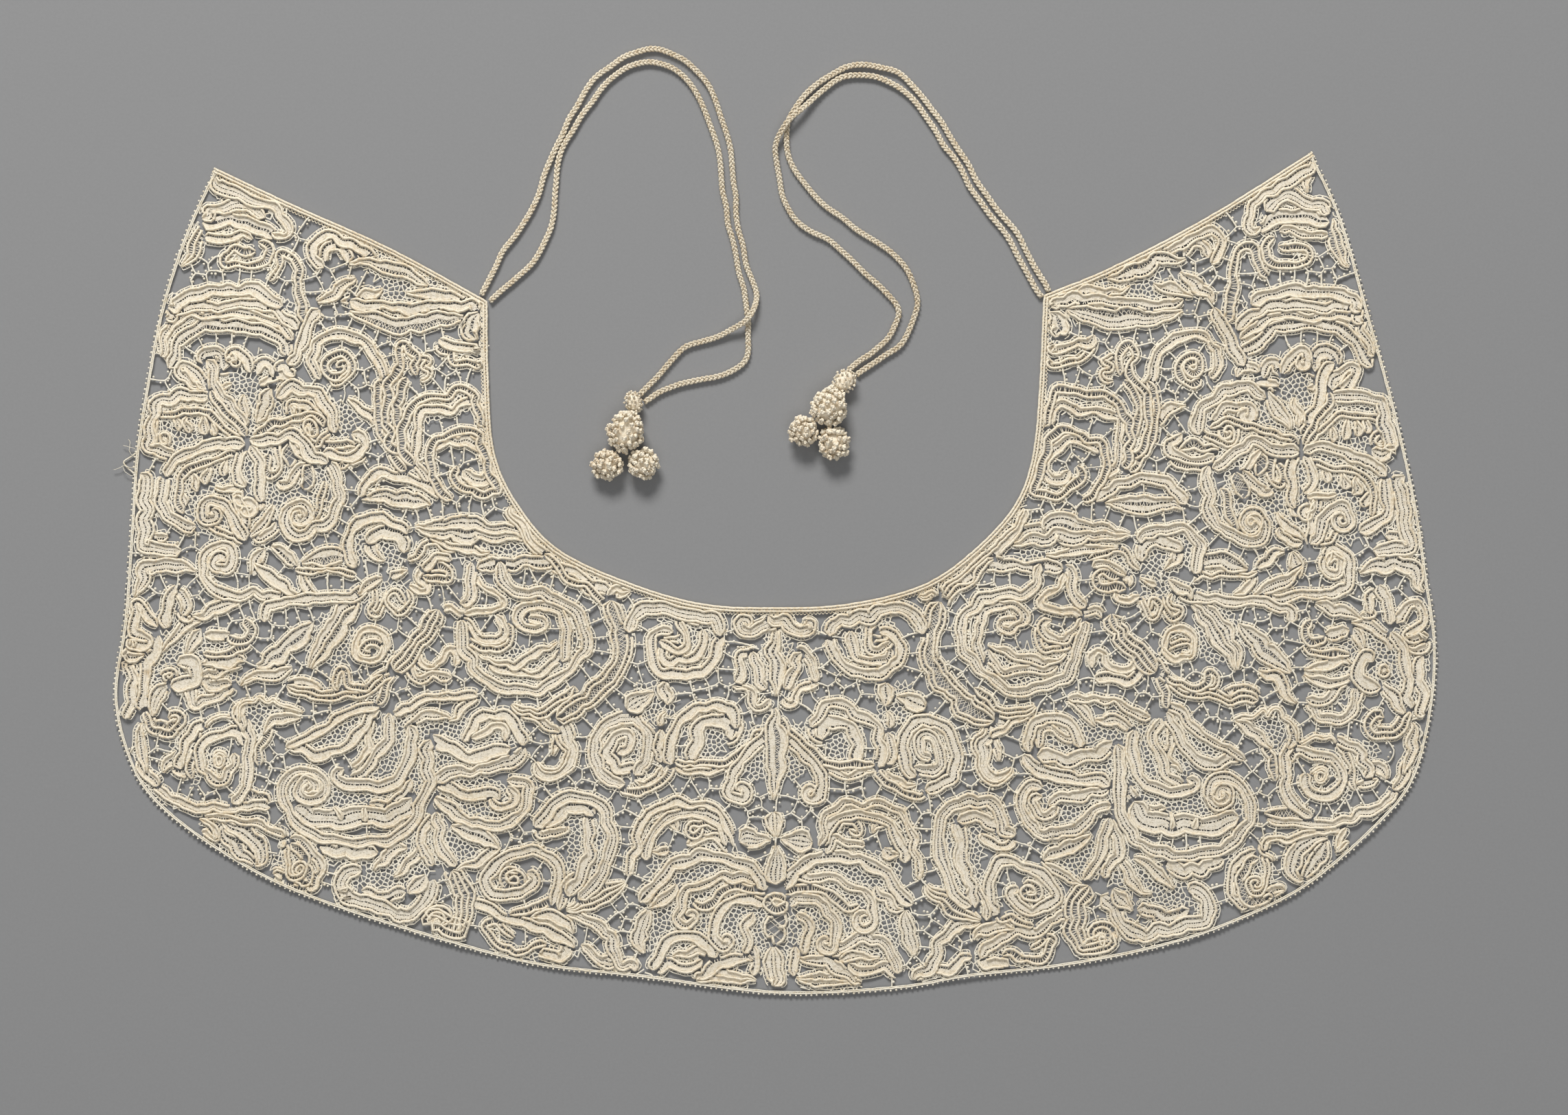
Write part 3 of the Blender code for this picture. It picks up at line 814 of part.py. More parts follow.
def nearest_site(sites, shape, reach=14.0):
    """For each grid cell the number of its nearest site."""
    label = np.full(shape, -1)
    best = np.full(shape, reach * reach)
    for number, (px, py) in enumerate(sites):
        x0 = max(0, int((px - reach - GRID_BOX[0]) / GRID))
        y0 = max(0, int((py - reach - GRID_BOX[1]) / GRID))
        x1 = min(shape[1], int((px + reach - GRID_BOX[0]) / GRID) + 2)
        y1 = min(shape[0], int((py + reach - GRID_BOX[1]) / GRID) + 2)
        xs = GRID_BOX[0] + np.arange(x0, x1) * GRID
        ys = GRID_BOX[1] + np.arange(y0, y1) * GRID
        far = (xs[None, :] - px) ** 2 + (ys[:, None] - py) ** 2
        closer = far < best[y0:y1, x0:x1]
        best[y0:y1, x0:x1][closer] = far[closer]
        label[y0:y1, x0:x1][closer] = number
    return label


def gap_sites(ground, gx, gy):
    """Middles of the gaps: spread over the open ground, then evened out."""
    rng = np.random.default_rng(1650)
    cells = np.argwhere(ground)
    cells = cells[rng.permutation(len(cells))]
    free = ground.copy()
    sites = []
    for j, i in cells:
        if free[j, i]:
            x, y = gx[j, i], gy[j, i]
            sites.append((x, y))
            r = int(GAP_SPACING / GRID)
            j0, i0 = max(0, j - r), max(0, i - r)
            ys, xs = np.mgrid[j0:j + r + 1, i0:i + r + 1]
            ys = ys[:, :free.shape[1] - i0][:free.shape[0] - j0]
            xs = xs[:, :free.shape[1] - i0][:free.shape[0] - j0]
            near = (ys - j) ** 2 + (xs - i) ** 2 <= r * r
            free[j0:j + r + 1, i0:i + r + 1][near] = False
    sites = np.array(sites)
    for _ in range(5):
        label = nearest_site(sites, ground.shape)
        use = ground & (label >= 0)
        count = np.bincount(label[use], minlength=len(sites))
        mean_x = np.bincount(label[use], gx[use], len(sites)) / np.maximum(count, 1)
        mean_y = np.bincount(label[use], gy[use], len(sites)) / np.maximum(count, 1)
        moved = np.stack([mean_x, mean_y], 1)
        held = (count > 6) & at_grid(ground, moved)
        sites[held] = moved[held]
        sites = sites[count > 6]
    return sites


def ring_area(ring):
    """Signed area of a closed ring."""
    x, y = ring.T
    return 0.5 * np.sum(x * np.roll(y, -1) - np.roll(x, -1) * y)


def fewer_corners(ring, corners, slack):
    """A closed ring with only its main corners kept."""
    first = int(np.argmax(np.hypot(*(ring - ring.mean(0)).T)))
    second = int(np.argmax(np.hypot(*(ring - ring[first]).T)))
    kept = sorted({first, second})
    while len(kept) < corners:
        worst, where = slack, None
        for a, b in zip(kept, kept[1:] + [kept[0] + len(ring)]):
            if b - a < 2:
                continue
            idx = np.arange(a + 1, b) % len(ring)
            p, q = ring[a % len(ring)], ring[b % len(ring)]
            d = (q - p) / max(np.hypot(*(q - p)), 1e-6)
            off = np.abs((ring[idx] - p) @ np.array([-d[1], d[0]]))
            if off.max() > worst:
                worst, where = off.max(), int(idx[np.argmax(off)])
        if where is None:
            break
        kept = sorted(set(kept) | {where})
    return ring[kept]


def cut_gaps(sites, open_cells):
    """Rings of the gaps that are cut through, the largest first."""
    label = nearest_site(sites, open_cells.shape)
    label[~open_cells] = -1
    apart = np.zeros(label.shape, bool)
    for j, i in ((0, 1), (1, 0), (1, 1), (1, -1)):
        step = np.roll(np.roll(label, j, axis=0), i, axis=1)
        differs = step != label
        apart |= differs | np.roll(np.roll(differs, -j, axis=0), -i, axis=1)
    label[grown(apart, BAR_HALF - 0.5 * GRID)] = -1
    rings = []
    angles = np.radians(np.arange(0, 360, 15))
    ways = np.stack([np.cos(angles), np.sin(angles)], 1)
    reach = np.arange(0.3, 12.0, 0.2)
    for number, site in enumerate(sites):
        trail = site + ways[:, None, :] * reach[None, :, None]
        mine = at_grid(label, trail.reshape(-1, 2)).reshape(len(ways), -1) == number
        far = np.where(mine.all(1), len(reach) - 1, np.argmin(mine, axis=1))
        if (far < 2).any():
            continue
        ring = site + ways * reach[far - 1][:, None]
        ring = fewer_corners(ring, GAP_CORNERS, 0.35)
        if len(ring) < 3 or ring_area(ring) < GAP_MINIMUM:
            continue
        rings.append(ring)
    rings.sort(key=lambda r: -ring_area(r))
    return rings[:GAP_COUNT]


def relief_lines(rows, owner, wall_ring, gaps):
    """Points on the middles of the raised tapes, and the links between neighbours."""
    blocked = np.zeros(owner.shape, bool)
    gx, gy = grid_points()
    for ring in gaps:
        lo, hi = ring.min(0) - 1, ring.max(0) + 1
        i0, j0 = ((lo - GRID_BOX[:2]) / GRID).astype(int)
        i1, j1 = ((hi - GRID_BOX[:2]) / GRID).astype(int) + 1
        spots = np.stack([gx[j0:j1, i0:i1].ravel(), gy[j0:j1, i0:i1].ravel()], 1)
        blocked[j0:j1, i0:i1] |= inside(ring, spots).reshape(j1 - j0, i1 - i0)
    blocked = grown(blocked, 0.75)
    edge_ring = inset(wall_ring, 1.6)
    points, links = [], []
    for number, (section, line, halves) in enumerate(rows):
        marks = evenly(line, RELIEF_STEP) if len(line) > RELIEF_STEP else line[[0, -1]]
        good = ((at_grid(owner, marks) == number) & ~at_grid(blocked, marks)
                & inside(edge_ring, marks))
        last = None
        for mark, fits in zip(marks, good):
            if fits and points:
                fits = np.hypot(*(np.array(points) - mark).T).min() > 3.6
            if not fits:
                last = None
                continue
            points.append(mark)
            if last is not None:
                between = np.linspace(points[last], mark, 20)
                if not at_grid(blocked, between).any():
                    links.append((last, len(points) - 1))
            last = len(points) - 1
    return np.array(points), links, valley_points(points, owner, blocked, edge_ring)


def valley_points(raised, owner, blocked, edge_ring):
    """Points on the net and seams between the tapes, where the wall is low."""
    gx, gy = grid_points()
    seam = (owner < 0) & ~grown(owner >= 0, 0.4) & ~blocked
    free = seam & inside(edge_ring, np.stack([gx.ravel(), gy.ravel()], 1)).reshape(gx.shape)
    for x, y in raised:
        i, j = int((x - GRID_BOX[0]) / GRID), int((y - GRID_BOX[1]) / GRID)
        free[j - 4:j + 5, i - 4:i + 5] = False
    rng = np.random.default_rng(7)
    cells = np.argwhere(free)
    found = []
    reach = int(VALLEY_STEP / GRID)
    for j, i in cells[rng.permutation(len(cells))]:
        if free[j, i]:
            found.append((gx[j, i], gy[j, i]))
            free[max(0, j - reach):j + reach + 1, max(0, i - reach):i + reach + 1] = False
    return np.array(found)


# Solids

def mesh_object(name, verts, faces, material, home):
    """A solid from its corners and faces, in millimetres."""
    mesh = bpy.data.meshes.new(name)
    mesh.from_pydata([Vector(v) * MM for v in verts], [], faces)
    mesh.validate()
    body = bmesh.new()
    body.from_mesh(mesh)
    bmesh.ops.recalc_face_normals(body, faces=body.faces)
    body.to_mesh(mesh)
    body.free()
    mesh.materials.append(material)
    made = bpy.data.objects.new(name, mesh)
    home.objects.link(made)
    return made


def triangles_between(rings, extra, links):
    """Triangles over the wall between its outer ring and its gaps."""
    verts, edges, loops = [], [], []
    for ring in rings:
        first = len(verts)
        verts += [Vector(p) for p in ring]
        loop = list(range(first, first + len(ring)))
        loops.append(loop)
        edges += list(zip(loop, loop[1:] + loop[:1]))
    base = len(verts)
    verts += [Vector(p) for p in extra]
    edges += [(base + a, base + b) for a, b in links]
    out_verts, _, faces, origins, _, _ = delaunay_2d_cdt(verts, edges, [], 0, 1e-5)
    spots = np.array([[v.x, v.y] for v in out_verts])
    faces = np.array([tuple(f) for f in faces])
    middles = spots[faces].mean(axis=1)
    keep = inside(np.array(rings[0]), middles)
    for ring in rings[1:]:
        ring = np.array(ring)
        lo, hi = ring.min(0), ring.max(0)
        near = np.flatnonzero(keep & (middles >= lo).all(1) & (middles <= hi).all(1))
        keep[near[inside(ring, middles[near])]] = False
    home = {}
    for number, origin in enumerate(origins):
        for o in origin:
            home[o] = number
    return spots, faces[keep], home, loops, base


def lace_wall(rings, relief, links, valleys, material, home):
    """The lace: a plain underside, a top raised along its tapes, and the walls of its gaps."""
    top, top_faces, top_home, loops, base = triangles_between(rings, relief + valleys, links)
    low, low_faces, low_home, _, _ = triangles_between(rings, [], [])
    raised = {top_home[base + k] for k in range(len(relief))}
    fresh = set(range(len(top))) - {n for n in top_home.values()}
    verts = [(x, y, TAPE_THICK if n in raised or n in fresh else GROUND_THICK)
             for n, (x, y) in enumerate(top)]
    under = len(verts)
    verts += [(x, y, 0.0) for x, y in low]
    faces = [tuple(int(v) for v in f) for f in top_faces]
    faces += [tuple(int(v) + under for v in reversed(f)) for f in low_faces]
    for loop in loops:
        for a, b in zip(loop, loop[1:] + loop[:1]):
            ta, tb = top_home[a], top_home[b]
            la, lb = low_home[a] + under, low_home[b] + under
            faces += [(ta, la, tb), (tb, la, lb)]
    return mesh_object("lace_body", verts, faces, material, home)


def shortened(line, by):
    """A line with both ends cut back."""
    fine = evenly(line, 0.5)
    cut = int(by / 0.5)
    return np.concatenate([fine[cut:cut + 1], line[1:-1], fine[-cut - 1:-cut]])


def edge_braid(name, line, material, home):
    """A narrow braid along a line: flat below, with a low ridge. The line is its outer side."""
    d = np.gradient(line, axis=0)
    d /= np.hypot(*d.T)[:, None]
    normal = np.stack([d[:, 1], -d[:, 0]], 1)
    turn = np.zeros(len(line))
    turn[1:-1] = [abs(turned(math.degrees(math.atan2(*(c - b)[::-1]) - math.atan2(*(b - a)[::-1]))))
                  for a, b, c in zip(line[:-2], line[1:-1], line[2:])]
    wide = BRAID_WIDE / np.cos(turn / 2)
    verts, faces = [], []
    section = ((0.0, 0.0), (0.0, BRAID_SIDE), (0.5, BRAID_TOP), (1.0, BRAID_SIDE), (1.0, 0.0))
    for p, n, w in zip(line, normal, wide):
        for across, z in section:
            x, y = p + n * w * across
            verts.append((x, y, z))
    ring = len(section)
    for k in range(len(line) - 1):
        for m in range(ring):
            a, b = k * ring + m, k * ring + (m + 1) % ring
            faces.append((a, b, b + ring, a + ring))
    faces.append(tuple(range(ring)))
    last = (len(line) - 1) * ring
    faces.append(tuple(range(last + ring - 1, last - 1, -1)))
    return mesh_object(name, verts, faces, material, home)


def tie_strand(name, route, material, home):
    """One strand of a tie, lying on the table, as a round cord with filled ends."""
    smooth = through(route, 1.0)
    along = np.r_[0, np.cumsum(np.hypot(*np.diff(smooth, axis=0).T))]
    rise = np.full(len(smooth), 0.5 * CORD_THICK)
    for strand, x, y, up, reach in STRAND_RISES:
        if strand == name:
            peak = along[np.argmin(np.hypot(smooth[:, 0] - x, smooth[:, 1] - y))]
            rise += up * np.exp(-((along - peak) / reach) ** 2)
    count = int(along[-1] / CORD_STEP) + 1
    at = np.linspace(0, along[-1], count)
    points = np.stack([np.interp(at, along, v) for v in (smooth[:, 0], smooth[:, 1], rise)], 1)
    curve = bpy.data.curves.new(name, "CURVE")
    curve.dimensions = "3D"
    curve.bevel_depth = 0.5 * CORD_THICK * MM
    curve.bevel_resolution = 2
    curve.use_fill_caps = True
    spline = curve.splines.new("POLY")
    spline.points.add(count - 1)
    for spot, (x, y, z) in zip(spline.points, points):
        spot.co = (x * MM, y * MM, z * MM, 1.0)
    curve.materials.append(material)
    made = bpy.data.objects.new(name, curve)
    home.objects.link(made)
    return made


def knot_cluster(name, x, y, half_wide, half_long, turn, high, material, home):
    """A ball, pear or berry of small knots, flat where it rests."""
    body = bmesh.new()
    bmesh.ops.create_icosphere(body, subdivisions=2 if "neck" in name else 3, radius=1.0)
    golden = math.pi * (3 - math.sqrt(5))
    count = 34
    knots = [Vector((math.sqrt(1 - h * h) * math.cos(golden * k),
                     math.sqrt(1 - h * h) * math.sin(golden * k), h))
             for k, h in ((k, 1 - 2 * (k + 0.5) / count) for k in range(count))]
    c, s = math.cos(math.radians(turn)), math.sin(math.radians(turn))
    for vert in body.verts:
        way = vert.co.normalized()
        near = max(way.dot(k) for k in knots)
        bump = 0.93 + 0.07 * max(0.0, (near - 0.93) / 0.07)
        u, v, w = way * bump
        if "pear" in name:
            u *= 1.0 - 0.28 * max(0.0, v)
        px, py = u * half_wide, v * half_long
        pz = 0.5 * high * (1 + w)
        vert.co = Vector((x + px * c - py * s, y + px * s + py * c, max(pz, 0.0))) * MM
    for vert in body.verts:
        if vert.co.z < 0.09 * high * MM:
            vert.co.z = 0.0
    mesh = bpy.data.meshes.new(name)
    body.to_mesh(mesh)
    body.free()
    mesh.materials.append(material)
    made = bpy.data.objects.new(name, mesh)
    home.objects.link(made)
    return made


# The whole part

def build():
    home = bpy.data.collections.new(PART_NAME)
    bpy.context.scene.collection.children.link(home)
    rows = pattern_rows()
    gx, gy = grid_points()
    owner = np.full(gx.shape, -1)
    for number, (section, points, halves) in enumerate(rows):
        stamp(owner, points, halves, number)
    edge, corners = outline(OUTLINE_STEP)
    wall_ring = inset(edge, BRAID_WIDE + SEAM)
    spots = np.stack([gx.ravel(), gy.ravel()], 1)
    within = inside(inset(edge, BRAID_WIDE + SEAM + 1.3), spots).reshape(gx.shape)
    cloth = grown(owner >= 0, 0.5)
    net = net_field(gx, gy)
    ground = opened(within & ~cloth & ~net, NARROWEST_GAP)
    sites = gap_sites(ground, gx, gy)
    gaps = cut_gaps(sites, ground)
    relief, links, valleys = relief_lines(rows, owner, wall_ring, gaps)
    wall_look = thread_material("lace_thread", COTTON, 0.9)
    lace_wall([list(map(tuple, wall_ring))] + [list(map(tuple, g)) for g in gaps],
              [tuple(p) for p in relief], links, [tuple(p) for p in valleys], wall_look, home)
    coarse, corners = outline(BRAID_STEP)
    tip_right, tip_left, neck_left, neck_right = corners
    braid_look = thread_material("edge_braid_thread", CORD_COTTON, 0.9)
    edge_braid("outer_edge_braid", coarse[tip_right:tip_left + 1], braid_look, home)
    rest = shortened(np.concatenate([coarse[tip_left:], coarse[:1]]), TIP_PART)
    edge_braid("neck_edge_braid", rest, braid_look, home)
    for name, route in TIE_ROUTES.items():
        look = thread_material(name + "_thread", CORD_COTTON, 0.85)
        tie_strand(name, route, look, home)
    for name, x, y, half_wide, half_long, turn, high in TASSEL_PARTS:
        look = thread_material(name + "_thread", KNOT_COTTON, 0.9)
        knot_cluster(name, x, y, half_wide, half_long, turn, high, look, home)
    print("gaps", len(gaps), "sites", len(sites), "relief", len(relief), "valleys", len(valleys),
          "smallest gap", round(ring_area(gaps[-1]), 1), "largest", round(ring_area(gaps[0]), 1))


build()
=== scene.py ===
# %% [markdown]
# # A bobbin lace collar, laid flat
# The collar is one broad piece of raised tape lace. Narrow woven tapes and leaves, each with a
# thick cord along its edges, lie beside each other. Bars with tiny knobs and a fine irregular net
# join them. Two thin edges hold the whole, and two doubled plaited cords, each with a tassel of
# small knots, tie it at the neck.
# Everything here is thread, so nearly every piece is a line with a thickness. The lines come from
# one chart of marks, and the steps below dress that chart: cloth, cords, net, bars, edges, ties.

# %% Load the frame
import math

import bpy
import bmesh
import numpy as np
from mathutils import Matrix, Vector
from mathutils.geometry import delaunay_2d_cdt


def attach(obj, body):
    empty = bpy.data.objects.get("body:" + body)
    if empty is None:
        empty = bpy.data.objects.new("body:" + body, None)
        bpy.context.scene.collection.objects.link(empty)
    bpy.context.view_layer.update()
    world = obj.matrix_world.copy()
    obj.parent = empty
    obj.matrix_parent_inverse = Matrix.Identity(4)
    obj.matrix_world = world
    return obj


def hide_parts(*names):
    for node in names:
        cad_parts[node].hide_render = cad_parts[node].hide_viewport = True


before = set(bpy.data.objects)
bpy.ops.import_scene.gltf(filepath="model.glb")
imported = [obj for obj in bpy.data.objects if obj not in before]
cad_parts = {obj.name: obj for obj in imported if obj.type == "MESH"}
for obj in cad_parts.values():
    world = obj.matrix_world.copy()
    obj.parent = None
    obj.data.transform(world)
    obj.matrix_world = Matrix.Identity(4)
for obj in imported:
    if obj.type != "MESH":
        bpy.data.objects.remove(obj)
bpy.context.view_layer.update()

MM = 0.001

# %% [markdown]
# ## Nodes
# The materials are built from a few kinds of node, over and over. Each function below makes one
# node, feeds it and hands back what it puts out. What it is fed may be another node's socket or a
# plain value.

# %% Short ways to make nodes
def feed(tree, value, socket):
    """Link a socket to another, or set it to a plain value."""
    if isinstance(value, bpy.types.NodeSocket):
        tree.links.new(value, socket)
    else:
        socket.default_value = value


def object_place(tree):
    """Where a point lies in its object's own coordinates."""
    return tree.nodes.new("ShaderNodeTexCoord").outputs["Object"]


def noise(tree, scale, detail):
    """A noise texture on the object's own coordinates."""
    made = tree.nodes.new("ShaderNodeTexNoise")
    made.inputs["Scale"].default_value = scale
    made.inputs["Detail"].default_value = detail
    tree.links.new(object_place(tree), made.inputs["Vector"])
    return made.outputs["Fac"]


def eased(tree, source, low, high):
    """A value stretched so that low becomes 0 and high becomes 1."""
    made = tree.nodes.new("ShaderNodeMapRange")
    made.interpolation_type = "SMOOTHSTEP"
    made.inputs["From Min"].default_value = low
    made.inputs["From Max"].default_value = high
    tree.links.new(source, made.inputs["Value"])
    return made.outputs["Result"]


def mixed(tree, factor, a, b):
    """Two colours mixed by a factor."""
    made = tree.nodes.new("ShaderNodeMix")
    made.data_type = "RGBA"
    tree.links.new(factor, made.inputs["Factor"])
    feed(tree, a, made.inputs["A"])
    feed(tree, b, made.inputs["B"])
    return made.outputs["Result"]


def maths(tree, operation, *values, clamp=False):
    """One step of arithmetic."""
    made = tree.nodes.new("ShaderNodeMath")
    made.operation = operation
    made.use_clamp = clamp
    for value, socket in zip(values, made.inputs):
        feed(tree, value, socket)
    return made.outputs[0]


def matt(name, roughness, specular):
    """A material with hardly any shine: the material, its nodes and its shader."""
    made = bpy.data.materials.new(name)
    made.use_nodes = True
    shader = made.node_tree.nodes["Principled BSDF"]
    shader.inputs["Roughness"].default_value = roughness
    shader.inputs["Specular IOR Level"].default_value = specular
    return made, made.node_tree, shader


print("node helpers ready")

# %% [markdown]
# ## Camera, table and light
# The collar was laid on a plain grey table and seen from straight above. The camera hangs over it
# with a long lens, so the edges of the view hardly lean. One broad soft light stands beyond the
# points of the collar, at the top of the view. Every raised cord then has a lit upper side and a
# soft shadow below it, which is what makes the relief readable. A weaker light from above opens
# the shadows.

# %% Camera
VIEW_WIDE = 0.651
VIEW_HIGH = 1.9
VIEW_CENTRE = (0.0034, 0.0066)
SENSOR = 36.0
bpy.ops.object.camera_add(location=(*VIEW_CENTRE, VIEW_HIGH), rotation=(0.0, 0.0, 0.0))
camera = bpy.context.object
camera.name = "camera"
camera.data.sensor_width = SENSOR
camera.data.lens = SENSOR * VIEW_HIGH / VIEW_WIDE
camera.data.clip_end = 20.0
bpy.context.scene.camera = camera
print("lens", round(camera.data.lens, 1))

# %% Table
TABLE_WIDE = 9.0
TABLE_DROP = 0.0002
DARK_GREY = (0.271, 0.269, 0.267, 1.0)
LIGHT_GREY = (0.295, 0.293, 0.291, 1.0)
bpy.ops.mesh.primitive_plane_add(size=TABLE_WIDE, location=(0.0, 0.0, -TABLE_DROP))
bpy.ops.object.transform_apply(location=True, rotation=False, scale=False)
table = bpy.context.object
table.name = "table"
paper, paper_tree, paper_shader = matt("grey_table", 0.9, 0.1)
grain = noise(paper_tree, 900.0, 2.0)
paper_tree.links.new(mixed(paper_tree, grain, DARK_GREY, LIGHT_GREY),
                     paper_shader.inputs["Base Color"])
table.data.materials.append(paper)
print("table", tuple(table.dimensions))

# %% Lights
def soft_light(name, place, size, power, aim):
    """A broad area light that looks at one place."""
    bpy.ops.object.light_add(type="AREA", location=place)
    lamp = bpy.context.object
    lamp.name = name
    lamp.data.shape = "RECTANGLE"
    lamp.data.size, lamp.data.size_y = size
    lamp.data.energy = power
    lamp.rotation_euler = (Vector(aim) - Vector(place)).to_track_quat("-Z", "Y").to_euler()
    return lamp


key = soft_light("key_light", place=(-0.42, 2.1, 1.62), size=(1.08, 0.66), power=68.0,
                 aim=(0.0, 0.02, 0.0))
fill = soft_light("fill_light", place=(0.2, -0.9, 2.5), size=(2.4, 1.8), power=16.0,
                  aim=(0.0, 0.0, 0.0))
world = bpy.context.scene.world or bpy.data.worlds.new("room")
bpy.context.scene.world = world
world.use_nodes = True
room_light = world.node_tree.nodes["Background"].inputs
room_light["Color"].default_value = (0.93, 0.96, 1.0, 1.0)
room_light["Strength"].default_value = 0.215
bpy.context.scene.view_settings.view_transform = "Standard"
print("lights", key.data.energy, fill.data.energy)

# %% [markdown]
# ## The outline and the chart
# A lacemaker works from a pricked chart, and this lesson does the same. The outline is a short list
# of places where the edge changes course. Each row of the chart is one tape or leaf. Its kind says
# what its width is made of (C a cord, O an open row of pinholes, T woven cloth, N net), and then
# its form and the number of its lobes, unless it is an even tape without any. Then come how wide it
# is and the marks that it runs through, with a heading in degrees where the way isn't plain. A curl
# at its end is a spiral. All of it is in millimetres, for the right half only, because the left
# half is nearly its mirror. Rows that come first lie over later ones.

# %% Outline
OUTER_EDGE = (
    # x, y
    (222.5, 175.0), (235.0, 148.0), (246.0, 110.0), (258.0, 66.0), (266.0, 30.0), (270.5, 0.0),
    (274.5, -30.0), (272.5, -58.0), (265.0, -86.0), (250.0, -105.0), (221.0, -130.0),
    (190.0, -145.5), (160.0, -155.5), (120.0, -163.5), (80.0, -168.0), (50.0, -173.0),
    (0.0, -175.0), (-58.0, -168.0), (-100.0, -163.0), (-140.0, -152.5), (-180.0, -140.0),
    (-211.0, -127.5), (-240.0, -110.0), (-260.0, -93.0), (-270.0, -75.0), (-275.0, -50.0),
    (-271.0, -20.0), (-268.0, 20.0), (-266.0, 50.0), (-261.0, 82.0), (-255.0, 112.0),
    (-245.0, 142.0), (-233.0, 168.5),
)
LEFT_FRONT = (
    (-233.0, 168.5), (-200.0, 153.0), (-160.0, 135.0), (-119.5, 113.0),
)
NECK = (
    (-119.5, 113.0), (-119.0, 80.0), (-116.5, 50.0), (-107.0, 29.0), (-90.0, 10.0),
    (-60.0, -4.0), (-30.0, -12.5), (0.0, -14.0), (30.0, -12.5), (60.0, -5.0), (80.0, 8.0),
    (98.0, 27.0), (106.0, 47.0), (109.0, 75.0), (111.0, 115.5),
)
RIGHT_FRONT = (
    (111.0, 115.5), (140.0, 127.5), (180.0, 148.5), (222.5, 175.0),
)

# %% Chart: the centre front
CENTRE_FRONT = (
    # kind, wide, way, curl
    ("COTOC", 6, ((-3, -17.5), (1, -18), (6, -22.5), (11, -24), (14.6, -22.5, 70)),
        (13.2, -21.3, 1.9, 1, 0, 220)),
    ("CTNTC leaf 0", 7.6, ((0, -22), (0, -51))),
    ("CTC", 4.6, ((9.5, -32.5, -120), (9, -38), (6, -44), (4, -48))),
    ("COTC", 4.8, ((8.5, -31.5, 20), (13.5, -34), (15, -41, -88), (17.5, -44.5))),
    ("CTC", 3.8, ((18, -45.5), (11.5, -47, -165), (9, -52, -95), (5.5, -55), (3, -52, 100))),
    ("CTNTC leaf 0", 9.6, ((0, -56), (0, -94))),
    ("COTOC", 5.4, ((1.5, -59, -60), (5, -68), (12, -75.5), (17.5, -83), (19, -91, -95)),
        (14.5, -91, 4.4, 1.4, 0, -330)),
    ("COC", 3.6, ((4, -65), (12, -71.5), (19, -77), (27, -79), (41, -79.5))),
    ("CTC even 2", 3.8, ((20, -80.5), (30, -82.6), (41, -82))),
    ("CTOC petal 0", 9, ((0, -110), (0, -99))),
    ("CTOTC petal 0", 10, ((2, -111), (15, -110))),
    ("CTOTC petal 0", 9, ((0, -113), (0, -129))),
    ("COC", 4.5, (), (0, -136, 3.4, 3.4, 0, 360)),
    ("CNC leaf 0", 9, ((0, -140), (0, -154))),
    ("COTOC leaf 0", 9.5, ((0, -155), (0, -173.5))),
)

# %% Chart: the palmette at the hem
PALMETTE = (
    ("CTC even 3", 4, ((18, -113), (20, -103), (27, -96), (36, -96), (45, -96.5), (52.5, -101),
        (57, -109), (58, -117), (60.5, -127))),
    ("COTC", 4.8, ((20.5, -113), (23.5, -105), (31, -100.6), (40, -100.6), (47.5, -105), (52, -112),
        (53, -120))),
    ("COC", 3.4, ((25, -107), (29, -104), (34.5, -105.5), (34, -108.6), (30, -106.6, 150))),
    ("CTC even 2", 4.2, ((20.5, -116, 60), (25, -110), (31, -111), (37, -113, 20))),
    ("CTC petal 0", 4.8, ((41, -108), (45, -102, 40))),
    ("CTC petal 0", 4.8, ((51, -117), (44.5, -115))),
    ("CTNTC even 7", 5.6, ((3.5, -131), (10, -122), (19, -118.6), (30, -118), (40, -121),
        (49, -128), (55.5, -138))),
    ("CTC even 2", 4.2, ((3, -132), (11, -126.4), (22, -126), (30, -129.6), (37, -132),
        (40, -139, -85)), (36, -143.6, 4.6, 1.6, 10, -330)),
    ("COC even 2", 4, ((4, -133), (14, -130.6), (22, -133), (29, -138), (34, -137))),
    ("COTC", 4.8, ((5, -138), (10, -135), (17, -136), (23.5, -141.5), (26, -149),
        (22.5, -156, -140)), (20.4, -153.2, 3.2, 1.4, -70, -260)),
    ("CTC even 2", 4.2, ((9, -141, -60), (14, -146), (12, -152), (12, -158))),
    ("CTC leaf 0", 5.2, ((41, -130), (46, -136.5), (53, -140))),
    ("COTOC leaf 2", 8, ((53, -140), (55, -149), (56.5, -159))),
    ("COTC", 5.2, ((23.5, -159), (31, -153), (40, -152), (47, -157), (50.5, -166))),
    ("COTOC leaf 0", 5, ((26, -159.4), (34, -158.4), (43, -160))),
    ("CTC even 2", 4.6, ((30, -162), (36, -164.4), (44, -163, 5), (49.5, -168, -50))),
    ("CTTC leaf 0", 6, ((9.5, -160.5), (20, -161.5), (28, -165), (34.5, -173))),
    ("CTCTC leaf 0", 6.2, ((8.5, -167.5), (20, -170), (34, -172))),
    ("CTC", 4.2, ((7.5, -155), (8, -167))),
)

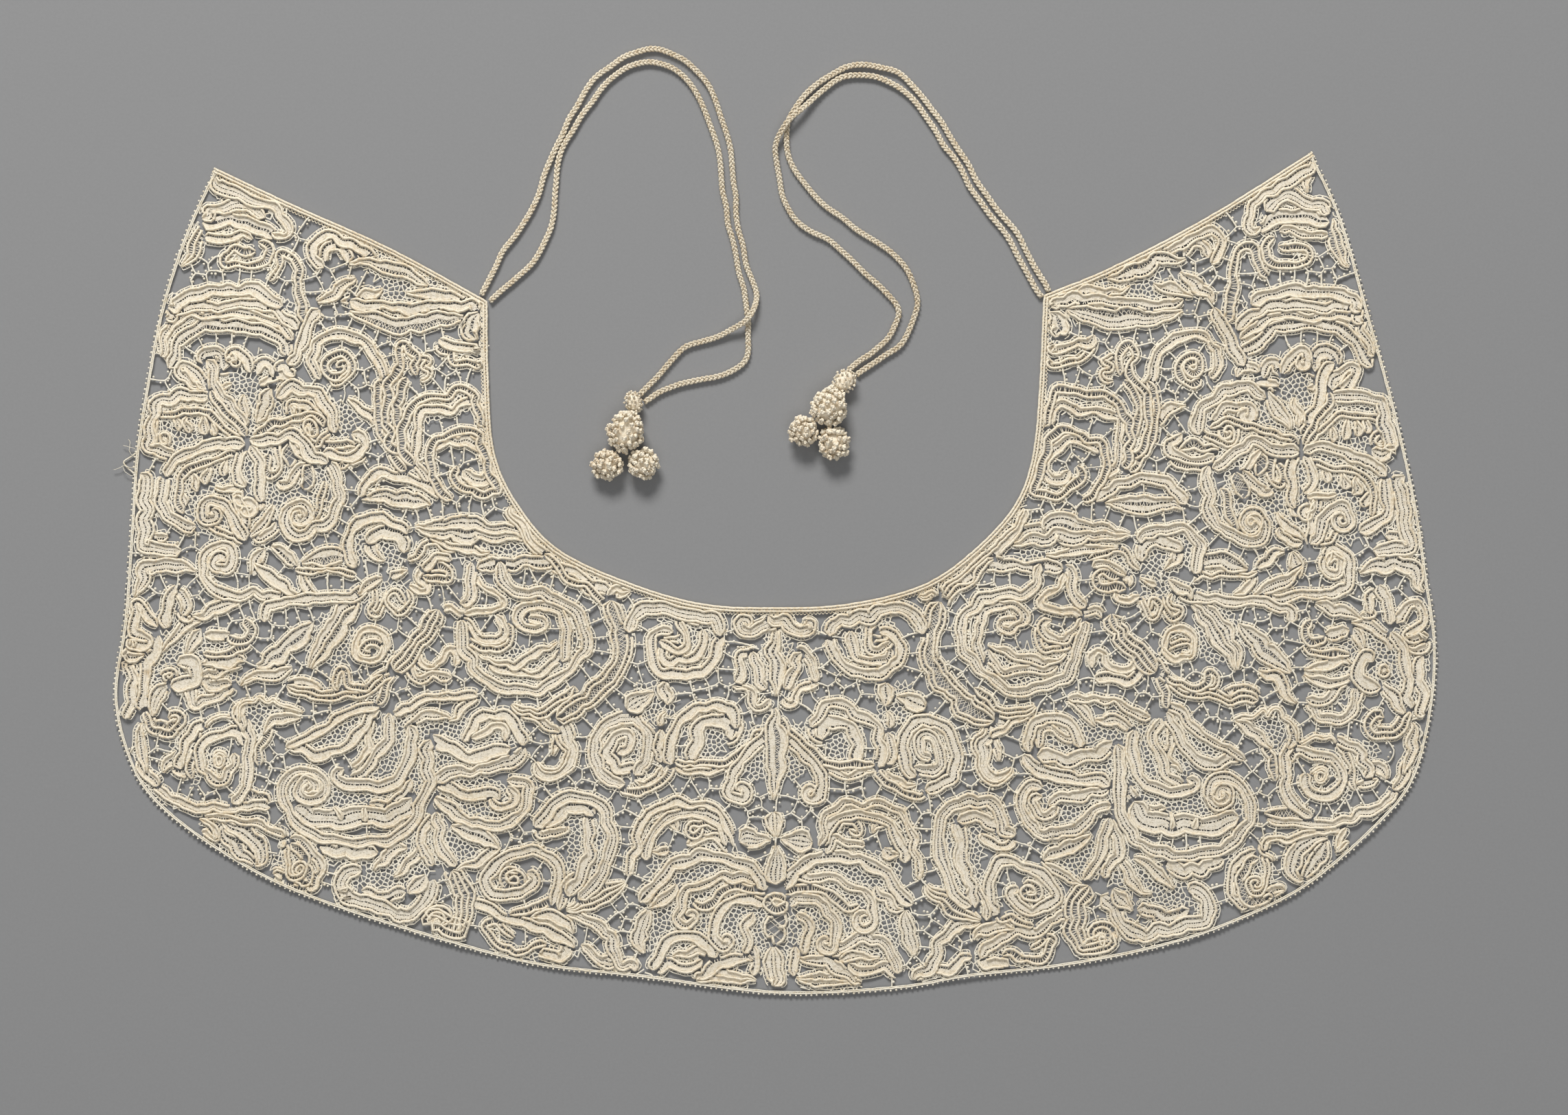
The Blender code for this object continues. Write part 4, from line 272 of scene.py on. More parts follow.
# %% Chart: the paired hearts
HEART = (
    ("COTOC", 5.8, ((22.5, -26), (26, -19.5), (34, -15), (43, -14), (52, -15), (58.5, -18.5),
        (61.5, -25))),
    ("COTC", 5, ((21, -27.5), (27, -35.5), (34, -41.5), (42, -42), (49.5, -39.5), (52, -32),
        (50, -26), (43, -24))),
    ("CTC", 4, ((31, -21.5), (38, -20, 10), (38, -26), (39, -31), (43.5, -32), (48, -28))),
    ("COC", 3.2, ((40.5, -24.6, -20), (47, -26.5), (44, -29, 180), (41, -29.5))),
    ("CTC even 2", 4.6, ((31.5, -24), (32, -31), (36, -36), (41, -36.4, 20), (46, -36),
        (48.5, -31))),
    ("CTOTC petal 0", 8.2, ((45.5, -55), (46, -45.5))),
    ("CTOTC petal 0", 8.6, ((50.5, -50.5), (61.5, -56.5))),
    ("COTC even 3", 5, ((15.5, -64), (18, -57, 65), (24, -54.5), (32, -56), (38, -60), (42.5, -66),
        (43.5, -74), (42, -80))),
    ("CTTC", 5.8, ((19.5, -69, 95), (20, -63), (25.5, -61), (31, -64), (33, -71), (34, -78.5))),
    ("CTC", 4, ((15, -61, -95), (15, -66), (20.5, -69.5))),
    ("CTC petal 0", 4.2, ((46, -57.5), (48, -64, -90))),
    ("CTC even 2", 4.6, ((46.5, -66), (48, -72), (46, -79))),
    ("COTOC", 5.6, ((58, -84.5), (52.5, -79), (52, -69), (57, -62), (64, -60.6), (71, -65),
        (74, -74), (73.5, -83), (69, -88), (62, -89, 180))),
    ("COTC", 4.8, ((57, -81, -20), (64, -82.6), (68, -77.5), (66.5, -70), (62, -68, 180), (60, -72),
        (64.5, -76.5, -40))),
    ("COC", 3.8, ((42.5, -81), (46, -87), (54, -91), (64, -91.4))),
    ("CTC leaf 0", 4.4, ((45.5, -82, -40), (51, -86.5), (58, -87))),
)

# %% Chart: the stems
STEM = (
    ("COCNCOC", 9, ((67, -12, -78), (64, -24), (64.5, -36), (70, -47), (80, -55.5), (90, -62))),
    ("COCOC taper 0", 6.6, ((82, -47.5, -50), (87, -54), (96, -58.5), (108, -55.5))),
    ("CTC even 2", 3.6, ((105, -57.5, -140), (99, -61), (95, -65.5), (90, -68.5, -110))),
    ("COCOTOC taper 0", 9, ((96, -62, 170), (85.5, -73), (90, -85), (99, -81, 60))),
    ("CTC leaf 0", 4.4, ((92, -67), (92, -78))),
)

# %% Chart: the round leaf
NECK_ROUND = (
    ("COTC", 5, ((109, 4, -92), (108.5, -3), (104, -8), (92, -9.6), (82, -14.5), (77.5, -23),
        (78, -32), (84, -39.5), (91, -44.5), (99, -48.6), (108, -48), (118, -44), (124, -36.5),
        (127.5, -28), (128.5, -20))),
    ("CTC", 4.4, ((86, -37), (84.5, -28), (85, -20), (89, -14.6), (96, -14), (102.5, -16.4),
        (102, -21.5), (97, -23.4), (93.5, -21, 80), (100, -19, 5))),
    ("CTC", 3.8, ((114.5, -19.5), (111.5, -23.5), (115, -28), (121, -26), (128, -19.5))),
    ("COC", 3.4, ((109, -21), (108, -26), (112, -31.5), (120, -31), (125.5, -27, 30))),
    ("COTC leaf 0", 4.4, ((88, -29.5), (95, -32), (103, -36), (112, -37.5), (120, -33))),
    ("CTC even 4", 4.2, ((87, -32), (90, -37), (97, -41), (106, -41), (117, -38.5))),
    ("COC", 3.4, ((69, -16), (71, -10), (76, -6.5), (81.5, -3), (85, 2.5), (90, 6.5))),
    ("CTNC even 7", 6.2, ((86, 3.4, 20), (100, 3), (110, 3), (119, 2))),
    ("CTC", 5, ((120.5, 3.5), (123, -3), (123.6, -9), (128.5, -14))),
    ("CTC", 3.4, ((119.5, 0, -95), (118.5, -5), (113, -9), (109, -12), (113, -15), (119, -16),
        (127, -17.5))),
    ("CTCTC leaf 0", 5.4, ((58.5, -7, 20), (63, -8, -20), (67.5, -14, -60))),
    ("COTOCOC taper 0", 7.4, ((67, -10), (76, 0.5), (89, 13), (103, 27))),
    ("COTCNTC leaf 3", 12, ((97, 13), (118, 18), (147, 15.5))),
    ("CTC leaf 0", 4.4, ((112, 8), (142, 11.5))),
)

# %% Chart: the scrolls at the neck
NECK_SCROLL = (
    ("COC", 3.8, ((125, 44.5, -60), (126, 39.5), (120, 34), (111, 33), (106.6, 35), (108, 47),
        (112.5, 55.5), (122, 58), (131, 56.5), (136.5, 50), (136.5, 41), (128, 29.5))),
    ("CTC", 4.8, ((122.5, 42.5), (118, 38.4), (113, 39), (113, 47), (116.5, 53), (125, 55),
        (131, 53.5), (134.5, 50))),
    ("COC", 3.8, ((111, 61), (113, 70), (118.5, 76), (125, 76), (130, 73.6), (137, 73), (143, 69.5),
        (147, 62), (147.5, 52), (144, 44))),
    ("CTC", 4, ((112.5, 62), (117, 70), (122, 70), (126.5, 67.6), (134, 68), (140, 65.5),
        (142.5, 58), (142.5, 48), (137, 38))),
    ("COC", 3.8, ((142, 82, 95), (141.5, 89), (145.5, 95), (148.5, 91), (147, 86), (151.5, 78),
        (154.5, 68), (153.5, 58), (150, 49.5), (148, 56), (150.6, 64), (149, 73), (144.5, 80))),
    ("COC", 3.8, ((154.5, 80, -80), (158, 70), (157, 60), (153, 50), (147, 42))),
    ("COC", 3.2, ((141, 90.5, 180), (136, 89), (138.5, 86, -60), (136, 83.5, -100),
        (140, 80, -10))),
    ("CTC", 4.8, ((154, 74), (155.5, 84), (159, 92), (166, 97), (174, 99), (181, 95.5), (184, 88),
        (180, 81.5))),
    ("COC", 3.8, (), (172.5, 85.2, 6.8, 1.3, -50, -640)),
    ("COTC leaf 0", 5.4, ((157, 59), (161, 66), (170, 70.5))),
    ("COTC", 4.8, ((132, 31), (140, 36), (150, 39), (158, 39), (165, 36), (169.5, 28.5))),
    ("CTNTC leaf 2", 8, ((137, 28, 20), (149, 28), (160, 29), (169, 27))),
    ("CTC", 4.6, ((112, 94.5), (119, 93.5), (126, 95), (132, 99))),
    ("COC", 3.6, ((112, 88.5), (117, 87), (125, 88), (130, 92.5), (132.5, 97))),
)

# %% Chart: the leaves along the fronts
FRONT_LEAVES = (
    ("CTNTC leaf 2", 8.6, ((113, 109, -80), (116.5, 98, -85))),
    ("COTNOC leaf 0", 8.8, ((120.5, 108), (140, 106), (155, 105), (169, 109))),
    ("CTTC even 3", 5.2, ((112, 110.5), (125, 113), (140, 112.4), (155, 111.5), (169, 114))),
    ("CTTC leaf 2", 6.2, ((114, 113.5), (123, 117), (134, 117), (147, 119))),
    ("CTNC leaf 3", 7.2, ((138, 121.5), (148, 127), (158, 130), (170, 131, 30))),
    ("CTTC leaf 0", 5.6, ((156.5, 119.5), (165, 117), (173, 114.5))),
    ("COTC", 4.8, ((161, 131), (167, 139), (175, 143), (183, 141.6), (185.5, 135), (180.5, 129))),
    ("CTC", 4.2, ((170, 131), (173, 137), (178.5, 137), (179.5, 131, -100))),
    ("CTC leaf 0", 6.2, ((167.5, 124.5), (174, 119.5), (181, 112))),
    ("COTOC", 5.6, ((181.5, 110, -60), (186, 104), (189, 95), (194, 86))),
)

# %% Chart: the points
TIP = (
    ("COTOC taper 0", 6, ((221, 172), (212, 164), (203, 158.5, -155), (197, 150), (196.5, 142.5),
        (201.5, 143.5, 60))),
    ("COTC leaf 0", 4.8, ((222, 172), (221, 158))),
    ("COTOC even 4", 6, ((204, 150), (211, 156), (219, 155.5), (230, 150))),
    ("CTNTC", 6.4, ((201, 141), (209, 148), (219, 148.4), (229.5, 145.5))),
    ("CTC even 5", 4.2, ((209, 141.6, 10), (218, 141), (229, 141))),
    ("COC", 3.8, ((207, 139.4), (202.6, 135), (206, 129), (214, 128.5), (221, 131),
        (217, 135.4, 180), (208.5, 135))),
    ("COCOC leaf 0", 6.6, ((230.5, 147), (235, 137), (240, 127.5))),
    ("COC", 4, ((187.5, 104), (189.5, 115), (191, 127), (195.5, 135), (199.5, 130, -75),
        (204, 123))),
    ("CTOTC even 7", 6, ((198, 111), (208, 117), (220, 117), (232, 116), (246, 110))),
    ("COTOC", 5, ((191.5, 101), (200, 108.5), (209, 112), (222, 111), (236, 110.4), (247, 106))),
    ("CTC", 4.2, ((193, 97), (201, 104), (210, 107.5), (224, 107), (237, 107), (245, 101),
        (249, 90))),
    ("CTNC even 6", 6, ((194, 91), (203, 99), (214, 103), (228, 103), (240, 97), (246, 85, -65))),
)

# %% Chart: the large flower
PEONY = (
    ("COTC", 5.4, ((181, 44, 35), (189, 47.5), (194, 52), (199, 54), (208, 51.5), (217, 51))),
    ("COTC", 5, ((219, 50.5, 0), (230, 51.5), (241, 48), (249, 44), (252.5, 40))),
    ("COC", 3.4, ((180.5, 60), (187, 64.5), (195, 62), (206, 58.5), (216, 52.5))),
    ("COC", 3.6, ((219, 53.5), (222, 61), (227, 68), (229.5, 75))),
    ("COTC", 4.6, ((216.5, 49.5), (214, 44), (214, 35), (215, 27))),
    ("COTC", 4.4, ((219, 48.5), (222.5, 44), (222.5, 37), (220, 32.5))),
    ("COTC", 5.4, ((175.5, 57.5), (176.5, 68), (185, 75.5), (195, 77), (203, 72.5))),
    ("COTOC leaf 0", 7, ((205, 76), (208.5, 68), (213.5, 59.5))),
    ("COTC", 5, ((180.5, 44), (178, 36), (180.5, 26), (186, 17.5), (195, 14), (202, 16, 70)),
        (197.8, 20.6, 4.8, 1.2, 0, 540)),
    ("COTC", 5.6, ((231, 72.5), (240, 74), (247, 71.5), (252, 71), (258, 64.5), (259, 57),
        (256, 51), (247, 50))),
    ("COTC", 5.4, ((252.5, 40), (254, 32), (253.5, 25), (248, 20.5), (242, 18))),
    ("COTC", 5.2, ((230.5, 88), (227.5, 80), (226, 72), (221.5, 64.5), (219, 57.5))),
    ("COTC", 5, ((212, 83), (214, 89.5), (219.5, 92), (221, 88, -120)),
        (218.4, 88.2, 1.6, 0.8, 0, -200)),
    ("CTOC", 5.8, ((224, 84), (224.5, 90), (229, 92), (231.5, 87))),
    ("COTC", 5.6, ((231, 76), (234.5, 81), (239, 85), (239.5, 81.5), (234, 76))),
    ("COC", 3.4, ((220, 52.5), (227, 58), (233, 65.5), (240, 65.5), (247.5, 66), (254, 62.5),
        (256.5, 56.5))),
    ("CTC petal 0", 4.6, ((235.5, 64.5), (235.5, 55.5))),
    ("CTC petal 0", 4.4, ((241, 64.5), (241.5, 57))),
    ("CTC petal 0", 4.4, ((246.5, 65), (244.5, 58.5))),
    ("CTC petal 0", 4, ((230.5, 61.5), (231, 54.5))),
    ("COC", 3.2, ((256, 60, -110), (253.5, 53, 175)), (251, 55, 3, 1, -90, -420)),
    ("COC", 3.4, ((176.5, 59.5, -70), (181, 55.5), (186, 52.6), (190.5, 55, 80)),
        (187.2, 58, 3.3, 1, 0, 430)),
    ("COTC", 4.8, ((181.5, 63, 80), (187, 68.5), (192, 69.5), (197, 68, -70)),
        (195.3, 66.4, 2, 0.8, 0, -300)),
    ("COTC", 4.6, ((168.5, 57.5, 200), (163, 53), (167.5, 48), (176, 47.5), (182, 49))),
    ("CNC leaf 0", 4.8, ((167, 51.5), (174, 53), (184, 51.5, 0))),
    ("COC", 3.6, ((163.5, 47.5), (170, 44), (176, 43), (180, 47.5, 60))),
    ("CNC", 6.4, ((190.5, 41.5, -48), (195, 31.5, -62))),
    ("CTC", 4.6, ((193.5, 42.5), (198.5, 37), (201.5, 33), (206, 34.5))),
    ("CTC leaf 0", 4.6, ((199.5, 52), (196, 44.5), (192.5, 42))),
    ("CNC leaf 0", 6.6, ((201.5, 50), (200, 40.5))),
    ("COC", 3.6, ((215, 49, 190), (205.5, 47.5, -95), (205, 40.5), (208, 36.5), (211, 39),
        (208.5, 45.5, 105))),
    ("COC", 3.4, ((221, 46), (230, 44.5), (240, 42, -8), (246.5, 36.5), (249, 30),
        (247, 24, -110))),
    ("CTC petal 0", 5, ((227.5, 44), (228, 37.5))),
    ("CTC petal 0", 5.2, ((234.5, 42.5), (236.5, 35))),
    ("CTC petal 0", 4.6, ((241.5, 40.5), (241, 32.5))),
    ("CTC petal 0", 4.6, ((246.5, 35), (244.5, 27.5))),
    ("CTC", 3.6, ((220.5, 32, -30), (226, 32), (232.5, 33.5))),
    ("COTC", 5.6, ((221.5, 12.5), (226, 20), (231, 27.5), (236.5, 26.5, -65)),
        (235.3, 22.8, 2.2, 1, 0, -260)),
    ("COTC", 4.8, ((221, 12), (221.5, 22), (223.5, 29.5, 110)), (220.4, 25, 2.6, 1, 60, 300)),
    ("COC", 3.4, ((222.5, 12, 20), (231, 14.5), (237.5, 20.5))),
    ("COTC leaf 0", 5, ((220, 13.5, 145), (214, 19, 160), (208, 25.5))),
    ("CTC", 4.6, ((218.5, 13), (211, 14), (208, 19))),
    ("CTC petal 0", 6, ((214, 31), (216, 23.5))),
    ("COC", 3.6, ((184, 35), (187.5, 28), (190, 21), (195, 16.5))),
    ("CTC leaf 0", 4.6, ((216, 73), (217, 65), (219, 60))),
    ("CTC", 3.4, ((221, 83.5), (226, 83))),
    ("CTC", 3.4, ((220.5, 77), (225, 76))),
    ("COTC", 4.6, ((192, 81.5), (196, 86.5), (200.5, 83.5))),
    ("COTC", 4.4, ((202.5, 81, 85), (206, 87.5), (209.5, 82, -95))),
    ("CTC", 3.6, ((191, 79.5), (199, 80), (209, 79))),
    ("COC", 3, (), (205, 76, 2, 0.9, 180, 400)),
    ("COTOC", 6.4, ((262.5, 42), (264, 32), (266.5, 21), (264.5, 12.5), (256, 10.5), (248, 9.5))),
    ("COTC", 4.4, ((262, 25.5), (260.5, 20), (261, 15.5), (253, 14.5, 185))),
)

# %% Chart: the small flower
SMALL_FLOWER = (
    ("COTC even 3", 5.2, ((150.5, 13, 70), (156, 17.5), (164, 20), (171, 18.5), (176, 12), (176, 6),
        (173.5, 0, -95))),
    ("CTTC even 2", 5.8, ((152, 5), (153, 11, 75), (158, 13), (164, 12.5), (167.5, 9))),
    ("CTC petal 2", 6, ((161, 1.5, 40), (165.5, 5), (166, 10))),
    ("COC", 3.4, ((130.5, 5.5), (136, 8.6), (143, 9), (146.5, 5, -55), (151, 2.5))),
    ("CTC", 3.6, ((131, 3), (135, 4.5), (140, 2), (145, -1))),
    ("COC", 4.2, ((145, -5.5), (138, -6), (132, -3), (136, -0.6), (142.5, -2))),
    ("CTC", 3.2, ((143.5, -2), (147, -4), (142.5, -8.5, -130), (145, -11.5), (151, -9.5, 10))),
    ("COC", 3.2, ((151, -9.5), (152.5, -16), (156, -19), (159, -16), (158.5, -11), (155.5, -10.5),
        (155, -15, -90))),
    ("COC", 3.2, ((161, -9.5), (161.5, -15.5), (165, -19), (168, -16.5), (165, -13), (165, -8.5))),
    ("CTC petal 0", 3.8, ((151, -2), (158, -5, -40))),
    ("CTC leaf 0", 5, ((162.5, -3.5), (168, -6), (173, -10))),
    ("COTNOC leaf 0", 8.4, ((175.5, 2.5), (184, 5.5), (196, 2))),
    ("COC", 3, ((173, -3), (180, -1), (190, -1), (200, -0.5))),
    ("COTOC", 4.8, ((168, -7.5), (174, -10.5), (183, -11), (192, -11), (202, -12), (210, -14, -15),
        (214, -20.5, -70))),
    ("CTC leaf 0", 4.2, ((190, -9), (195, -6), (199.5, -1))),
    ("COTC leaf 0", 6, ((198, -8.5), (207, -5), (219, 2))),
    ("COTOC", 4.8, ((203, -10.6), (216, -9), (230, -9.5), (239, -1, 80)),
        (231.8, 3.8, 7.2, 1.4, -20, 560)),
    ("CTNC leaf 2", 5.4, ((199.5, 1), (205, 6), (211, 9.5))),
    ("CTC leaf 0", 6.4, ((214, 9), (218, -2))),
    ("COTC leaf 0", 6, ((224, -12), (243, -18))),
    ("CTOCNTC leaf 3", 11, ((173, -12), (184, -24), (192, -40))),
    ("COTNTC leaf 2", 9.6, ((192, -21), (203, -31), (214, -41))),
    ("CTOC leaf 2", 5.6, ((200, -41), (208, -45), (216, -54))),
    ("CTC", 3.2, (), (167.5, -30.3, 6.8, 6.2, 200, -380)),
    ("COC", 2.8, ((161, -34), (167, -29), (171.5, -31), (168, -34, 180))),
    ("COCOCOC", 8.2, ((139, -17), (143, -25), (151, -34), (157.5, -41))),
    ("CTC", 3.8, ((124, -19, 30), (130, -16), (136, -17.5))),
    ("CTC", 3.4, ((131.5, -39, 100), (131, -34), (134, -31.5), (137, -35, -75), (141, -39),
        (147, -38.5), (148, -33))),
    ("CTNC even 3", 4.6, ((132, -43.5, -10), (138, -43), (144, -45, -15), (149.5, -42),
        (150, -38, 90))),
    ("COC", 3.4, ((162, -43), (168, -47), (175, -48), (178, -43.5, 80), (180.5, -41), (183, -44.5),
        (180, -48.5))),
    ("COCOC", 5.2, ((152, -31.5), (158, -38.5), (165, -46), (174, -50), (186, -51), (200, -50.5))),
    ("COC", 4, ((154, -38), (159.5, -43.5), (161, -50), (162, -56))),
    ("CTOC", 4.6, ((185, -51), (190, -48), (196, -47), (201, -50))),
    ("CTOC leaf 2", 8, ((242, 1, 10), (258, 4), (270, -8))),
)

# %% Chart: the rosette
ROSETTE = (
    ("CTTC even 2", 6.4, ((248.5, -36), (243, -35), (241, -40), (244, -45), (251, -46.5))),
    ("COC", 3.2, (), (252, -40.6, 2.6, 1, 0, 400)),
    ("CTTC", 5.2, ((250, -5, -60), (253.6, -11), (254, -21))),
    ("CTC", 4.4, ((249, -6.5, -125), (246, -11), (246.5, -17))),
    ("CTC petal 0", 4, ((242, -18, 0), (249, -15.5, 60))),
    ("COTC", 4.6, ((257, -19.5, 20), (261.5, -16, 75), (264, -12), (268, -13), (269, -19),
        (264, -24, -150), (261, -27), (267, -27), (273, -25))),
    ("CTC leaf 0", 4.6, ((262, -31), (268, -31.6), (274, -27))),
    ("COC", 4.2, ((222.5, -19.5, -140), (219, -24), (222, -28), (227.5, -26, 75))),
    ("CTTC", 5.6, ((228, -25.6), (238, -25))),
    ("CTC petal 0", 5, ((245.5, -33), (240, -22.5))),
    ("COC", 3.6, ((218.5, -30), (224, -33), (238, -33.6))),
    ("CTTC leaf 0", 5.6, ((219, -39.5), (228, -37.6), (239, -37))),
    ("CTC leaf 0", 4.8, ((219.5, -41.5), (226, -45), (233, -44.5), (240, -40.5))),
    ("CTC", 4.6, ((220, -52.6, -5), (227, -53), (232.5, -49, 60), (237, -44))),
    ("COTC", 5, ((220.5, -53.5), (225, -59), (231, -60), (237, -58.5), (240.5, -52.5),
        (242, -47.5))),
    ("COTOC leaf 0", 6.8, ((250.5, -46, -20), (255.5, -51), (260, -58.5))),
    ("COCOC", 6.4, ((252, -60.5), (247, -63.5, -90), (250, -67), (257, -64.5), (262, -57))),
    ("CTTC", 5.2, ((256, -24), (260, -34), (262, -44), (262.6, -56))),
    ("COTC", 5, ((267.5, -34), (267.4, -46), (269.5, -60))),
    ("CTC leaf 0", 5, ((263.5, -62), (264, -74), (261.5, -84))),
    ("CTC", 4.6, ((267, -78), (260, -86), (256.5, -90))),
    ("CTC leaf 2", 5, ((239, -19.5), (248, -23), (256, -31))),
)

# %% Chart: the lower spray
LOWER_SPRAY = (
    ("CTC leaf 0", 5, ((190, -62), (198, -65.5), (205.5, -73))),
    ("CC", 2.2, ((190, -62), (197, -59, 0), (201.5, -57, 30), (203.5, -59.5, -20), (207, -57, 10),
        (210, -60.5), (214, -61.5, -20), (217, -66, -90), (216.5, -70))),
    ("COC", 3.6, ((202, -69.5), (204.5, -74.5), (207, -79.5), (207, -86))),
    ("CTC leaf 0", 5.6, ((214.5, -60.5), (215, -66), (213.5, -73))),
    ("CTC", 4.8, ((214, -69), (211.6, -79), (212, -89), (216, -97), (222, -102))),
    ("COTC", 4.4, ((214, -79, 75), (218, -74.6)), (226, -84.4, 9.9, 6.9, 105, -300)),
    ("CC", 2.2, ((214, -74), (221, -69), (229, -67.6), (233, -70))),
    ("CC", 2.3, (), (225.8, -84.3, 3.9, 1, 175, -520)),
    ("COTC", 4.8, ((232, -69), (240, -72), (245, -78), (245, -85))),
    ("COC", 3.2, ((233.5, -71), (237.5, -78), (239.6, -85), (240, -90))),
    ("CTC leaf 0", 5.6, ((246.5, -77.5), (250, -80.5), (253, -85.5))),
    ("CTC leaf 0", 4.2, ((240, -89), (245, -88), (249, -84.5))),
    ("CNC leaf 0", 5.2, ((219, -102), (210.5, -98.6), (203, -100))),
    ("COTOC", 4.2, ((204, -101.6), (213, -103), (226, -104), (238, -102), (246, -98), (254, -95),
        (258.5, -90))),
    ("CTC", 3, ((236.5, -105.5, -120), (232, -112), (233.5, -116), (240, -114, 20))),
    ("COTC", 3.6, ((236, -106), (222, -107.6), (212, -111), (205, -111.6), (202.6, -115))),
    ("CTNC leaf 0", 7.4, ((229, -109), (217.5, -115), (214, -122), (219.5, -128))),
    ("CTNC leaf 0", 7, ((229, -109.5), (226, -119), (219, -128))),
    ("CC", 2.2, ((201, -112.5, -100), (202.5, -116), (206, -119.5, -90))),
    ("COC", 2.8, ((203.5, -116.5), (203.5, -124)), (198.8, -129.2, 4.6, 1.3, 25, -480)),
    ("CNC", 4.6, ((200, -117.5), (195, -123), (193.4, -130), (198.5, -137), (207, -136, 15))),
    ("COTC", 4, ((199.5, -115.5), (192.6, -119.5), (189, -126.5), (190, -133), (195.5, -139))),
    ("CTC", 3.8, ((200.5, -133), (205, -134.5), (211.5, -133.5))),
    ("CTOC", 4.4, ((191.5, -136, -90), (194, -141), (203, -140), (212.5, -134.5))),
)

# %% Chart: the shell
SHELL = (
    ("COTC", 5, ((141.5, -71), (142, -88), (144, -100), (149, -109), (157, -114.5), (170, -117),
        (184, -114.5), (193, -107), (196.5, -97), (193, -88), (185, -85), (179, -89),
        (179, -94, -70)), (185, -92, 5.6, 1.2, 200, 560)),
    ("CTC", 5.2, ((148.5, -65), (148, -75), (150, -82), (154.5, -88.5), (161, -90), (169, -90),
        (173.5, -87.5), (171.5, -84, 130))),
    ("CTC petal 0", 2.8, ((164, -99), (164, -106))),
    ("CTC petal 0", 2.8, ((175, -100, -95), (173, -106, -100))),
    ("CTTC even 3", 9, ((148, -95), (154, -102), (165, -104.5), (180, -104.5), (192, -101))),
    ("CTC even 2", 3.8, ((147, -88, -60), (150, -94.5), (156, -98), (162, -97.5, 0))),
    ("CTC", 4.6, ((157.5, -60, -92), (156.5, -69), (160, -77), (163, -84), (169, -87))),
    ("CTC even 2", 4.2, ((161, -56.5), (168, -57.5), (176, -64.5), (184, -71), (195, -76))),
    ("CTTC", 5.2, ((161.5, -58), (166, -66), (171, -74), (180, -78.5), (189, -77), (195, -75))),
    ("CTC", 3.4, ((162.5, -63), (164, -71), (163.5, -77), (169, -82))),
    ("CTC even 2", 4.2, ((121, -52), (132, -53), (142, -53), (149, -57), (155, -58.5, 30))),
    ("CTC leaf 0", 4.4, ((120.5, -52), (128, -58), (133, -63))),
    ("CTOC leaf 2", 5, ((132, -62), (141, -61, 5), (151, -66, -30))),
    ("COTC", 5, ((104.5, -74), (107, -64.5), (112, -60), (120, -61.5), (124.5, -67),
        (126.5, -72, -60))),
    ("CTC", 3.8, ((110.5, -72, 100), (110, -67), (114, -64), (118.5, -67, -55), (123.5, -70.5))),
    ("CTTC even 4", 6.4, ((109, -74.5), (115, -76.5), (124, -77), (131, -75.5), (140, -70))),
    ("CTOC even 3", 6, ((103.5, -75), (107, -80), (114, -83), (124, -86), (131, -85, 5),
        (137.5, -89, -50))),
    ("COTC", 5, ((110.5, -89), (104.5, -90), (102, -95), (104, -102), (109, -107.5), (116, -109),
        (124, -106.5), (131, -100.5), (138, -95))),
    ("CTC", 4.2, ((110.5, -92), (107.5, -96), (111.5, -100), (116.5, -96.5))),
    ("CTTC even 3", 5.4, ((113, -96), (118, -94), (125, -94), (131, -91.5), (138, -89.5))),
    ("CTNTC leaf 3", 7.4, ((111, -119), (121, -113.5), (131, -108))),
    ("CTC leaf 0", 4.4, ((110.5, -119), (118, -124), (127, -128.5))),
    ("CTC", 4.8, ((127.5, -127), (133, -120), (136.5, -110), (138, -101.5))),
    ("CTC", 4.6, ((140, -102, -85), (143, -112), (140, -121), (136, -126))),
    ("CTC leaf 0", 5, ((143, -117), (147, -126), (156, -133))),
    ("CTC leaf 0", 5.4, ((148.5, -118), (156, -121.5), (165, -131))),
    ("CTTC even 2", 6, ((162, -122, 10), (170, -123), (178, -122), (186, -119))),
    ("COTC leaf 0", 6.6, ((140, -131), (149, -139))),
    ("COTOC", 6.6, ((136, -133, -50), (147, -148), (164, -152.5), (178, -145), (178, -134),
        (171, -131))),
    ("CTNC even 3", 6.4, ((150, -139, 15), (162, -143), (172, -140))),
    ("COCOCOC", 8.8, ((129, -129), (123.5, -142), (125, -152), (132.5, -157), (139, -151, 85)),
        (135, -150.5, 3.6, 2, 10, 200)),
)

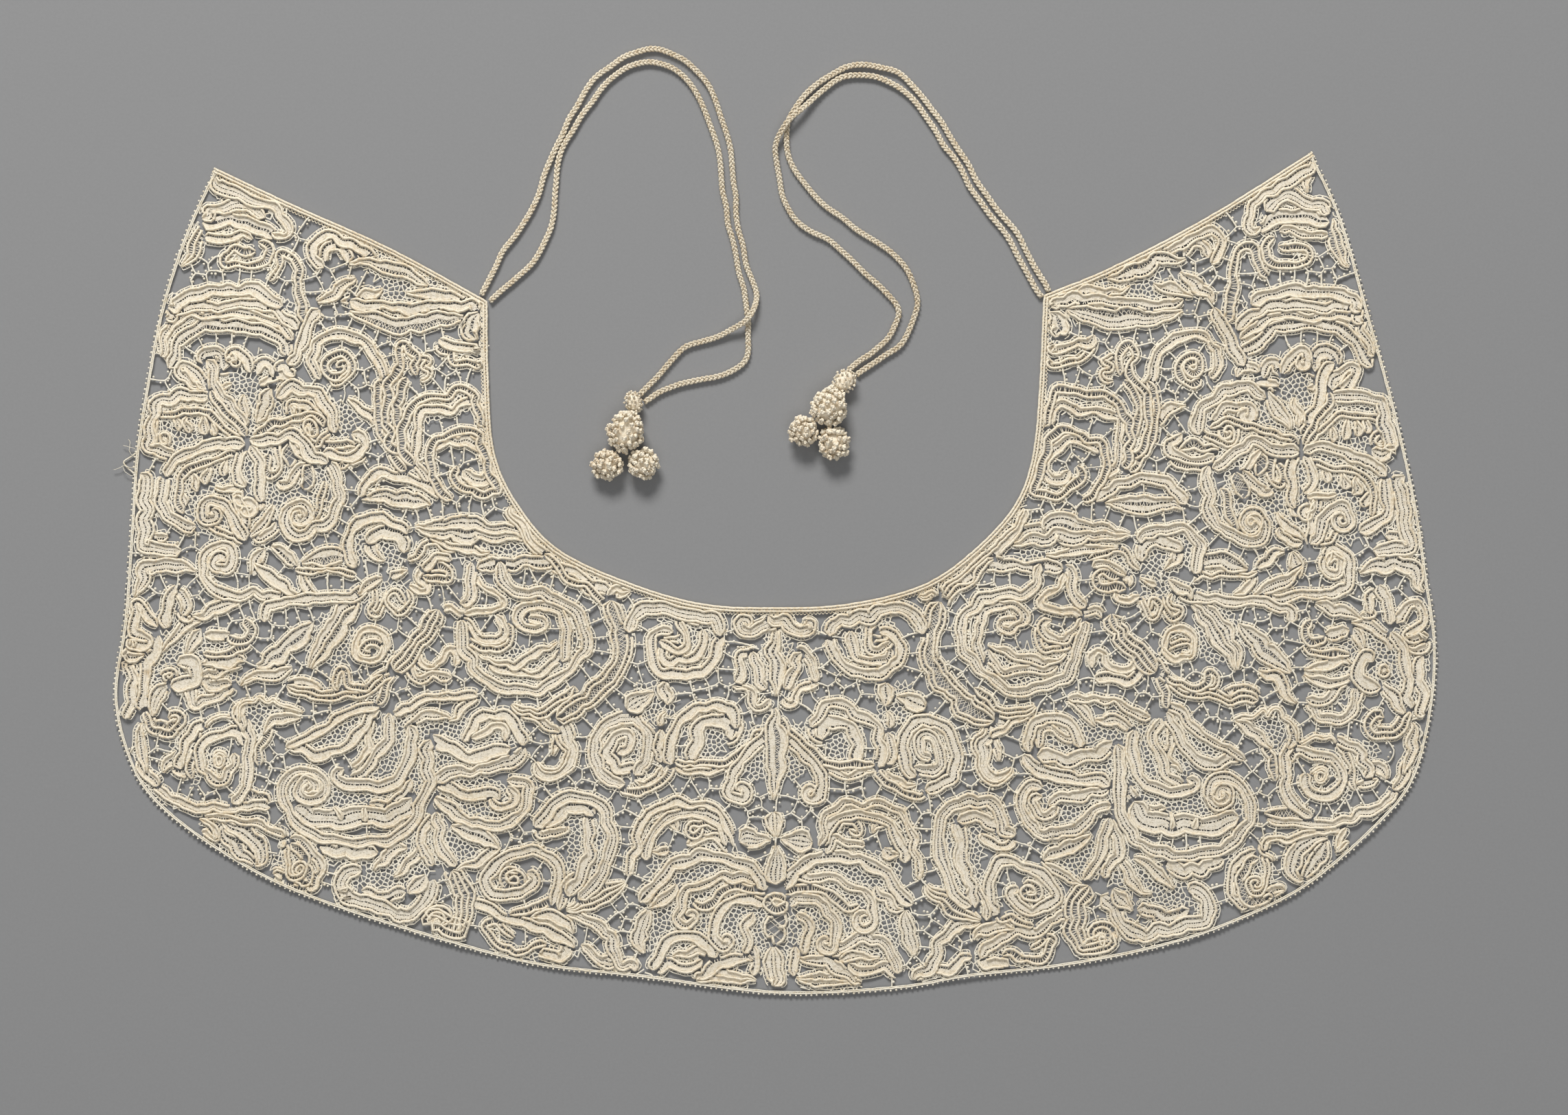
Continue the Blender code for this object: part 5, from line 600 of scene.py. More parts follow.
# %% Chart: the hem scrolls
COMMA = (
    ("COTC", 5.6, ((80, -139), (71, -125), (68, -113), (70, -101), (76.5, -95.4), (85, -95.4),
        (92, -100), (98.5, -109))),
    ("CTC", 4.4, ((98.5, -110), (95, -113), (89, -111.6), (86, -108, 70))),
    ("CTTC", 5.6, ((75, -102), (83, -100.4), (89.5, -103), (95.5, -109))),
    ("CTTC even 2", 5.8, ((84, -138), (78.4, -124), (77, -113), (77, -103))),
    ("CTC taper 0", 4.6, ((87.5, -144), (85.5, -135), (82, -127))),
    ("COTOC", 5.2, ((91, -142), (87.5, -131), (90.5, -122.5), (98, -120), (105, -122.5),
        (112, -125.5), (116, -132), (112.5, -138), (103, -138.6), (97, -134), (99.5, -129, 35))),
    ("COC", 3.8, (), (105.6, -132.4, 4.6, 1.2, 130, -520)),
    ("COCOCOC leaf 0", 8.8, ((62, -129.5), (72, -136.5), (85, -144))),
    ("COC", 3.8, ((88, -139), (95, -142.5), (107, -146))),
    ("COTC", 5.2, ((85, -144.5), (74, -147), (67.5, -153), (66.5, -160), (57.5, -169))),
    ("CTTC leaf 0", 5.4, ((82, -152), (88, -147.5), (99, -147.6))),
    ("COTC", 4.6, ((84, -159), (88, -154.6), (98, -150.6), (109, -148.6), (117, -143.5),
        (125, -137.5), (131.5, -129))),
    ("COC", 3.8, ((106.5, -156.5, 60), (111, -152, 60), (115, -150.6, -20), (114.5, -156),
        (108, -161), (100, -159, 150), (94, -158.5))),
    ("CTTC even 2", 5.4, ((86, -156), (88, -162.5, -45), (97, -162, 30))),
    ("CTOC", 5, ((58, -170), (67, -168), (74, -161.5), (80.5, -157.5))),
)

# %% The whole chart, and where the fillings are net
CHART = (CENTRE_FRONT, HEART, PALMETTE, STEM, NECK_ROUND, NECK_SCROLL, FRONT_LEAVES, TIP, PEONY,
         SMALL_FLOWER, ROSETTE, LOWER_SPRAY, SHELL, COMMA)
NET_PATCHES = (
    # x, y, half x, half y, turn
    (0, -34, 7, 12, 0), (30, -124, 24, 11, 0), (42, -28, 11, 12, 0), (28, -66, 10, 11, 0),
    (61, -76, 11, 11, 0), (102, -38, 19, 9, 0), (121, 10, 22, 7, 0), (128, 68, 14, 5, -15),
    (140, 112, 27, 9, 4), (150, 127, 20, 8, 25), (216, 148, 16, 6, -10), (218, 110, 26, 6, -5),
    (205, 84, 14, 8, 5), (226, 84, 9, 9, 0), (213, 60, 44, 19, 6), (222, 32, 38, 20, -8),
    (161, 8, 12, 9, 0), (160, -11, 11, 8, 0), (143, 4, 8, 6, 0), (249, -35, 22, 14, -10),
    (230, -42, 10, 14, 0), (150, -78, 24, 16, -30), (168, -97, 26, 12, 0), (118, -72, 14, 13, 0),
    (120, -97, 18, 11, 15), (128, -119, 16, 9, 0), (158, -125, 22, 9, 0), (163, -140, 13, 7, 0),
    (79, -115, 8, 16, 0), (105, -133, 6, 6, 0), (92, -160, 14, 5, 0), (28, -142, 30, 24, 0),
    (184, -27, 12, 12, -40), (205, -67, 7, 8, -40), (246, -74, 5, 7, -30), (205, -73, 6, 6, 0),
    (174, -70, 11, 7, -35), (155, -76, 5, 14, 0), (197, -127, 12, 14, 0), (236, -84, 5, 12, 10),
    (0, -150, 12, 18, 0), (7, -74, 8, 13, 0), (51, -53, 11, 9, 0),
)
print("charted rows", sum(len(table) for table in CHART))

# %% [markdown]
# ## The left half
# Lace stretches, so the left half is not an exact mirror. This table says, for some places of the
# mirrored half, how far the lace there has moved. Each point moves by the weighted mean of the
# shifts around it.

# %% How the left half lies
LIE_REACH = 24.0
LEFT_LIE = (
    # x, y, shift x, shift y
    (-222, 172, -11, -5), (-235, 148, -7, 0), (-246, 110, -8, 0), (-258, 66, -4, 0),
    (-266, 30, 0, 0), (-270, 0, 1, 0), (-274, -30, 0, -4), (-272, -58, 0, 0), (-265, -86, 2, 0),
    (-250, -105, 0, 3), (-221, -130, 3, 5), (-190, -145, 0, 8), (-160, -155, 0, 8),
    (-120, -163, 0, 5), (-80, -168, 0, 2.5), (-40, -170, 0, 1), (0, -170, 0, 0), (0, -120, 0, 0),
    (0, -60, 0, 0), (0, -20, 0, 0), (-40, -10, 0, 1), (-43, -26, 1.5, 0), (-60, -5, -1, 1),
    (-80, 8, -7, 1), (-98, 27, -8, 1), (-106, 47, -9, 0), (-109, 75, -9, 0), (-112, 114, -7, -2),
    (-140, 127, -6, -2), (-180, 148, -7, -2), (-172, 86, -9, 0), (-123, 44, -6, 0),
    (-102, -26, -2, 0), (-61, -75, -1, 1), (-60, -120, 0, 1), (-184, -92, -9, 3),
    (-231, 4, 2, 1), (-226, -85, -7, 9), (-218, 48, -1, 4), (-160, 8, -2, 4), (-91, -95, 0, 3),
    (-105, -133, -4, 6), (-131, -150, -9, 5), (-140, -80, -3, 2), (-180, -20, 0, 0),
    (-215, 90, -6, 0), (-150, 60, -7, 1),
)

# %% [markdown]
# ## From marks to lines
# A mark is a place and a heading, as when a pencil passes through it. Between two marks runs a
# cubic curve whose pull at each end grows with the turn, so that a half circle comes out round.
# Curls are spirals. The lines are then walked at even steps, and each gets a half width along its
# way: a leaf swells in its middle, a petal near its end, a tape hardly at all.

# %% Legs and curls
MOST_PULL = 1.1
LEG_FINENESS = 1.25
CURL_EASE = 0.9


def turned(angle):
    """An angle brought into -180 to 180 degrees, in radians."""
    return (math.radians(angle) + math.pi) % (2 * math.pi) - math.pi


def leg(a, b, step):
    """Points on a smooth leg between two marks, each with its heading."""
    p0, p3 = np.array(a[:2], float), np.array(b[:2], float)
    chord = math.hypot(*(p3 - p0))
    course = math.degrees(math.atan2(*(p3 - p0)[::-1]))
    pulls = []
    for heading in (a[2], b[2]):
        pull = min(chord / (3 * math.cos(turned(heading - course) / 2) ** 2), MOST_PULL * chord)
        way = math.radians(heading)
        pulls.append(pull * np.array([math.cos(way), math.sin(way)]))
    p1, p2 = p0 + pulls[0], p3 - pulls[1]
    t = np.linspace(0, 1, max(3, int(chord * LEG_FINENESS / step) + 1))[:, None]
    return (1 - t) ** 3 * p0 + 3 * (1 - t) ** 2 * t * p1 + 3 * (1 - t) * t ** 2 * p2 + t ** 3 * p3


def curl_points(curl, step):
    """Points on a curl from its outer end to its eye."""
    cx, cy, r0, r1, start, swing = curl
    long = math.radians(abs(swing)) * (r0 + r1) / 2
    t = np.linspace(0, 1, max(12, int(long / step) + 1))
    angle = np.radians(start + swing * t)
    radius = r0 + (r1 - r0) * t ** CURL_EASE
    return np.stack([cx + radius * np.cos(angle), cy + radius * np.sin(angle)], 1)

# %% Whole ways through marks
SPLINE_STEPS = 24


def run_length(points):
    """How far along a line each of its points lies."""
    return np.r_[0, np.cumsum(np.linalg.norm(np.diff(points, axis=0), axis=1))]


def evenly(points, step):
    """The same line with its points a step apart."""
    along = run_length(points)
    count = max(2, int(round(along[-1] / step)) + 1)
    at = np.linspace(0, along[-1], count)
    return np.stack([np.interp(at, along, column) for column in points.T], 1)


def headed(way):
    """Marks with a heading each: one without follows its neighbours, or bends on at an end."""
    spots = [mark[:2] for mark in way]
    lines = [math.degrees(math.atan2(b[1] - a[1], b[0] - a[0])) for a, b in zip(spots, spots[1:])]
    turns = [mark[2] if len(mark) == 3 else None for mark in way]
    for k in range(1, len(way) - 1):
        if turns[k] is None:
            (ax, ay), (bx, by) = spots[k - 1], spots[k + 1]
            turns[k] = math.degrees(math.atan2(by - ay, bx - ax))
    for end, near, line in ((0, 1, 0), (-1, -2, -1)):
        if way and turns[end] is None:
            bend = 0.0 if turns[near] is None else lines[line] - turns[near]
            turns[end] = lines[line] + (bend + 180) % 360 - 180
    return [(*spot, turn) for spot, turn in zip(spots, turns)]


def way_points(way, curl, step):
    """The whole way of one row, evenly spaced."""
    way = headed(way)
    runs = [leg(a, b, step) for a, b in zip(way[:-1], way[1:])]
    if curl:
        tail = curl_points(curl, step)
        if way:
            heading = curl[4] + (90 if curl[5] > 0 else -90)
            runs.append(leg(way[-1], (tail[0][0], tail[0][1], heading), step))
        runs.append(tail)
    points = np.concatenate(runs)
    keep = np.r_[True, np.hypot(*np.diff(points, axis=0).T) > 1e-4]
    return evenly(points[keep], step)


def through(marks, step):
    """A smooth line through marks, evenly spaced."""
    p = np.array(marks, float)
    ends = np.concatenate([[2 * p[0] - p[1]], p, [2 * p[-1] - p[-2]]])
    runs = []
    for a, b, c, d in zip(ends[:-3], ends[1:-2], ends[2:-1], ends[3:]):
        t = np.linspace(0, 1, SPLINE_STEPS, endpoint=False)[:, None]
        runs.append(0.5 * (2 * b + (c - a) * t + (2 * a - 5 * b + 4 * c - d) * t ** 2
                           + (3 * b - a - 3 * c + d) * t ** 3))
    runs.append(p[-1:])
    return evenly(np.concatenate(runs), step)


print("points on the first way", len(way_points(CENTRE_FRONT[0][2], None, 1.0)))

# %% Widths
END_ROUNDING = 0.45
LOBE_DEPTH = 0.16
LEAST_HALF = 0.5


def half_widths(form, wide, lobes, count, step):
    """Half width along one row's way: a leaf has thin tips, a petal and a taper one thin end."""
    t = np.linspace(0, 1, count)
    ends = np.clip(np.minimum(t, 1 - t) * count * step / (END_ROUNDING * wide), 0, 1)
    rounded = np.sqrt(1 - (1 - ends) ** 2)
    if form == "leaf":
        shape = 0.16 + 0.84 * np.sin(math.pi * t ** 0.9) ** 0.75
    elif form == "petal":
        shape = (0.3 + 0.7 * np.clip(t / 0.7, 0, 1) ** 0.8) * rounded
    elif form == "taper":
        shape = (1.0 - 0.42 * t) * rounded
    else:
        shape = rounded
    dips = 1 - np.abs(np.sin(math.pi * lobes * t))
    wave = 1.0 - LOBE_DEPTH * dips ** 2 if lobes else 1.0
    return np.clip(0.5 * wide * shape * wave, LEAST_HALF, None)

# %% Where each line lies
EDGE_CLEAR = 2.9
FARTHEST_IN = 14.0


def left_lie(points):
    """Mirrored points, moved to how the left half lies."""
    flipped = points * np.array([-1.0, 1.0])
    lie = np.array(LEFT_LIE, float)
    off = flipped[:, None, :] - lie[None, :, :2]
    weight = np.exp(-(off ** 2).sum(2) / LIE_REACH ** 2) + 1e-9
    return flipped + weight @ lie[:, 2:] / weight.sum(1)[:, None]


def outline(step):
    """The whole edge as a closed ring, clockwise from the right tip, and where its corners are."""
    runs = [through(OUTER_EDGE, step), through(LEFT_FRONT, step), through(NECK, step),
            through(RIGHT_FRONT, step)]
    corners = np.cumsum([0] + [len(r) - 1 for r in runs])
    return np.concatenate([r[:-1] for r in runs]), corners[:-1]


def right_of(course):
    """Flat vectors turned a quarter to the right: inward, on a clockwise edge."""
    return np.stack([course[:, 1], -course[:, 0]], 1)


def held_inside(points, halves, edge):
    """Points moved in where a tape would cross the edge, so that it runs along the edge."""
    course = np.roll(edge, -1, axis=0) - np.roll(edge, 1, axis=0)
    course /= np.hypot(*course.T)[:, None]
    inward = right_of(course)
    near = np.argmin(((points[:, None, :] - edge[None, :, :]) ** 2).sum(2), axis=1)
    depth = ((points - edge[near]) * inward[near]).sum(1)
    short = np.clip(halves + EDGE_CLEAR - depth, 0, FARTHEST_IN)
    return points + inward[near] * short[:, None]


def pattern_rows(step):
    """Every tape and leaf of both halves: section, points, half widths."""
    rows = []
    edge = outline(2.0)[0]
    for table in CHART:
        for kind, wide, way, *curls in table:
            section, form, lobes = (kind + " even 0").split()[:3]
            curl = curls[0] if curls else None
            points = way_points(way, curl, step)
            halves = half_widths(form, wide, int(lobes), len(points), step)
            on_axis = np.abs(points[:, 0]).max() < 0.01 or (curl and not way and curl[0] == 0)
            sides = [points] if on_axis else [points, left_lie(points)]
            for side in sides:
                rows.append((section, held_inside(side, halves, edge), halves))
    return rows


plain_rows = pattern_rows(1.0)
print("tapes and leaves", len(plain_rows))

# %% [markdown]
# ## Which tape lies where
# Where two tapes cross on the chart, only the upper one is woven, and the lower one stops at its
# edge. A fine grid over the collar answers that: each cell keeps the number of the first tape that
# covers it. The cells that no tape covers are the ground. Where the ground is wide it gets bars.
# Elsewhere, and in the chart's patches of net, it gets net.

# %% The working grid
GRID = 0.5
GRID_BOX = (-284.0, -184.0, 284.0, 184.0)
SHARPEST = 0.38


def inset(ring, by):
    """A closed clockwise ring moved inward, square to its sides."""
    before = ring - np.roll(ring, 1, axis=0)
    after = np.roll(ring, -1, axis=0) - ring
    before /= np.hypot(*before.T)[:, None]
    after /= np.hypot(*after.T)[:, None]
    after_in = right_of(after)
    lean = right_of(before) + after_in
    lean /= np.hypot(*lean.T)[:, None]
    slope = np.clip((lean * after_in).sum(1), SHARPEST, 1)
    return ring + lean * (by / slope)[:, None]


def inside(ring, points):
    """Which points lie inside a closed ring."""
    x, y = points[:, 0], points[:, 1]
    found = np.zeros(len(points), bool)
    for (ax, ay), (bx, by) in zip(ring, np.roll(ring, -1, axis=0)):
        crosses = (ay > y) != (by > y)
        if crosses.any():
            at = ax + (y - ay) * (bx - ax) / (by - ay + 1e-12)
            found ^= crosses & (x < at)
    return found


def window(field, x, y, reach):
    """The part of a grid around a place, and its cells' x and y."""
    i0 = max(0, int((x - reach - GRID_BOX[0]) / GRID))
    j0 = max(0, int((y - reach - GRID_BOX[1]) / GRID))
    i1 = min(field.shape[1], int((x + reach - GRID_BOX[0]) / GRID) + 2)
    j1 = min(field.shape[0], int((y + reach - GRID_BOX[1]) / GRID) + 2)
    xs = GRID_BOX[0] + np.arange(i0, i1) * GRID
    ys = GRID_BOX[1] + np.arange(j0, j1) * GRID
    return (slice(j0, j1), slice(i0, i1)), xs[None, :], ys[:, None]


def at_grid(field, points):
    """The grid's values at points."""
    i = np.clip(((points[:, 0] - GRID_BOX[0]) / GRID + 0.5).astype(int), 0, field.shape[1] - 1)
    j = np.clip(((points[:, 1] - GRID_BOX[1]) / GRID + 0.5).astype(int), 0, field.shape[0] - 1)
    return field[j, i]


def grown(mask, by):
    """A mask widened by a distance."""
    wide = mask.copy()
    reach = int(math.ceil(by / GRID))
    for j in range(-reach, reach + 1):
        for i in range(-reach, reach + 1):
            if i * i + j * j <= (by / GRID) ** 2 + 0.01:
                wide |= np.roll(np.roll(mask, j, axis=0), i, axis=1)
    return wide


def opened(mask, by):
    """A mask without its stretches narrower than twice the distance."""
    return grown(~grown(~mask, by), by) & mask


grid_x, grid_y = np.meshgrid(np.arange(GRID_BOX[0], GRID_BOX[2], GRID),
                             np.arange(GRID_BOX[1], GRID_BOX[3], GRID))
print("grid cells", grid_x.shape)

# %% The owner of each cell
def owners(rows):
    """For each cell the number of the first row that covers it, or -1."""
    found = np.full(grid_x.shape, -1)
    for number, (_, points, halves) in enumerate(rows):
        for (px, py), half in zip(points, halves):
            part, xs, ys = window(found, px, py, half)
            near = (xs - px) ** 2 + (ys - py) ** 2 <= half * half
            found[part][near & (found[part] < 0)] = number
    return found


covered = owners(plain_rows) >= 0
print("woven, square millimetres", round(covered.sum() * GRID * GRID))

# %% Open ground and net
WORKED_IN = 1.5
AIRY_IN = 2.2
GROUND_IN = 4.2


def net_field():
    """Where the filling is net by the chart."""
    field = np.zeros(grid_x.shape, bool)
    for x, y, half_x, half_y, turn in NET_PATCHES:
        c, s = math.cos(math.radians(turn)), math.sin(math.radians(turn))
        for side in (1, -1):
            place = np.array([[x, y]], float)
            mx, my = (place if side > 0 else left_lie(place))[0]
            u = ((grid_x - mx) * c + (grid_y - my) * s * side) / half_x
            v = (-(grid_x - mx) * s * side + (grid_y - my) * c) / half_y
            field |= u * u + v * v <= 1
    return field


def within_edge(by):
    """Which cells lie farther in from the edge than a distance."""
    return inside(inset(outline(7.5)[0], by), cell_spots).reshape(grid_x.shape)


cell_spots = np.stack([grid_x.ravel(), grid_y.ravel()], 1)
worked = within_edge(WORKED_IN)
by_chart = net_field()
ground = opened(within_edge(GROUND_IN) & ~grown(covered, 0.5) & ~by_chart, 1.3)
print("open ground", round(ground.sum() * GRID ** 2))

# %% [markdown]
# ## Thread
# Old cotton lace is warm white, paler where it is worn and browner in its folds, and each cord
# shows the turns of the thread that is wound over it. One node group gives the colour of spun
# thread with its stains, and another gives the height of its windings along the thread and the
# grooves between them, where a darker colour is painted in as shade. The windings follow the
# piece's own map: how far along the thread, and how far round it.

# %% Colour of old cotton
PALE = (0.95, 0.85, 0.665, 1.0)
AGED = (0.81, 0.67, 0.46, 1.0)
STAIN = (0.55, 0.40, 0.22, 1.0)
STAINS = (
    # x, y, reach, in metres: the few brown marks that the collar has
    (-0.2135, 0.0050, 0.0020), (-0.2710, -0.0380, 0.0045), (-0.2605, -0.0410, 0.0030),
    (-0.0003, -0.1130, 0.0022), (-0.1961, 0.0359, 0.0020), (-0.1200, 0.1160, 0.0020),
)


def group_with(name, inputs, outputs):
    """An empty node group with named sockets: name, kind and, for an input, value."""
    made = bpy.data.node_groups.new(name, "ShaderNodeTree")
    for label, kind, value in inputs:
        made.interface.new_socket(label, in_out="INPUT", socket_type=kind).default_value = value
    for label, kind in outputs:
        made.interface.new_socket(label, in_out="OUTPUT", socket_type=kind)
    return made, made.nodes.new("NodeGroupInput").outputs, made.nodes.new("NodeGroupOutput").inputs


cotton, cotton_in, cotton_out = group_with(
    "old_cotton",
    (("Pale", "NodeSocketColor", PALE), ("Aged", "NodeSocketColor", AGED),
     ("Stain", "NodeSocketColor", STAIN)),
    (("Colour", "NodeSocketColor"),))
broad = eased(cotton, noise(cotton, 26.0, 3.0), 0.36, 0.68)
streaks = eased(cotton, noise(cotton, 700.0, 2.0), 0.42, 0.72)
freckles = eased(cotton, noise(cotton, 95.0, 4.0), 0.66, 0.80)
age = eased(cotton, maths(cotton, "MULTIPLY_ADD", broad, 0.55, streaks), 0.15, 1.45)
tone = mixed(cotton, age, cotton_in["Pale"], cotton_in["Aged"])
tone = mixed(cotton, maths(cotton, "MULTIPLY", freckles, 0.35), tone, cotton_in["Stain"])
for x, y, reach in STAINS:
    far = cotton.nodes.new("ShaderNodeVectorMath")
    far.operation = "DISTANCE"
    cotton.links.new(object_place(cotton), far.inputs[0])
    far.inputs[1].default_value = (x, y, 0.001)
    near = eased(cotton, far.outputs["Value"], reach, -0.5 * reach)
    tone = mixed(cotton, near, tone, cotton_in["Stain"])
cotton.links.new(tone, cotton_out["Colour"])
print("group", cotton.name, len(cotton.nodes), "nodes")

# %% Height of the windings, and the grooves where shade is painted
winding, winding_in, winding_out = group_with(
    "winding", (("Turns", "NodeSocketFloat", 1.1), ("Slant", "NodeSocketFloat", 1.0)),
    (("Height", "NodeSocketFloat"), ("Groove_shade", "NodeSocketFloat")))
thread_map = winding.nodes.new("ShaderNodeUVMap")
thread_map.uv_map = "thread"
parts = winding.nodes.new("ShaderNodeSeparateXYZ")
winding.links.new(thread_map.outputs["UV"], parts.inputs["Vector"])
phase = maths(winding, "MULTIPLY", parts.outputs["X"], winding_in["Turns"])
lean = maths(winding, "MULTIPLY_ADD", parts.outputs["Y"], winding_in["Slant"], phase)
drift = maths(winding, "MULTIPLY_ADD", noise(winding, 500.0, 2.0), 0.5, lean)
ripple = maths(winding, "SINE", maths(winding, "MULTIPLY", drift, 2 * math.pi))
winding.links.new(eased(winding, ripple, -1.0, 1.0), winding_out["Height"])
# The groove mask says where the thread materials paint shade into the colour, between the windings.
winding.links.new(eased(winding, ripple, -0.35, -1.0), winding_out["Groove_shade"])
print("group", winding.name, len(winding.nodes), "nodes")

# %% Thread materials
# How dark the painted groove shade is, as a share of the aged colour.
GROOVE_SHADE_DARK = 0.55
LOOKS = {
    # name: pale, aged, turns to the millimetre, bump, how strong the shade painted in its grooves
    # is
    "wound_cord": (PALE, AGED, 0.55, 0.35, 0.16),
    "fine_thread": ((0.935, 0.865, 0.715, 1.0), (0.80, 0.705, 0.53, 1.0), 1.4, 0.2, 0.10),
    "plaited_thread": ((0.90, 0.80, 0.62, 1.0), (0.72, 0.58, 0.39, 1.0), 1.6, 0.8, 0.35),
    "knotted_thread": ((0.94, 0.85, 0.68, 1.0), (0.74, 0.60, 0.42, 1.0), 4.0, 0.4, 0.15),
}


def grouped(tree, group, **values):
    """A node group at work with its values: what it puts out."""
    made = tree.nodes.new("ShaderNodeGroup")
    made.node_tree = group
    for label, value in values.items():
        made.inputs[label].default_value = value
    return made.outputs


def relief(tree, shader, height, strength, deep):
    """A height turned into bumps on a shader."""
    made = tree.nodes.new("ShaderNodeBump")
    made.inputs["Strength"].default_value = strength
    made.inputs["Distance"].default_value = deep
    tree.links.new(height, made.inputs["Height"])
    tree.links.new(made.outputs["Normal"], shader.inputs["Normal"])


def thread_look(name, pale, aged, turns, bump, groove_shade_depth):
    """Spun cotton whose windings follow the piece's thread map, with shade painted into their
    grooves.
    """
    made, tree, shader = matt(name, 0.82, 0.22)
    shader.inputs["Sheen Weight"].default_value = 0.12
    shader.inputs["Sheen Roughness"].default_value = 0.6
    colour = grouped(tree, cotton, Pale=pale, Aged=aged)["Colour"]
    wound = grouped(tree, winding, Turns=turns)
    # Painted shade: the grooves between the windings are darkened in the base colour.
    shade = maths(tree, "MULTIPLY", wound["Groove_shade"], groove_shade_depth)
    dark = tuple(GROOVE_SHADE_DARK * v for v in aged[:3]) + (1.0,)
    tree.links.new(mixed(tree, shade, colour, dark), shader.inputs["Base Color"])
    relief(tree, shader, wound["Height"], bump, 0.0002)
    return made


cord_look, fine_look, plait_look, knot_look = (
    thread_look(name, *values) for name, values in LOOKS.items())
print("thread looks", list(LOOKS))

# %% [markdown]
# The woven cloth of the tapes is linen-like plain weave: threads over and under each other about
# two to the millimetre, with specks where they part, coloured dark brown as painted shade in the
# gaps. Two sets of ripples across each other give the weave, and a fine noise opens and closes it.

# %% Woven cloth
CLOTH_PALE = (0.925, 0.845, 0.70, 1.0)
CLOTH_AGED = (0.80, 0.70, 0.535, 1.0)
# Painted shade: the dark brown that is put where the weave's threads part.
CLOTH_GAP_SHADE = (0.44, 0.37, 0.25, 1.0)


def cloth_look():
    """Plain weave on the thread map: along the tape and across it, in millimetres."""
    made, tree, shader = matt("woven_cloth", 0.88, 0.15)
    colour = grouped(tree, cotton, Pale=CLOTH_PALE, Aged=CLOTH_AGED)["Colour"]
    weft = grouped(tree, winding, Turns=2.1, Slant=0.0)
    warp = grouped(tree, winding, Turns=0.0, Slant=2.3)
    crossed = maths(tree, "MULTIPLY", weft["Groove_shade"], warp["Groove_shade"])
    specks = eased(tree, noise(tree, 1100.0, 1.0), 0.5, 0.70)
    # Painted shade at the gaps of the weave and at random specks.
    gap_shade = maths(tree, "MULTIPLY_ADD", specks, 0.42, crossed, clamp=True)
    tree.links.new(mixed(tree, gap_shade, colour, CLOTH_GAP_SHADE), shader.inputs["Base Color"])
    relief(tree, shader, maths(tree, "MAXIMUM", weft["Height"], warp["Height"]), 0.5, 0.00015)
    return made


weave_look = cloth_look()
print("cloth look", weave_look.name)

# %% [markdown]
# ## Making threads as meshes
# A round thread is a ring of corners carried along its line, and thins out at both ends. A strip of
# cloth is a ladder between two lines. A short straight thread of the net is a single narrow
# strip, because thousands of them are needed. A basket collects the corners and faces of many
# threads, and makes one piece of them, with its thread map: millimetres along, and round.

# %% Baskets of thread
class Basket:
    """Corners, faces and map places of many threads, gathered into one piece."""

    def __init__(self):
        self.corners, self.faces, self.places, self.count = [], [], [], 0

    def add(self, corners, faces, places):
        self.corners.append(corners)
        self.faces.append(faces + self.count)
        self.places.append(places.reshape(-1, 2))
        self.count += len(corners)

    def piece(self, name, look, smooth=True):
        """The gathered threads as one object that rides on the frame."""
        corners = np.concatenate(self.corners) * MM
        faces = [face for block in self.faces for face in block.tolist()]
        mesh = bpy.data.meshes.new(name)
        mesh.from_pydata(corners.tolist(), [], faces)
        layer = mesh.uv_layers.new(name="thread")
        layer.data.foreach_set("uv", np.concatenate(self.places).ravel())
        mesh.polygons.foreach_set("use_smooth", np.full(len(faces), smooth))
        mesh.materials.append(look)
        made = bpy.data.objects.new(name, mesh)
        bpy.context.scene.collection.objects.link(made)
        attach(made, "root")
        print(name, sum(len(face) - 2 for face in faces), "triangles")
        return made

# %% Tubes, strips and bars
END_THIN = 0.25


def unit(vectors):
    """Vectors made one long."""
    return vectors / np.maximum(np.linalg.norm(vectors, axis=-1, keepdims=True), 1e-9)


def course_and_left(points):
    """Unit vectors along a flat line, and to the left of it, at each of its points."""
    course = unit(np.gradient(points, axis=0))
    return course, -right_of(course)


def from_to(values):
    """For each step of a line its value at the start, the end, the end and the start."""
    return np.stack([values[:-1], values[1:], values[1:], values[:-1]], -1)


def tube(points, radius, sides, pinch=True):
    """Corners, faces and map places of a round thread along points."""
    n = len(points)
    course = unit(np.gradient(points, axis=0))
    side = unit(np.cross(course, (0.0, 0.0, 1.0)))
    rise = np.cross(side, course)
    thick = np.full(n, radius, float) if np.isscalar(radius) else np.array(radius, float)
    if pinch:
        thick[[0, -1]] *= END_THIN
    angle = 2 * math.pi * (np.arange(sides) + 0.5) / sides
    ring_at = (np.cos(angle)[None, :, None] * side[:, None, :]
               + np.sin(angle)[None, :, None] * rise[:, None, :])
    corners = points[:, None, :] + ring_at * thick[:, None, None]
    k = np.arange(n - 1)[:, None] * sides
    s = np.arange(sides)[None, :]
    t = (s + 1) % sides
    faces = np.stack([k + s, k + s + sides, k + t + sides, k + t], -1).reshape(-1, 4)
    u = from_to(run_length(points))[:, None, :]
    v = np.stack([s, s, s + 1, s + 1], -1) / sides
    u, v = np.broadcast_arrays(u, v)
    return corners.reshape(-1, 3), faces, np.stack([u, v], -1).reshape(-1, 4, 2)


def strip(right, left):
    """A ladder of faces between two lines, seen from above."""
    n = len(right)
    corners = np.concatenate([right, left])
    k = np.arange(n - 1)
    faces = np.stack([k, k + 1, k + 1 + n, k + n], -1)
    wide = np.linalg.norm(left - right, axis=1)
    u = from_to(run_length(0.5 * (right + left)))
    v = np.stack([-wide[:-1], -wide[1:], wide[1:], wide[:-1]], -1) / 2
    return corners, faces, np.stack([u, v], -1)


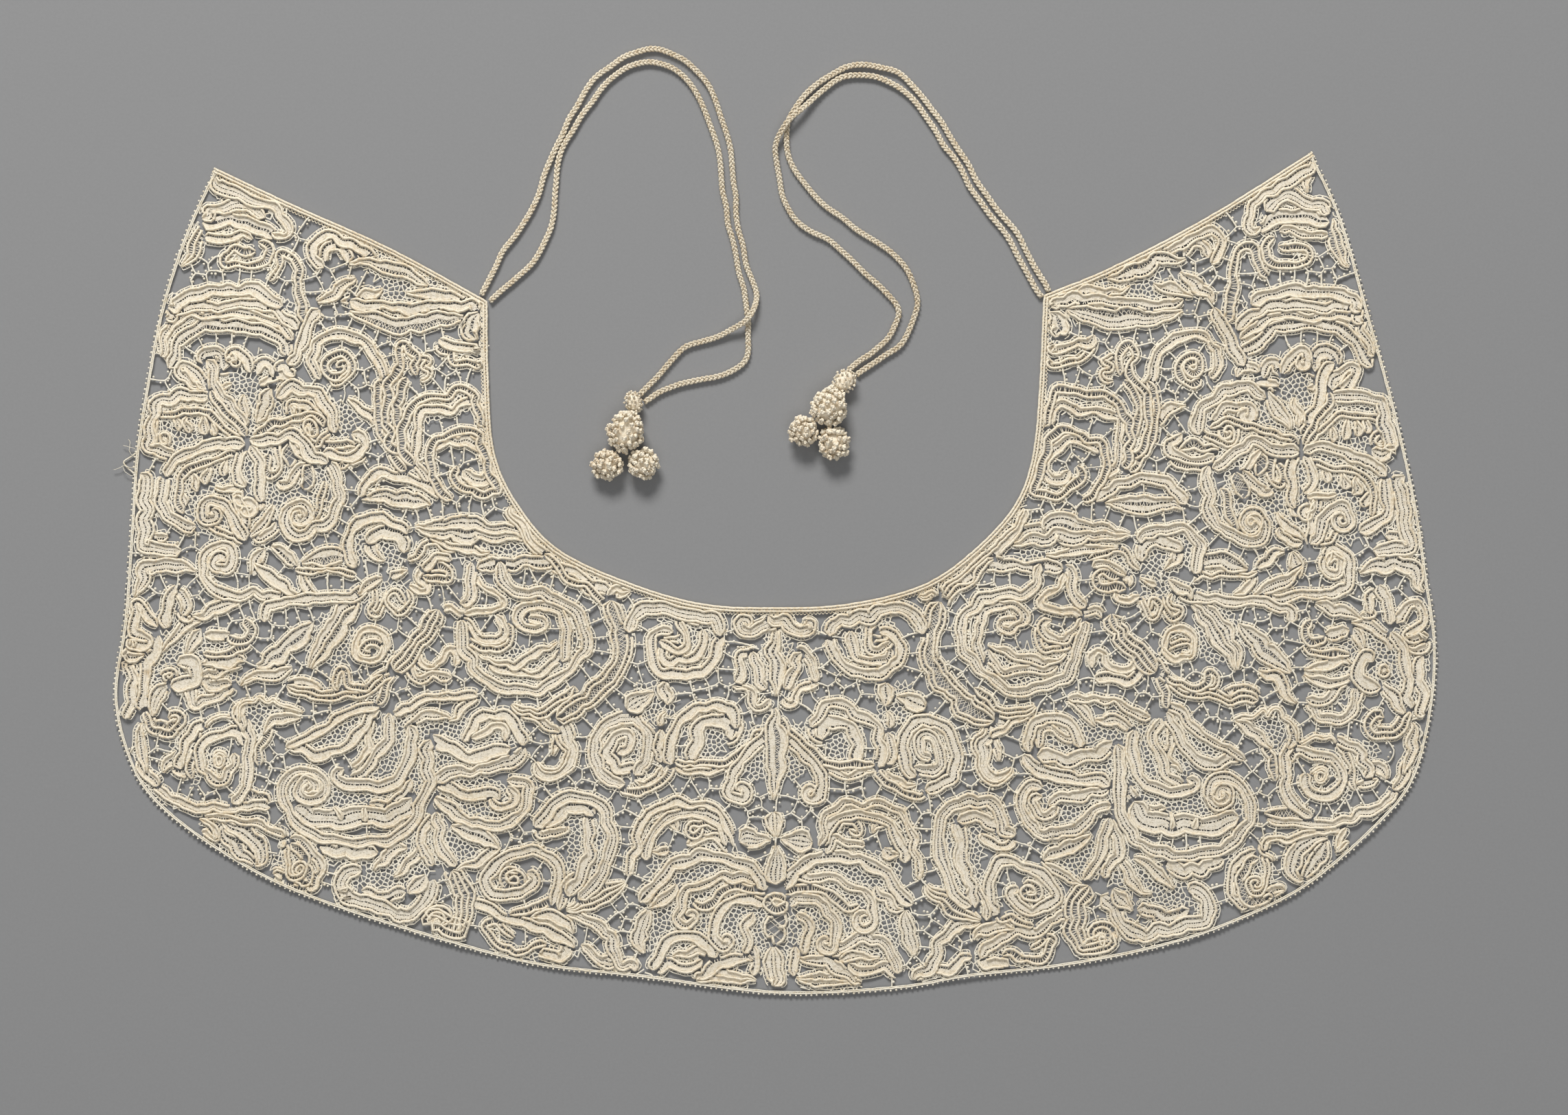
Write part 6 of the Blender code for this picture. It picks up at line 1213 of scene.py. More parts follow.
def bars(starts, ends, wide):
    """Narrow flat threads, one from each start to each end."""
    course = unit(ends - starts)
    across = unit(np.cross((0.0, 0.0, 1.0), course)) * 0.5 * np.reshape(wide, (-1, 1))
    n = len(starts)
    corners = np.concatenate([starts - across, ends - across, ends + across, starts + across])
    k = np.arange(n)
    faces = np.stack([k, k + n, k + 2 * n, k + 3 * n], -1)
    long = np.linalg.norm(ends - starts, axis=1)
    zero = np.zeros(n)
    u = np.stack([zero, long, long, zero], -1)
    v = np.stack([zero, zero, zero + 1, zero + 1], -1)
    return corners, faces, np.stack([u, v], -1)


print("tube of three points:", len(tube(np.eye(3) * 5, 1.0, 6)[1]), "faces")

# %% [markdown]
# ## How the lace lies
# Even on a table, old lace lies in low waves, a few tenths of a millimetre high. One smooth
# function gives that height for any place, so that all the threads that cross there share it.
# The levels say how high each kind of thread then sits: net lowest, cloth and bars above it, and
# cords on top.

# %% Waves and levels
LACE_HIGH = 0.50
WAVE_HIGH = 0.72
LEVEL = {"net": 0.32, "fringe": 0.36, "bars": 0.52, "cloth": 0.48, "legs": 0.40, "cord": 0.92}


def lie(x, y):
    """Height of the lace above the table at a place, from its low waves."""
    wave = (0.30 * np.sin(x / 19.0 + 0.8) * np.sin(y / 15.0 + 2.1)
            + 0.22 * np.sin(x / 8.3 + y / 11.0 + 0.4) + 0.16 * np.sin(y / 5.6 - x / 9.4 + 1.9))
    return LACE_HIGH + wave * WAVE_HIGH


def laid(points, level):
    """Flat points brought to a level on the waves."""
    return np.column_stack([points, lie(points[:, 0], points[:, 1]) + level])


waves = lie(grid_x, grid_y)
print("waves from", round(float(waves.min()), 2), "to", round(float(waves.max()), 2))

# %% [markdown]
# ## The tapes
# Each tape is drawn again with fine steps and a slight tremble of the hand. Its width is shared
# out among its columns: a cord lane, a row of pinholes, and cloth or net for the rest. A column is
# a line beside the middle line. On the inner side of a tight curl it comes no closer than the eye
# of the curl. The cells are given to the trembling tapes afresh, and each column shows only where
# its own tape owns the cell under it. What no tape covers is open ground with bars, or net.

# %% Columns of a tape
FINE = 0.5
CORD_LANE = 1.14
HOLE_LANE = 0.88
HOLE_SHARE = 0.45
BROAD_CLOTH = 5.2
MIDDLING_CLOTH = 2.7
SLIM_CLOTH = 1.7
# the hand's tremble, each with its size and its reach
SWAY = (0.80, 4.2)
SHIVER = (0.22, 2.2)
BREADTH = (0.13, 3.6)
WANDER = (0.15, 2.6)


def tremble(count, seed, size, reach):
    """A smooth random wander along a line."""
    rng = np.random.default_rng(seed)
    knots = max(4, int(count * FINE / reach) + 2)
    places = np.linspace(0, count - 1, knots)
    values = rng.normal(0.0, size, knots)
    rough = np.interp(np.arange(count), places, values)
    reach_cells = max(1, int(0.6 * reach / FINE))
    kernel = np.hanning(2 * reach_cells + 1)
    padded = np.pad(rough, reach_cells, mode="edge")
    return np.convolve(padded, kernel / kernel.sum(), mode="valid")


def enriched(section, wide):
    """A section whose broad cloth is parted by rows of pinholes, or by a cord between two."""
    cloths = section.count("T") + section.count("N")
    rest = wide - CORD_LANE * section.count("C") - HOLE_LANE * section.count("O")
    broad = rest / max(cloths, 1)
    if broad > BROAD_CLOTH:
        return section.replace("T", "TOCOT")
    if broad > MIDDLING_CLOTH:
        return section.replace("T", "TOT")
    if broad > SLIM_CLOTH and "O" not in section:
        return section.replace("CT", "COT")
    return section


def columns(section, halves):
    """Letter, middle and lane of each column, from the right edge of the tape to its left."""
    wide = 2 * halves
    cords, holes = section.count("C"), section.count("O")
    cloths = len(section) - cords - holes
    lane = {"C": np.minimum(CORD_LANE, wide / cords)}
    rest = wide - cords * lane["C"]
    lane["O"] = rest / max(holes, 1)
    if cloths:
        lane["O"] = np.minimum(HOLE_LANE, HOLE_SHARE * rest / max(holes, 1))
        lane["T"] = lane["N"] = (rest - holes * lane["O"]) / cloths
    edge = -halves
    found = []
    for letter in section:
        found.append((letter, edge + lane[letter] / 2, lane[letter]))
        edge = edge + lane[letter]
    return found

# %% Lines beside a line
EYE = 0.3
LEAST_ROOM = 0.05
KEPT_BEND = 0.30
KEPT_RUN = 4
CLOSED_BREAK = 3


def beside(points, offset):
    """The line at an offset to the left of a line, held off the eye of a tight bend."""
    course, left = course_and_left(points)
    heading = np.unwrap(np.arctan2(course[:, 1], course[:, 0]))
    bend = np.pad(np.gradient(heading) / FINE, 2, mode="edge")
    bend = np.convolve(bend, np.ones(5) / 5, mode="valid")
    room = np.maximum(1.0 / np.maximum(np.abs(bend), 1e-6) - EYE, LEAST_ROOM)
    size = np.where(bend * offset > 0, np.minimum(np.abs(offset), room), np.abs(offset))
    return points + left * (np.sign(offset) * size)[:, None]


def stations(points):
    """Places to keep on a line: close together where it bends, farther apart where it runs on."""
    course = np.gradient(points, axis=0)
    heading = np.unwrap(np.arctan2(course[:, 1], course[:, 0]))
    kept, last, turn = [0], 0, heading[0]
    for k in range(1, len(points)):
        if abs(heading[k] - turn) > KEPT_BEND or k - last >= KEPT_RUN:
            kept.append(k)
            last, turn = k, heading[k]
    if kept[-1] != len(points) - 1:
        kept.append(len(points) - 1)
    return np.array(kept)


def stretches(seen, least):
    """First and last place of each visible stretch, with short breaks closed."""
    marks = np.flatnonzero(seen)
    if len(marks) == 0:
        return []
    splits = np.flatnonzero(np.diff(marks) > CLOSED_BREAK) + 1
    return [(run[0], run[-1]) for run in np.split(marks, splits) if run[-1] - run[0] >= least]


def kept_in(keep, first, last):
    """The kept places within one stretch, with both its ends."""
    return np.r_[first, keep[(keep > first) & (keep < last)], last]

# %% The trembling tapes, and their cells
def trembled(rows):
    """The rows as a hand works them, with their sections enriched."""
    made = []
    for number, (section, points, halves) in enumerate(rows):
        left = course_and_left(points)[1]
        count = len(points)
        shake = tremble(count, number, *SWAY) + tremble(count, 900 + number, *SHIVER)
        halves = halves * (1 + tremble(count, 400 + number, *BREADTH))
        made.append((enriched(section, 2 * halves.max()), points + left * shake[:, None], halves))
    return made


fine_rows = trembled(pattern_rows(FINE))
owner = owners(fine_rows)
covered = owner >= 0
airy = opened(within_edge(AIRY_IN) & ~grown(covered, 0.4) & ~by_chart, 1.2)
fine = worked & ~covered & ~grown(airy, 0.5)
print("fine rows", len(fine_rows), "points", sum(len(points) for _, points, _ in fine_rows))

# %% Cloth and cords of one tape
END_DIP = 0.25
cloth = Basket()
cords = {"right": Basket(), "left": Basket()}


def seen_by(points, number):
    """Where a line lies on cells of its own tape, or on none."""
    cells = at_grid(owner, points)
    return (cells == number) | (cells < 0)


def add_cloth(middle, lane, seen, keep, level, tuck):
    """A strip of cloth along a column, with its edges tucked under its neighbours."""
    for a, b in stretches(seen, 3):
        at = kept_in(keep, a, b)
        line = middle[at]
        out = course_and_left(line)[1] * (lane[at] / 2 + tuck)[:, None]
        cloth.add(*strip(laid(line - out, level), laid(line + out, level)))


def add_cord(basket, middle, seen, keep, radius):
    """A raised cord along a column, whose ends dip into the cloth."""
    for a, b in stretches(seen, 4):
        line = laid(middle[kept_in(keep, a, b)], LEVEL["cord"])
        line[[0, -1], 2] -= END_DIP
        basket.add(*tube(line, radius, 5))

# %% Pinholes, net and rounded ends of one tape
LEG_STEP = 1.05
LEG_WIDE = 0.36
MESH_STEP = 1.35
MESH_WIDE = 0.26
END_CORD = 0.50


def add_legs(middle, lane, seen, number):
    """The short threads between pinholes."""
    rng = np.random.default_rng(9000 + number)
    course, left = course_and_left(middle)
    for a, b in stretches(seen, 3):
        count = int((b - a) * FINE / LEG_STEP)
        if count < 1:
            continue
        at = np.linspace(a, b, count + 2)[1:-1] + rng.normal(0, 0.25, count)
        at = np.clip(np.round(at).astype(int), a, b)
        half = (lane[at] / 2 + 0.3)[:, None]
        slant = course[at] * rng.normal(0, 0.16, count)[:, None]
        start, stop = middle[at] - left[at] * half - slant, middle[at] + left[at] * half + slant
        cloth.add(*bars(laid(start, LEVEL["legs"]), laid(stop, LEVEL["legs"]),
                        LEG_WIDE * rng.uniform(0.8, 1.25, count)))


def add_net(middle, lane, seen, number):
    """Threads crossing a net column both ways, as a diamond mesh."""
    rng = np.random.default_rng(5000 + number)
    left = course_and_left(middle)[1]
    for a, b in stretches(seen, 3):
        wide = max(float(lane[a:b + 1].mean()), 0.5)
        reach = int(round(0.9 * wide / FINE))
        step = MESH_STEP / FINE
        count = int((b - a - reach) / step)
        if count < 1:
            continue
        for way in (1, -1):
            first = a + np.arange(count) * step + rng.normal(0, 0.2, count)
            first = np.clip(first, a, b).astype(int)
            last = np.clip(first + reach, a, b)
            start = middle[first] - way * left[first] * (lane[first] / 2 + 0.2)[:, None]
            stop = middle[last] + way * left[last] * (lane[last] / 2 + 0.2)[:, None]
            cloth.add(*bars(laid(start, LEVEL["legs"]), laid(stop, LEVEL["legs"]), MESH_WIDE))


def add_end(basket, points, halves, end, number):
    """A cord bent round the end of a tape, with cloth inside the bend."""
    reach = halves[end] - 0.5 * CORD_LANE
    if reach < 0.5:
        return
    course = unit(points[end] - points[1 if end == 0 else -2])
    side = np.array([-course[1], course[0]])
    turn = np.linspace(-0.5 * math.pi, 0.5 * math.pi, 7)[:, None]
    ring = points[end] + reach * (np.cos(turn) * course + np.sin(turn) * side)
    if seen_by(ring, number).mean() < 0.6:
        return
    basket.add(*tube(laid(ring, LEVEL["cord"] - 0.04), END_CORD, 5, pinch=False))
    level = LEVEL["cloth"] - 0.05
    cloth.add(*strip(laid(ring[:4], level), laid(ring[:2:-1], level)))


print("tape helpers ready")

# %% Dress every tape
EDGE_CORD = 0.53
INNER_CORD = 0.47
for number, (section, points, halves) in enumerate(fine_rows):
    left = course_and_left(points)[1]
    keep = stations(points)
    basket = cords["right" if points[:, 0].mean() >= 0 else "left"]
    for end in (0, -1):
        add_end(basket, points, halves, end, number)
    for column, (letter, offset, lane) in enumerate(columns(section, halves)):
        middle = beside(points, offset)
        seen = seen_by(middle, number)
        if letter == "C":
            wander = tremble(len(points), 50 * number + column, *WANDER)
            middle = middle + left * wander[:, None]
            radius = EDGE_CORD if column in (0, len(section) - 1) else INNER_CORD
            add_cord(basket, middle, seen, keep, radius)
            add_cloth(middle, lane, seen, keep, LEVEL["cloth"] - 0.03, 0.08)
        elif letter == "T":
            add_cloth(middle, lane, seen, keep, LEVEL["cloth"], 0.12)
        elif letter == "O":
            add_legs(middle, lane, seen & (lane > 0.25), number)
        else:
            add_net(middle, lane, seen & (lane > 0.4), number)
print("cloth strips", len(cloth.faces), "cord runs", {k: len(v.faces) for k, v in cords.items()})

# %% [markdown]
# ## The fringe of fine threads
# Along the outside of nearly every edge cord runs a fine thread, a good half millimetre off and
# held to the cord by short stitches. The bars are hooked into it. It is drawn only where there is
# open ground or net beside the tape.

# %% Fringe
FRINGE = 0.80
FRINGE_WIDE = 0.40
STITCH_STEP = 0.90
STITCH_WIDE = 0.32
open_beside = worked & ~covered
net = Basket()


def add_fringe(points, halves, side, number):
    """A fine thread beside one edge of a tape, with its stitches."""
    rng = np.random.default_rng(7000 + 2 * number + (side > 0))
    offset = halves + FRINGE + tremble(len(points), 300 + number, 0.12, 4.0)
    line = beside(points, side * offset)
    seen = at_grid(open_beside, line)
    inner = beside(points, side * (halves - 0.35))
    keep = stations(line)
    for a, b in stretches(seen, 4):
        path = laid(line[kept_in(keep, a, b)], LEVEL["fringe"])
        net.add(*bars(path[:-1], path[1:], FRINGE_WIDE))
        count = int((b - a) * FINE / STITCH_STEP)
        if count < 1:
            continue
        stitch = np.clip(np.linspace(a, b, count) + rng.normal(0, 0.4, count), a, b).astype(int)
        foot = np.clip(stitch + rng.integers(-1, 2, count), a, b)
        net.add(*bars(laid(inner[foot], LEVEL["legs"]), laid(line[stitch], LEVEL["fringe"]),
                      STITCH_WIDE * rng.uniform(0.8, 1.2, count)))


for number, (_, points, halves) in enumerate(fine_rows):
    for side in (1, -1):
        add_fringe(points, halves, side, number)
lace_cloth = cloth.piece("lace_cloth", weave_look, smooth=False)

# %% Raised cords
cord_right = cords["right"].piece("lace_cords_right", cord_look)
cord_left = cords["left"].piece("lace_cords_left", cord_look)

# %% [markdown]
# ## The net
# The net between the leaves has no regular mesh: it is a froth of small cells. Points are strewn
# over the net ground, each at least a little apart from the others, and the edges midway between
# neighbours are its threads. Triangles between the points give those edges: each joins the middles
# of the circles through two touching triangles.

# %% Strewn points
LEAST_CELLS = 6
SITE_REACH = 14.0


def strewn(mask, spacing, seed):
    """Points spread over a mask, at least a spacing apart."""
    rng = np.random.default_rng(seed)
    cells = np.argwhere(mask)
    cells = cells[rng.permutation(len(cells))]
    free = mask.copy()
    sites = []
    for j, i in cells:
        if free[j, i]:
            sites.append((grid_x[j, i], grid_y[j, i]))
            r = int(spacing / GRID)
            j0, i0 = max(0, j - r), max(0, i - r)
            ys, xs = np.mgrid[j0:j + r + 1, i0:i + r + 1]
            ys = ys[:, :free.shape[1] - i0][:free.shape[0] - j0]
            xs = xs[:, :free.shape[1] - i0][:free.shape[0] - j0]
            near = (ys - j) ** 2 + (xs - i) ** 2 <= r * r
            free[j0:j + r + 1, i0:i + r + 1][near] = False
    return np.array(sites)


def nearest_site(sites):
    """For each grid cell the number of its nearest site, or -1 where none is in reach."""
    label = np.full(grid_x.shape, -1)
    best = np.full(grid_x.shape, SITE_REACH * SITE_REACH)
    for number, (px, py) in enumerate(sites):
        part, xs, ys = window(label, px, py, SITE_REACH)
        far = (xs - px) ** 2 + (ys - py) ** 2
        closer = far < best[part]
        best[part][closer] = far[closer]
        label[part][closer] = number
    return label


def evened(sites, mask):
    """Points moved to the middle of the cells nearest to each, if that lies on the mask."""
    label = nearest_site(sites)
    use = mask & (label >= 0)
    count = np.bincount(label[use], minlength=len(sites))
    moved = np.stack([np.bincount(label[use], grid[use], len(sites)) / np.maximum(count, 1)
                      for grid in (grid_x, grid_y)], 1)
    held = (count > LEAST_CELLS) & at_grid(mask, moved)
    sites[held] = moved[held]
    return sites[count > LEAST_CELLS]

# %% The edges midway between points
def froth(sites):
    """The edges midway between neighbouring sites: an N x 2 x 2 array."""
    flat, _, faces, _, _, _ = delaunay_2d_cdt([Vector(s) for s in sites], [], [], 0, 1e-5)
    spots = np.array([[v.x, v.y] for v in flat])
    faces = np.array([tuple(f) for f in faces])
    a, b, c = (spots[faces[:, k]] for k in range(3))
    area = 2 * ((b - a)[:, 0] * (c - a)[:, 1] - (b - a)[:, 1] * (c - a)[:, 0])
    area = np.where(np.abs(area) < 1e-9, 1e-9, area)
    ab, ac = ((b - a) ** 2).sum(1), ((c - a) ** 2).sum(1)
    centre = a + np.stack([(c - a)[:, 1] * ab - (b - a)[:, 1] * ac,
                           (b - a)[:, 0] * ac - (c - a)[:, 0] * ab], 1) / area[:, None]
    sides = np.sort(faces[:, [[0, 1], [1, 2], [2, 0]]], axis=2).reshape(-1, 2)
    home = np.repeat(np.arange(len(faces)), 3)
    order = np.lexsort((sides[:, 1], sides[:, 0]))
    sides, home = sides[order], home[order]
    pair = (sides[:-1] == sides[1:]).all(1)
    return np.stack([centre[home[:-1][pair]], centre[home[1:][pair]]], 1)


net_sites = strewn(fine, 1.6, 41)
net_edges = froth(net_sites)
print("net sites", len(net_sites), "edges", len(net_edges))

# %% Net threads
LONGEST_THREAD = 4.5
NET_WIDE = 0.44
in_net = grown(fine, 0.8) & worked
starts, stops = net_edges[:, 0], net_edges[:, 1]
use = np.linalg.norm(starts - stops, axis=1) < LONGEST_THREAD
use &= at_grid(in_net, net_edges.mean(1)) & (at_grid(in_net, starts) | at_grid(in_net, stops))
starts, stops = laid(starts[use], LEVEL["net"]), laid(stops[use], LEVEL["net"])
rng = np.random.default_rng(42)
net.add(*bars(starts, stops, NET_WIDE * rng.uniform(0.8, 1.3, len(starts))))
lace_net = net.piece("lace_net", fine_look, smooth=False)

# %% [markdown]
# ## The bars and their knobs
# Across the open ground run bars, and every few millimetres a tiny knob stands off to one side. A
# real bar is two threads plaited round each other. Here it is one thread of uneven thickness. The
# open cells are larger than the net's, so their points are strewn wider and evened out. The bars
# are again the edges midway between the points, clipped where they would run far under a tape.

# %% Bars
BAR_SPACING = 6.4
EVENING_ROUNDS = 5
BAR_WIDE = 0.43
BAR_STEP = 1.3
SHORTEST_BAR = 0.3
LONGEST_BAR = 30.0
SIGHT_STEP = 0.4
KNOB_STEP = 2.3
bar_sites = strewn(ground, BAR_SPACING, 1650)
for _ in range(EVENING_ROUNDS):
    bar_sites = evened(bar_sites, ground)
bar_reach = grown(airy, 1.5) & worked
bar_basket = Basket()
knob_spots = []


def add_bar(start, stop, rng):
    """A bar that bows a little, and the spots of its knobs."""
    span = np.linalg.norm(stop - start)
    count = max(3, int(span / BAR_STEP) + 2)
    s = np.linspace(0, 1, count)
    across = unit(np.array([-(stop - start)[1], (stop - start)[0]]))
    bow = rng.normal(0, 0.05) * span * np.sin(math.pi * s) + rng.normal(0, 0.06, count)
    bow[[0, -1]] = 0
    path = start + (stop - start) * s[:, None] + across * bow[:, None]
    wide = BAR_WIDE * rng.uniform(0.85, 1.2) * (1 + 0.18 * rng.normal(0, 1, count).clip(-1, 1))
    bar_basket.add(*tube(laid(path, LEVEL["bars"]), wide, 4, pinch=False))
    knobs = int(span / KNOB_STEP + rng.uniform(0.1, 0.8))
    for k in range(knobs):
        f = (k + 0.5 + rng.uniform(-0.2, 0.2)) / knobs
        side = rng.choice((-1, 1))
        spot = start + (stop - start) * f + across * side * rng.uniform(0.65, 1.1)
        if at_grid(open_beside, spot[None])[0]:
            knob_spots.append((*spot, rng.uniform(0.48, 0.70)))


rng = np.random.default_rng(88)
for a, b in froth(bar_sites):
    span = np.linalg.norm(b - a)
    if span >= SHORTEST_BAR:
        long = min(span, LONGEST_BAR)
        b = a + (b - a) / span * long
        t = np.linspace(0, 1, max(3, int(long / SIGHT_STEP) + 1))
        line = a + (b - a) * t[:, None]
        for first, last in stretches(at_grid(bar_reach, line), 2):
            add_bar(line[first], line[last], rng)
lace_bars = bar_basket.piece("lace_bars", fine_look)
print("bars' sites", len(bar_sites), "knobs", len(knob_spots))

# %% Knobs
def round_ball(level):
    """A ball with its map: twenty faces at level 1, and four times as many at each level more."""
    body = bmesh.new()
    bmesh.ops.create_icosphere(body, subdivisions=level, radius=1.0)
    corners = np.array([tuple(v.co) for v in body.verts])
    faces = np.array([[v.index for v in f.verts] for f in body.faces])
    body.free()
    u = np.arctan2(corners[:, 1], corners[:, 0]) / (2 * math.pi)
    return corners, faces, np.stack([u, 0.5 + 0.5 * corners[:, 2]], 1)[faces]


BALL, BALL_FACES, BALL_MAP = round_ball(1)


def add_ball(basket, middle, size, turns, floor=-math.inf):
    """A ball of one radius or three, cut flat at a floor, with its map scaled by some turns."""
    corners = BALL * size + middle
    corners[:, 2] = np.maximum(corners[:, 2], floor)
    basket.add(corners, BALL_FACES, BALL_MAP * turns)


knobs = Basket()
for x, y, r in knob_spots:
    middle = np.array([x, y, float(lie(x, y)) + LEVEL["bars"] + 0.05])
    add_ball(knobs, middle, np.array([r, r, 0.8 * r]), 0.6)
lace_knobs = knobs.piece("lace_knobs", fine_look)

# %% [markdown]
# ## The edges
# The neck and the two fronts end in a double cord, held together by slanting stitches. The outer
# edge is a lighter braid: two thin threads with a zigzag between them, and a row of small loops
# that stand out from it like beads. Each follows the line of its solid, so the two stay in step.

# %% Edge lines
EDGE_STEP = 1.6


def edge_parts(step):
    """The outer edge and the rest of the outline, as open lines."""
    whole, corners = outline(step)
    tip = corners[1]
    return whole[:tip + 1], np.concatenate([whole[tip:], whole[:1]])


def moved_in(line, by):
    """An open line moved inward, with its corners kept square."""
    before = unit(np.diff(line, axis=0))
    before = np.concatenate([before[:1], before])
    after = np.concatenate([before[1:], before[-1:]])
    lean = unit(before + after)
    slope = np.clip((lean * after).sum(1), 0.5, 1.0)
    return line + right_of(lean) * (by / slope)[:, None]


def edge_cord(basket, line, by, radius, level, sides, seed):
    """A thread that keeps a distance from the edge."""
    path = moved_in(evenly(line, EDGE_STEP), by)
    path = path + np.random.default_rng(seed).normal(0, 0.05, path.shape)
    basket.add(*tube(laid(path, level), radius, sides))


def edge_stitches(basket, line, from_by, to_by, step, wide, level, seed):
    """Short threads across an edge, leaning one way and back."""
    rng = np.random.default_rng(seed)
    near, far = (moved_in(evenly(line, step), by) for by in (from_by, to_by))
    for start, stop in ((near[:-1], far[1:]), (far[:-1], near[1:])):
        basket.add(*bars(laid(start, level), laid(stop, level),
                         wide * rng.uniform(0.8, 1.2, len(start))))


def edge_threads(line, cord_rows, stitch_rows):
    """A basket with the cords of an edge and the stitches over them."""
    basket = Basket()
    for row in cord_rows:
        edge_cord(basket, line, *row)
    for row in stitch_rows:
        edge_stitches(basket, line, *row)
    return basket


outer_line, neck_line = edge_parts(1.5)
print("outer edge", len(outer_line), "neck and fronts", len(neck_line))

# %% Neck and front edge
NECK_CORDS = (
    # distance from the edge, radius, level, sides, seed
    (0.55, 0.52, 0.75, 5, 1), (1.75, 0.50, 0.72, 5, 2),
)
NECK_STITCHES = (
    # distances from the edge, step, width, level, seed
    (0.3, 2.0, 1.2, 0.30, 0.62, 3), (1.9, 3.3, 1.5, 0.30, 0.40, 4),
)
neck_edge = edge_threads(neck_line, NECK_CORDS, NECK_STITCHES)
neck_piece = neck_edge.piece("neck_edge_cords", cord_look)
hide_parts("neck_edge_braid")

# %% Outer edge
OUTER_CORDS = ((0.95, 0.38, 0.60, 5, 5), (1.60, 0.32, 0.54, 4, 6))
OUTER_STITCHES = ((0.9, 1.7, 1.2, 0.34, 0.56, 7),)
PICOT_STEP = 2.2
PICOT_IN = 0.22
PICOT_LEVEL = 0.55
outer_edge = edge_threads(outer_line, OUTER_CORDS, OUTER_STITCHES)
rng = np.random.default_rng(9)
for spot in moved_in(evenly(outer_line, PICOT_STEP), PICOT_IN):
    r = rng.uniform(0.40, 0.56)
    spot = spot + rng.normal(0, 0.12, 2)
    middle = np.array([*spot, float(lie(*spot)) + PICOT_LEVEL])
    add_ball(outer_edge, middle, np.array([r, r, 0.7 * r]), 0.6)
outer_piece = outer_edge.piece("outer_edge_threads", fine_look)
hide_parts("outer_edge_braid")
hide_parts("lace_body")

# %% [markdown]
# ## The ties
# Each tie is a doubled cord, about 2.2 mm thick, which leaves a corner of the neck, lies in a long
# loop on the table and ends in its tassel. The cord is plaited from three strands. Each strand
# swings from side to side once while it dips and rises twice, a third of a turn behind the one
# before, which is the figure of a plait seen end on.

# %% Tie routes
TIE_ROUTES = {
    "tie_left_a": (
        (-121.9, 115.3), (-120.6, 118.3), (-114.5, 131), (-105.5, 143.5), (-98.5, 157),
        (-93.5, 172), (-84.5, 191), (-73, 207), (-54, 217.5), (-40, 214), (-27, 201), (-20, 180),
        (-17, 157), (-12.5, 130), (-7.5, 113.5), (-16, 102), (-38, 93), (-50, 81), (-56.7, 74.3),
    ),
    "tie_left_b": (
        (-118.85, 113.0), (-116.0, 115.4), (-108, 122), (-99.5, 130), (-93.5, 143), (-91.5, 160),
        (-89.5, 174), (-81, 189), (-68, 205.5), (-52, 212.5), (-40.5, 208), (-31, 196),
        (-24.5, 177), (-22, 157), (-17.5, 136), (-13.5, 118), (-11.5, 102), (-13, 88),
        (-25, 81.5), (-41, 78.5), (-55.0, 71.6),
    ),
    "tie_right_a": (
        (113.3, 117.0), (112.2, 119.7), (107.5, 127), (100.5, 140), (91.5, 151), (85, 160.5),
        (78, 172.5), (70.5, 184), (60, 199.5), (48, 208.5), (30, 210.5), (15, 201), (5.5, 188),
        (5.5, 173), (16, 156.5), (33, 143), (50.5, 130.5), (58.5, 113), (53.5, 97.5),
        (45.5, 90.5), (38.2, 86.0), (33.2, 82.3),
    ),
    "tie_right_b": (
        (110.0, 114.2), (107.9, 117.2), (102.5, 127.5), (95.5, 140), (87.5, 150.5), (80.8, 160.5),
        (73.8, 172.5), (66, 183.5), (55.5, 198), (44, 205), (28, 205.8), (15.5, 196.5),
        (1.5, 182), (0.6, 165), (7.5, 147.5), (23, 137), (38.5, 123.5), (50, 111), (49, 101),
        (41, 92.1), (35.0, 88.4), (30.1, 84.2),
    ),
}
STRAND_RISES = (
    # where one strand of a pair rises over the other: strand, x, y, rise, reach
    ("tie_left_a", -11.5, 105.6, 2.8, 9.0),
    ("tie_right_b", 5.2, 187.6, 2.8, 12.0),
)
TASSEL_PARTS = (
    # name, x, y, half wide, half long, turn, height
    ("tassel_left_neck", -58.9, 71.0, 4.0, 3.6, 20.0, 7.0),
    ("tassel_left_pear", -62.2, 59.0, 8.4, 9.2, -12.0, 12.0),
    ("tassel_left_berry_a", -69.8, 45.1, 6.8, 6.8, 10.0, 9.4),
    ("tassel_left_berry_b", -54.7, 45.4, 6.8, 6.8, -10.0, 9.4),
    ("tassel_right_neck", 28.5, 79.7, 4.9, 4.3, -40.0, 7.2),
    ("tassel_right_pear", 22.2, 69.2, 8.2, 8.6, -14.0, 12.0),
    ("tassel_right_berry_a", 11.4, 59.0, 6.6, 6.6, 20.0, 9.4),
    ("tassel_right_berry_b", 24.2, 53.9, 7.0, 7.2, -8.0, 9.6),
)
CORD_THICK = 2.2
print("tie strands", list(TIE_ROUTES))

# %% Plait the ties
PLAIT_PITCH = 5.4
PLAIT_SWING = 0.85
PLAIT_DIP = 0.50
STRAND_THICK = 0.50


def tie_line(name):
    """The middle line of one strand of a tie, at its height above the table."""
    smooth = through(TIE_ROUTES[name], 1.0)
    along = run_length(smooth)
    rise = np.full(len(smooth), 0.5 * CORD_THICK)
    for strand, x, y, up, reach in STRAND_RISES:
        if strand == name:
            peak = along[np.argmin(np.hypot(smooth[:, 0] - x, smooth[:, 1] - y))]
            rise += up * np.exp(-((along - peak) / reach) ** 2)
    return evenly(np.column_stack([smooth, rise]), FINE)


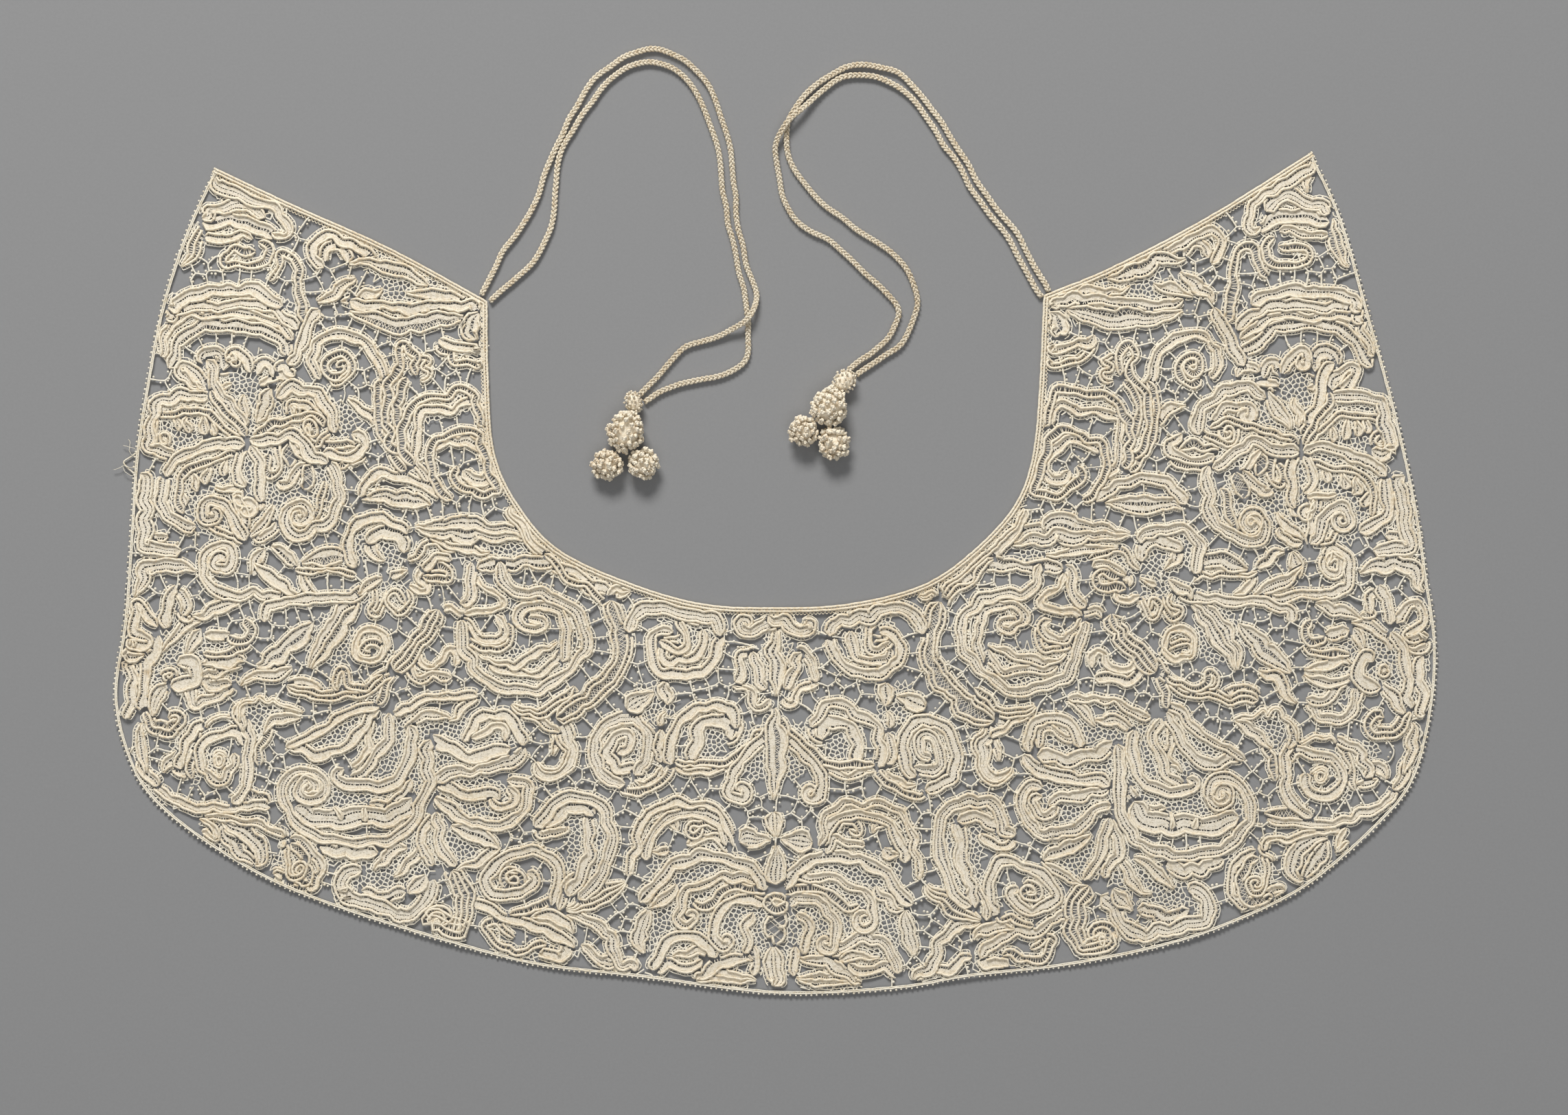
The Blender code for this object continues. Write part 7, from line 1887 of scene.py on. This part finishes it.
def plait(name, seed):
    """A cord of three plaited strands along a tie's line."""
    rng = np.random.default_rng(seed)
    line = tie_line(name)
    count = len(line)
    course = unit(np.gradient(line, axis=0))
    side = unit(np.cross(course, (0.0, 0.0, 1.0)))
    rise = np.cross(side, course)
    pitch = PLAIT_PITCH * (1 + 0.06 * np.sin(np.arange(count) / 37.0 + seed))
    phase = np.cumsum(2 * math.pi * FINE / pitch)
    sway = tremble(count, seed + 5, 0.34, 7.0)
    basket = Basket()
    for strand in range(3):
        swing = phase + 2 * math.pi * strand / 3
        across = PLAIT_SWING * np.sin(swing) + tremble(count, seed * 10 + strand, 0.03, 5.0) + sway
        over = PLAIT_DIP * np.sin(2 * swing)
        path = line + side * across[:, None] + rise * over[:, None]
        thick = STRAND_THICK * (1 + 0.07 * rng.normal(0, 1, count).clip(-1, 1))
        basket.add(*tube(path, thick, 6))
    made = basket.piece(name + "_plait", plait_look)
    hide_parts(name)
    return made, (evenly(line, 4.0) * MM).tolist(), float(run_length(line)[-1]) * MM


ties = {name: plait(name, 60 + k) for k, name in enumerate(TIE_ROUTES)}
for name, (piece, path, long) in ties.items():
    print(name, round(long * 1000, 1), "mm")

# %% [markdown]
# ## The tassels
# Each tassel is a wound neck, a pear and two berries. They are covered all over with round knots
# about 3 mm across, half that on the neck, each of which is itself made of small loops, like a
# blackberry. The smallest thing, a loop, is a ball of twenty faces. Several of them round a larger
# one make a knot, and the knots sit close over a plain core, which keeps the forms closed.

# %% One knot
LOOPS = 8
TABLE_CLEAR = 0.05


def spread(count, rng, stray):
    """Ways that spread evenly round a ball, each a little astray."""
    height = 1 - 2 * (np.arange(count) + 0.5) / count
    wide = np.sqrt(1 - height ** 2)
    turn = math.pi * (3 - math.sqrt(5)) * np.arange(count)
    ways = np.stack([wide * np.cos(turn), wide * np.sin(turn), height], 1)
    return unit(ways + rng.normal(0, stray, ways.shape))


def add_knot(basket, spot, out, size, rng):
    """One knot at a spot: loops round a ball, left away where they would not show."""
    parts = [(spot, 0.76 * size)]
    parts += [(spot + way * 0.58 * size, size * rng.uniform(0.38, 0.50))
              for way in spread(LOOPS, rng, 0.20) if way @ out > -0.2]
    for middle, radius in parts:
        add_ball(basket, middle, radius, 1.0, floor=TABLE_CLEAR)


print("one knot: a ball and up to", LOOPS, "loops")

# %% Tassel forms
KNOT = 1.48
KNOT_COUNTS = {"neck": 60, "pear": 82, "berry_a": 60, "berry_b": 62}
NECK_KNOT = 0.5
NECK_LONGER = 1.4
PEAR_TAPER = 0.28
CORE_IN = 1.75
KNOTS_IN = 0.8


def tassel_form(basket, kind, x, y, half_wide, half_long, turn, high, seed):
    """One ball or pear of knots over a plain core."""
    rng = np.random.default_rng(seed)
    c, s = math.cos(math.radians(turn)), math.sin(math.radians(turn))
    size = KNOT * (NECK_KNOT if kind == "neck" else 1.0)
    half_long += NECK_LONGER if kind == "neck" else 0.0

    def placed(ways, inset_by):
        u, v, w = ways.T
        u = u * (1.0 - PEAR_TAPER * np.maximum(v, 0)) if kind == "pear" else u
        px, py = u * (half_wide - inset_by), v * (half_long - inset_by)
        pz = 0.5 * high + w * (0.5 * high - inset_by)
        return np.stack([x + px * c - py * s, y + px * s + py * c, pz], 1)

    core, core_faces, core_map = round_ball(3)
    basket.add(placed(unit(core), CORE_IN * size), core_faces, core_map)
    for spot in placed(spread(KNOT_COUNTS[kind], rng, 0.06), KNOTS_IN * size):
        out = unit(spot - np.array([x, y, 0.5 * high]))
        add_knot(basket, spot + out * size * rng.uniform(-0.45, 0.45), out,
                 size * rng.uniform(0.80, 1.12), rng)


for side in ("left", "right"):
    basket = Basket()
    for k, (name, *shape) in enumerate(TASSEL_PARTS):
        if side in name:
            tassel_form(basket, name.split("_", 2)[2], *shape, 700 + k)
    basket.piece("tassel_" + side + "_knots", knot_look)
    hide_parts(*(row[0] for row in TASSEL_PARTS if side in row[0]))

# %% [markdown]
# ## Loose threads
# At the left edge a few threads are broken and stand out from the lace, and here and there a thin
# end has come out of its knot. They are drawn as fine threads that wander off and droop, and a
# stretch of the edge cord itself hangs out beside the tear.

# %% Loose threads
LOOSE = (
    # x, y, heading, long
    (-266, 48, 160, 7.5), (-266, 44, 190, 8.0), (-266, 41, 215, 6.0), (-265, 51, 130, 5.0),
    (-265, 38, 240, 5.0), (75, -46, 35, 5.0), (78, -44, -60, 4.0), (-219, -25, 70, 6.0),
    (-217, -27, 200, 5.0), (-120, -142, 20, 4.0), (160, -136, 80, 4.5), (210, 55, 100, 4.5),
)
TORN_EDGE = (
    (-264.8, 50.5), (-267.5, 48.5), (-270.6, 46.3), (-269.2, 44.0), (-266.6, 41.5), (-265.2, 38.0),
)
LOOSE_RADIUS = 0.14
TORN_RADIUS = 0.34
loose = Basket()
for k, (x, y, heading, long) in enumerate(LOOSE):
    rng = np.random.default_rng(400 + k)
    count = int(long / FINE) + 3
    way = np.radians(heading + np.cumsum(rng.normal(0, 16, count)))
    path = np.array([x, y]) + np.cumsum(np.stack([np.cos(way), np.sin(way)], 1) * FINE, axis=0)
    rise = 0.55 + 0.5 * np.sin(np.linspace(0, math.pi, count))
    loose.add(*tube(laid(path, rise), LOOSE_RADIUS, 4))
torn_line = through(TORN_EDGE, FINE)
loose.add(*tube(np.column_stack([torn_line, np.full(len(torn_line), 0.9)]), TORN_RADIUS, 5))
loose_piece = loose.piece("loose_threads", fine_look)

# %% [markdown]
# ## Saying what each piece is
# The lace is one sheet, laid flat. Its flat size is the size of the whole collar, and its area
# leaves out the neckline and the open ground between the bars. Each strand of a tie is a free cord
# of known length that starts at a neck corner and ends in its tassel's knot.

# %% Declarations
for name, (piece, path, long) in ties.items():
    side = "left" if "left" in name else "right"
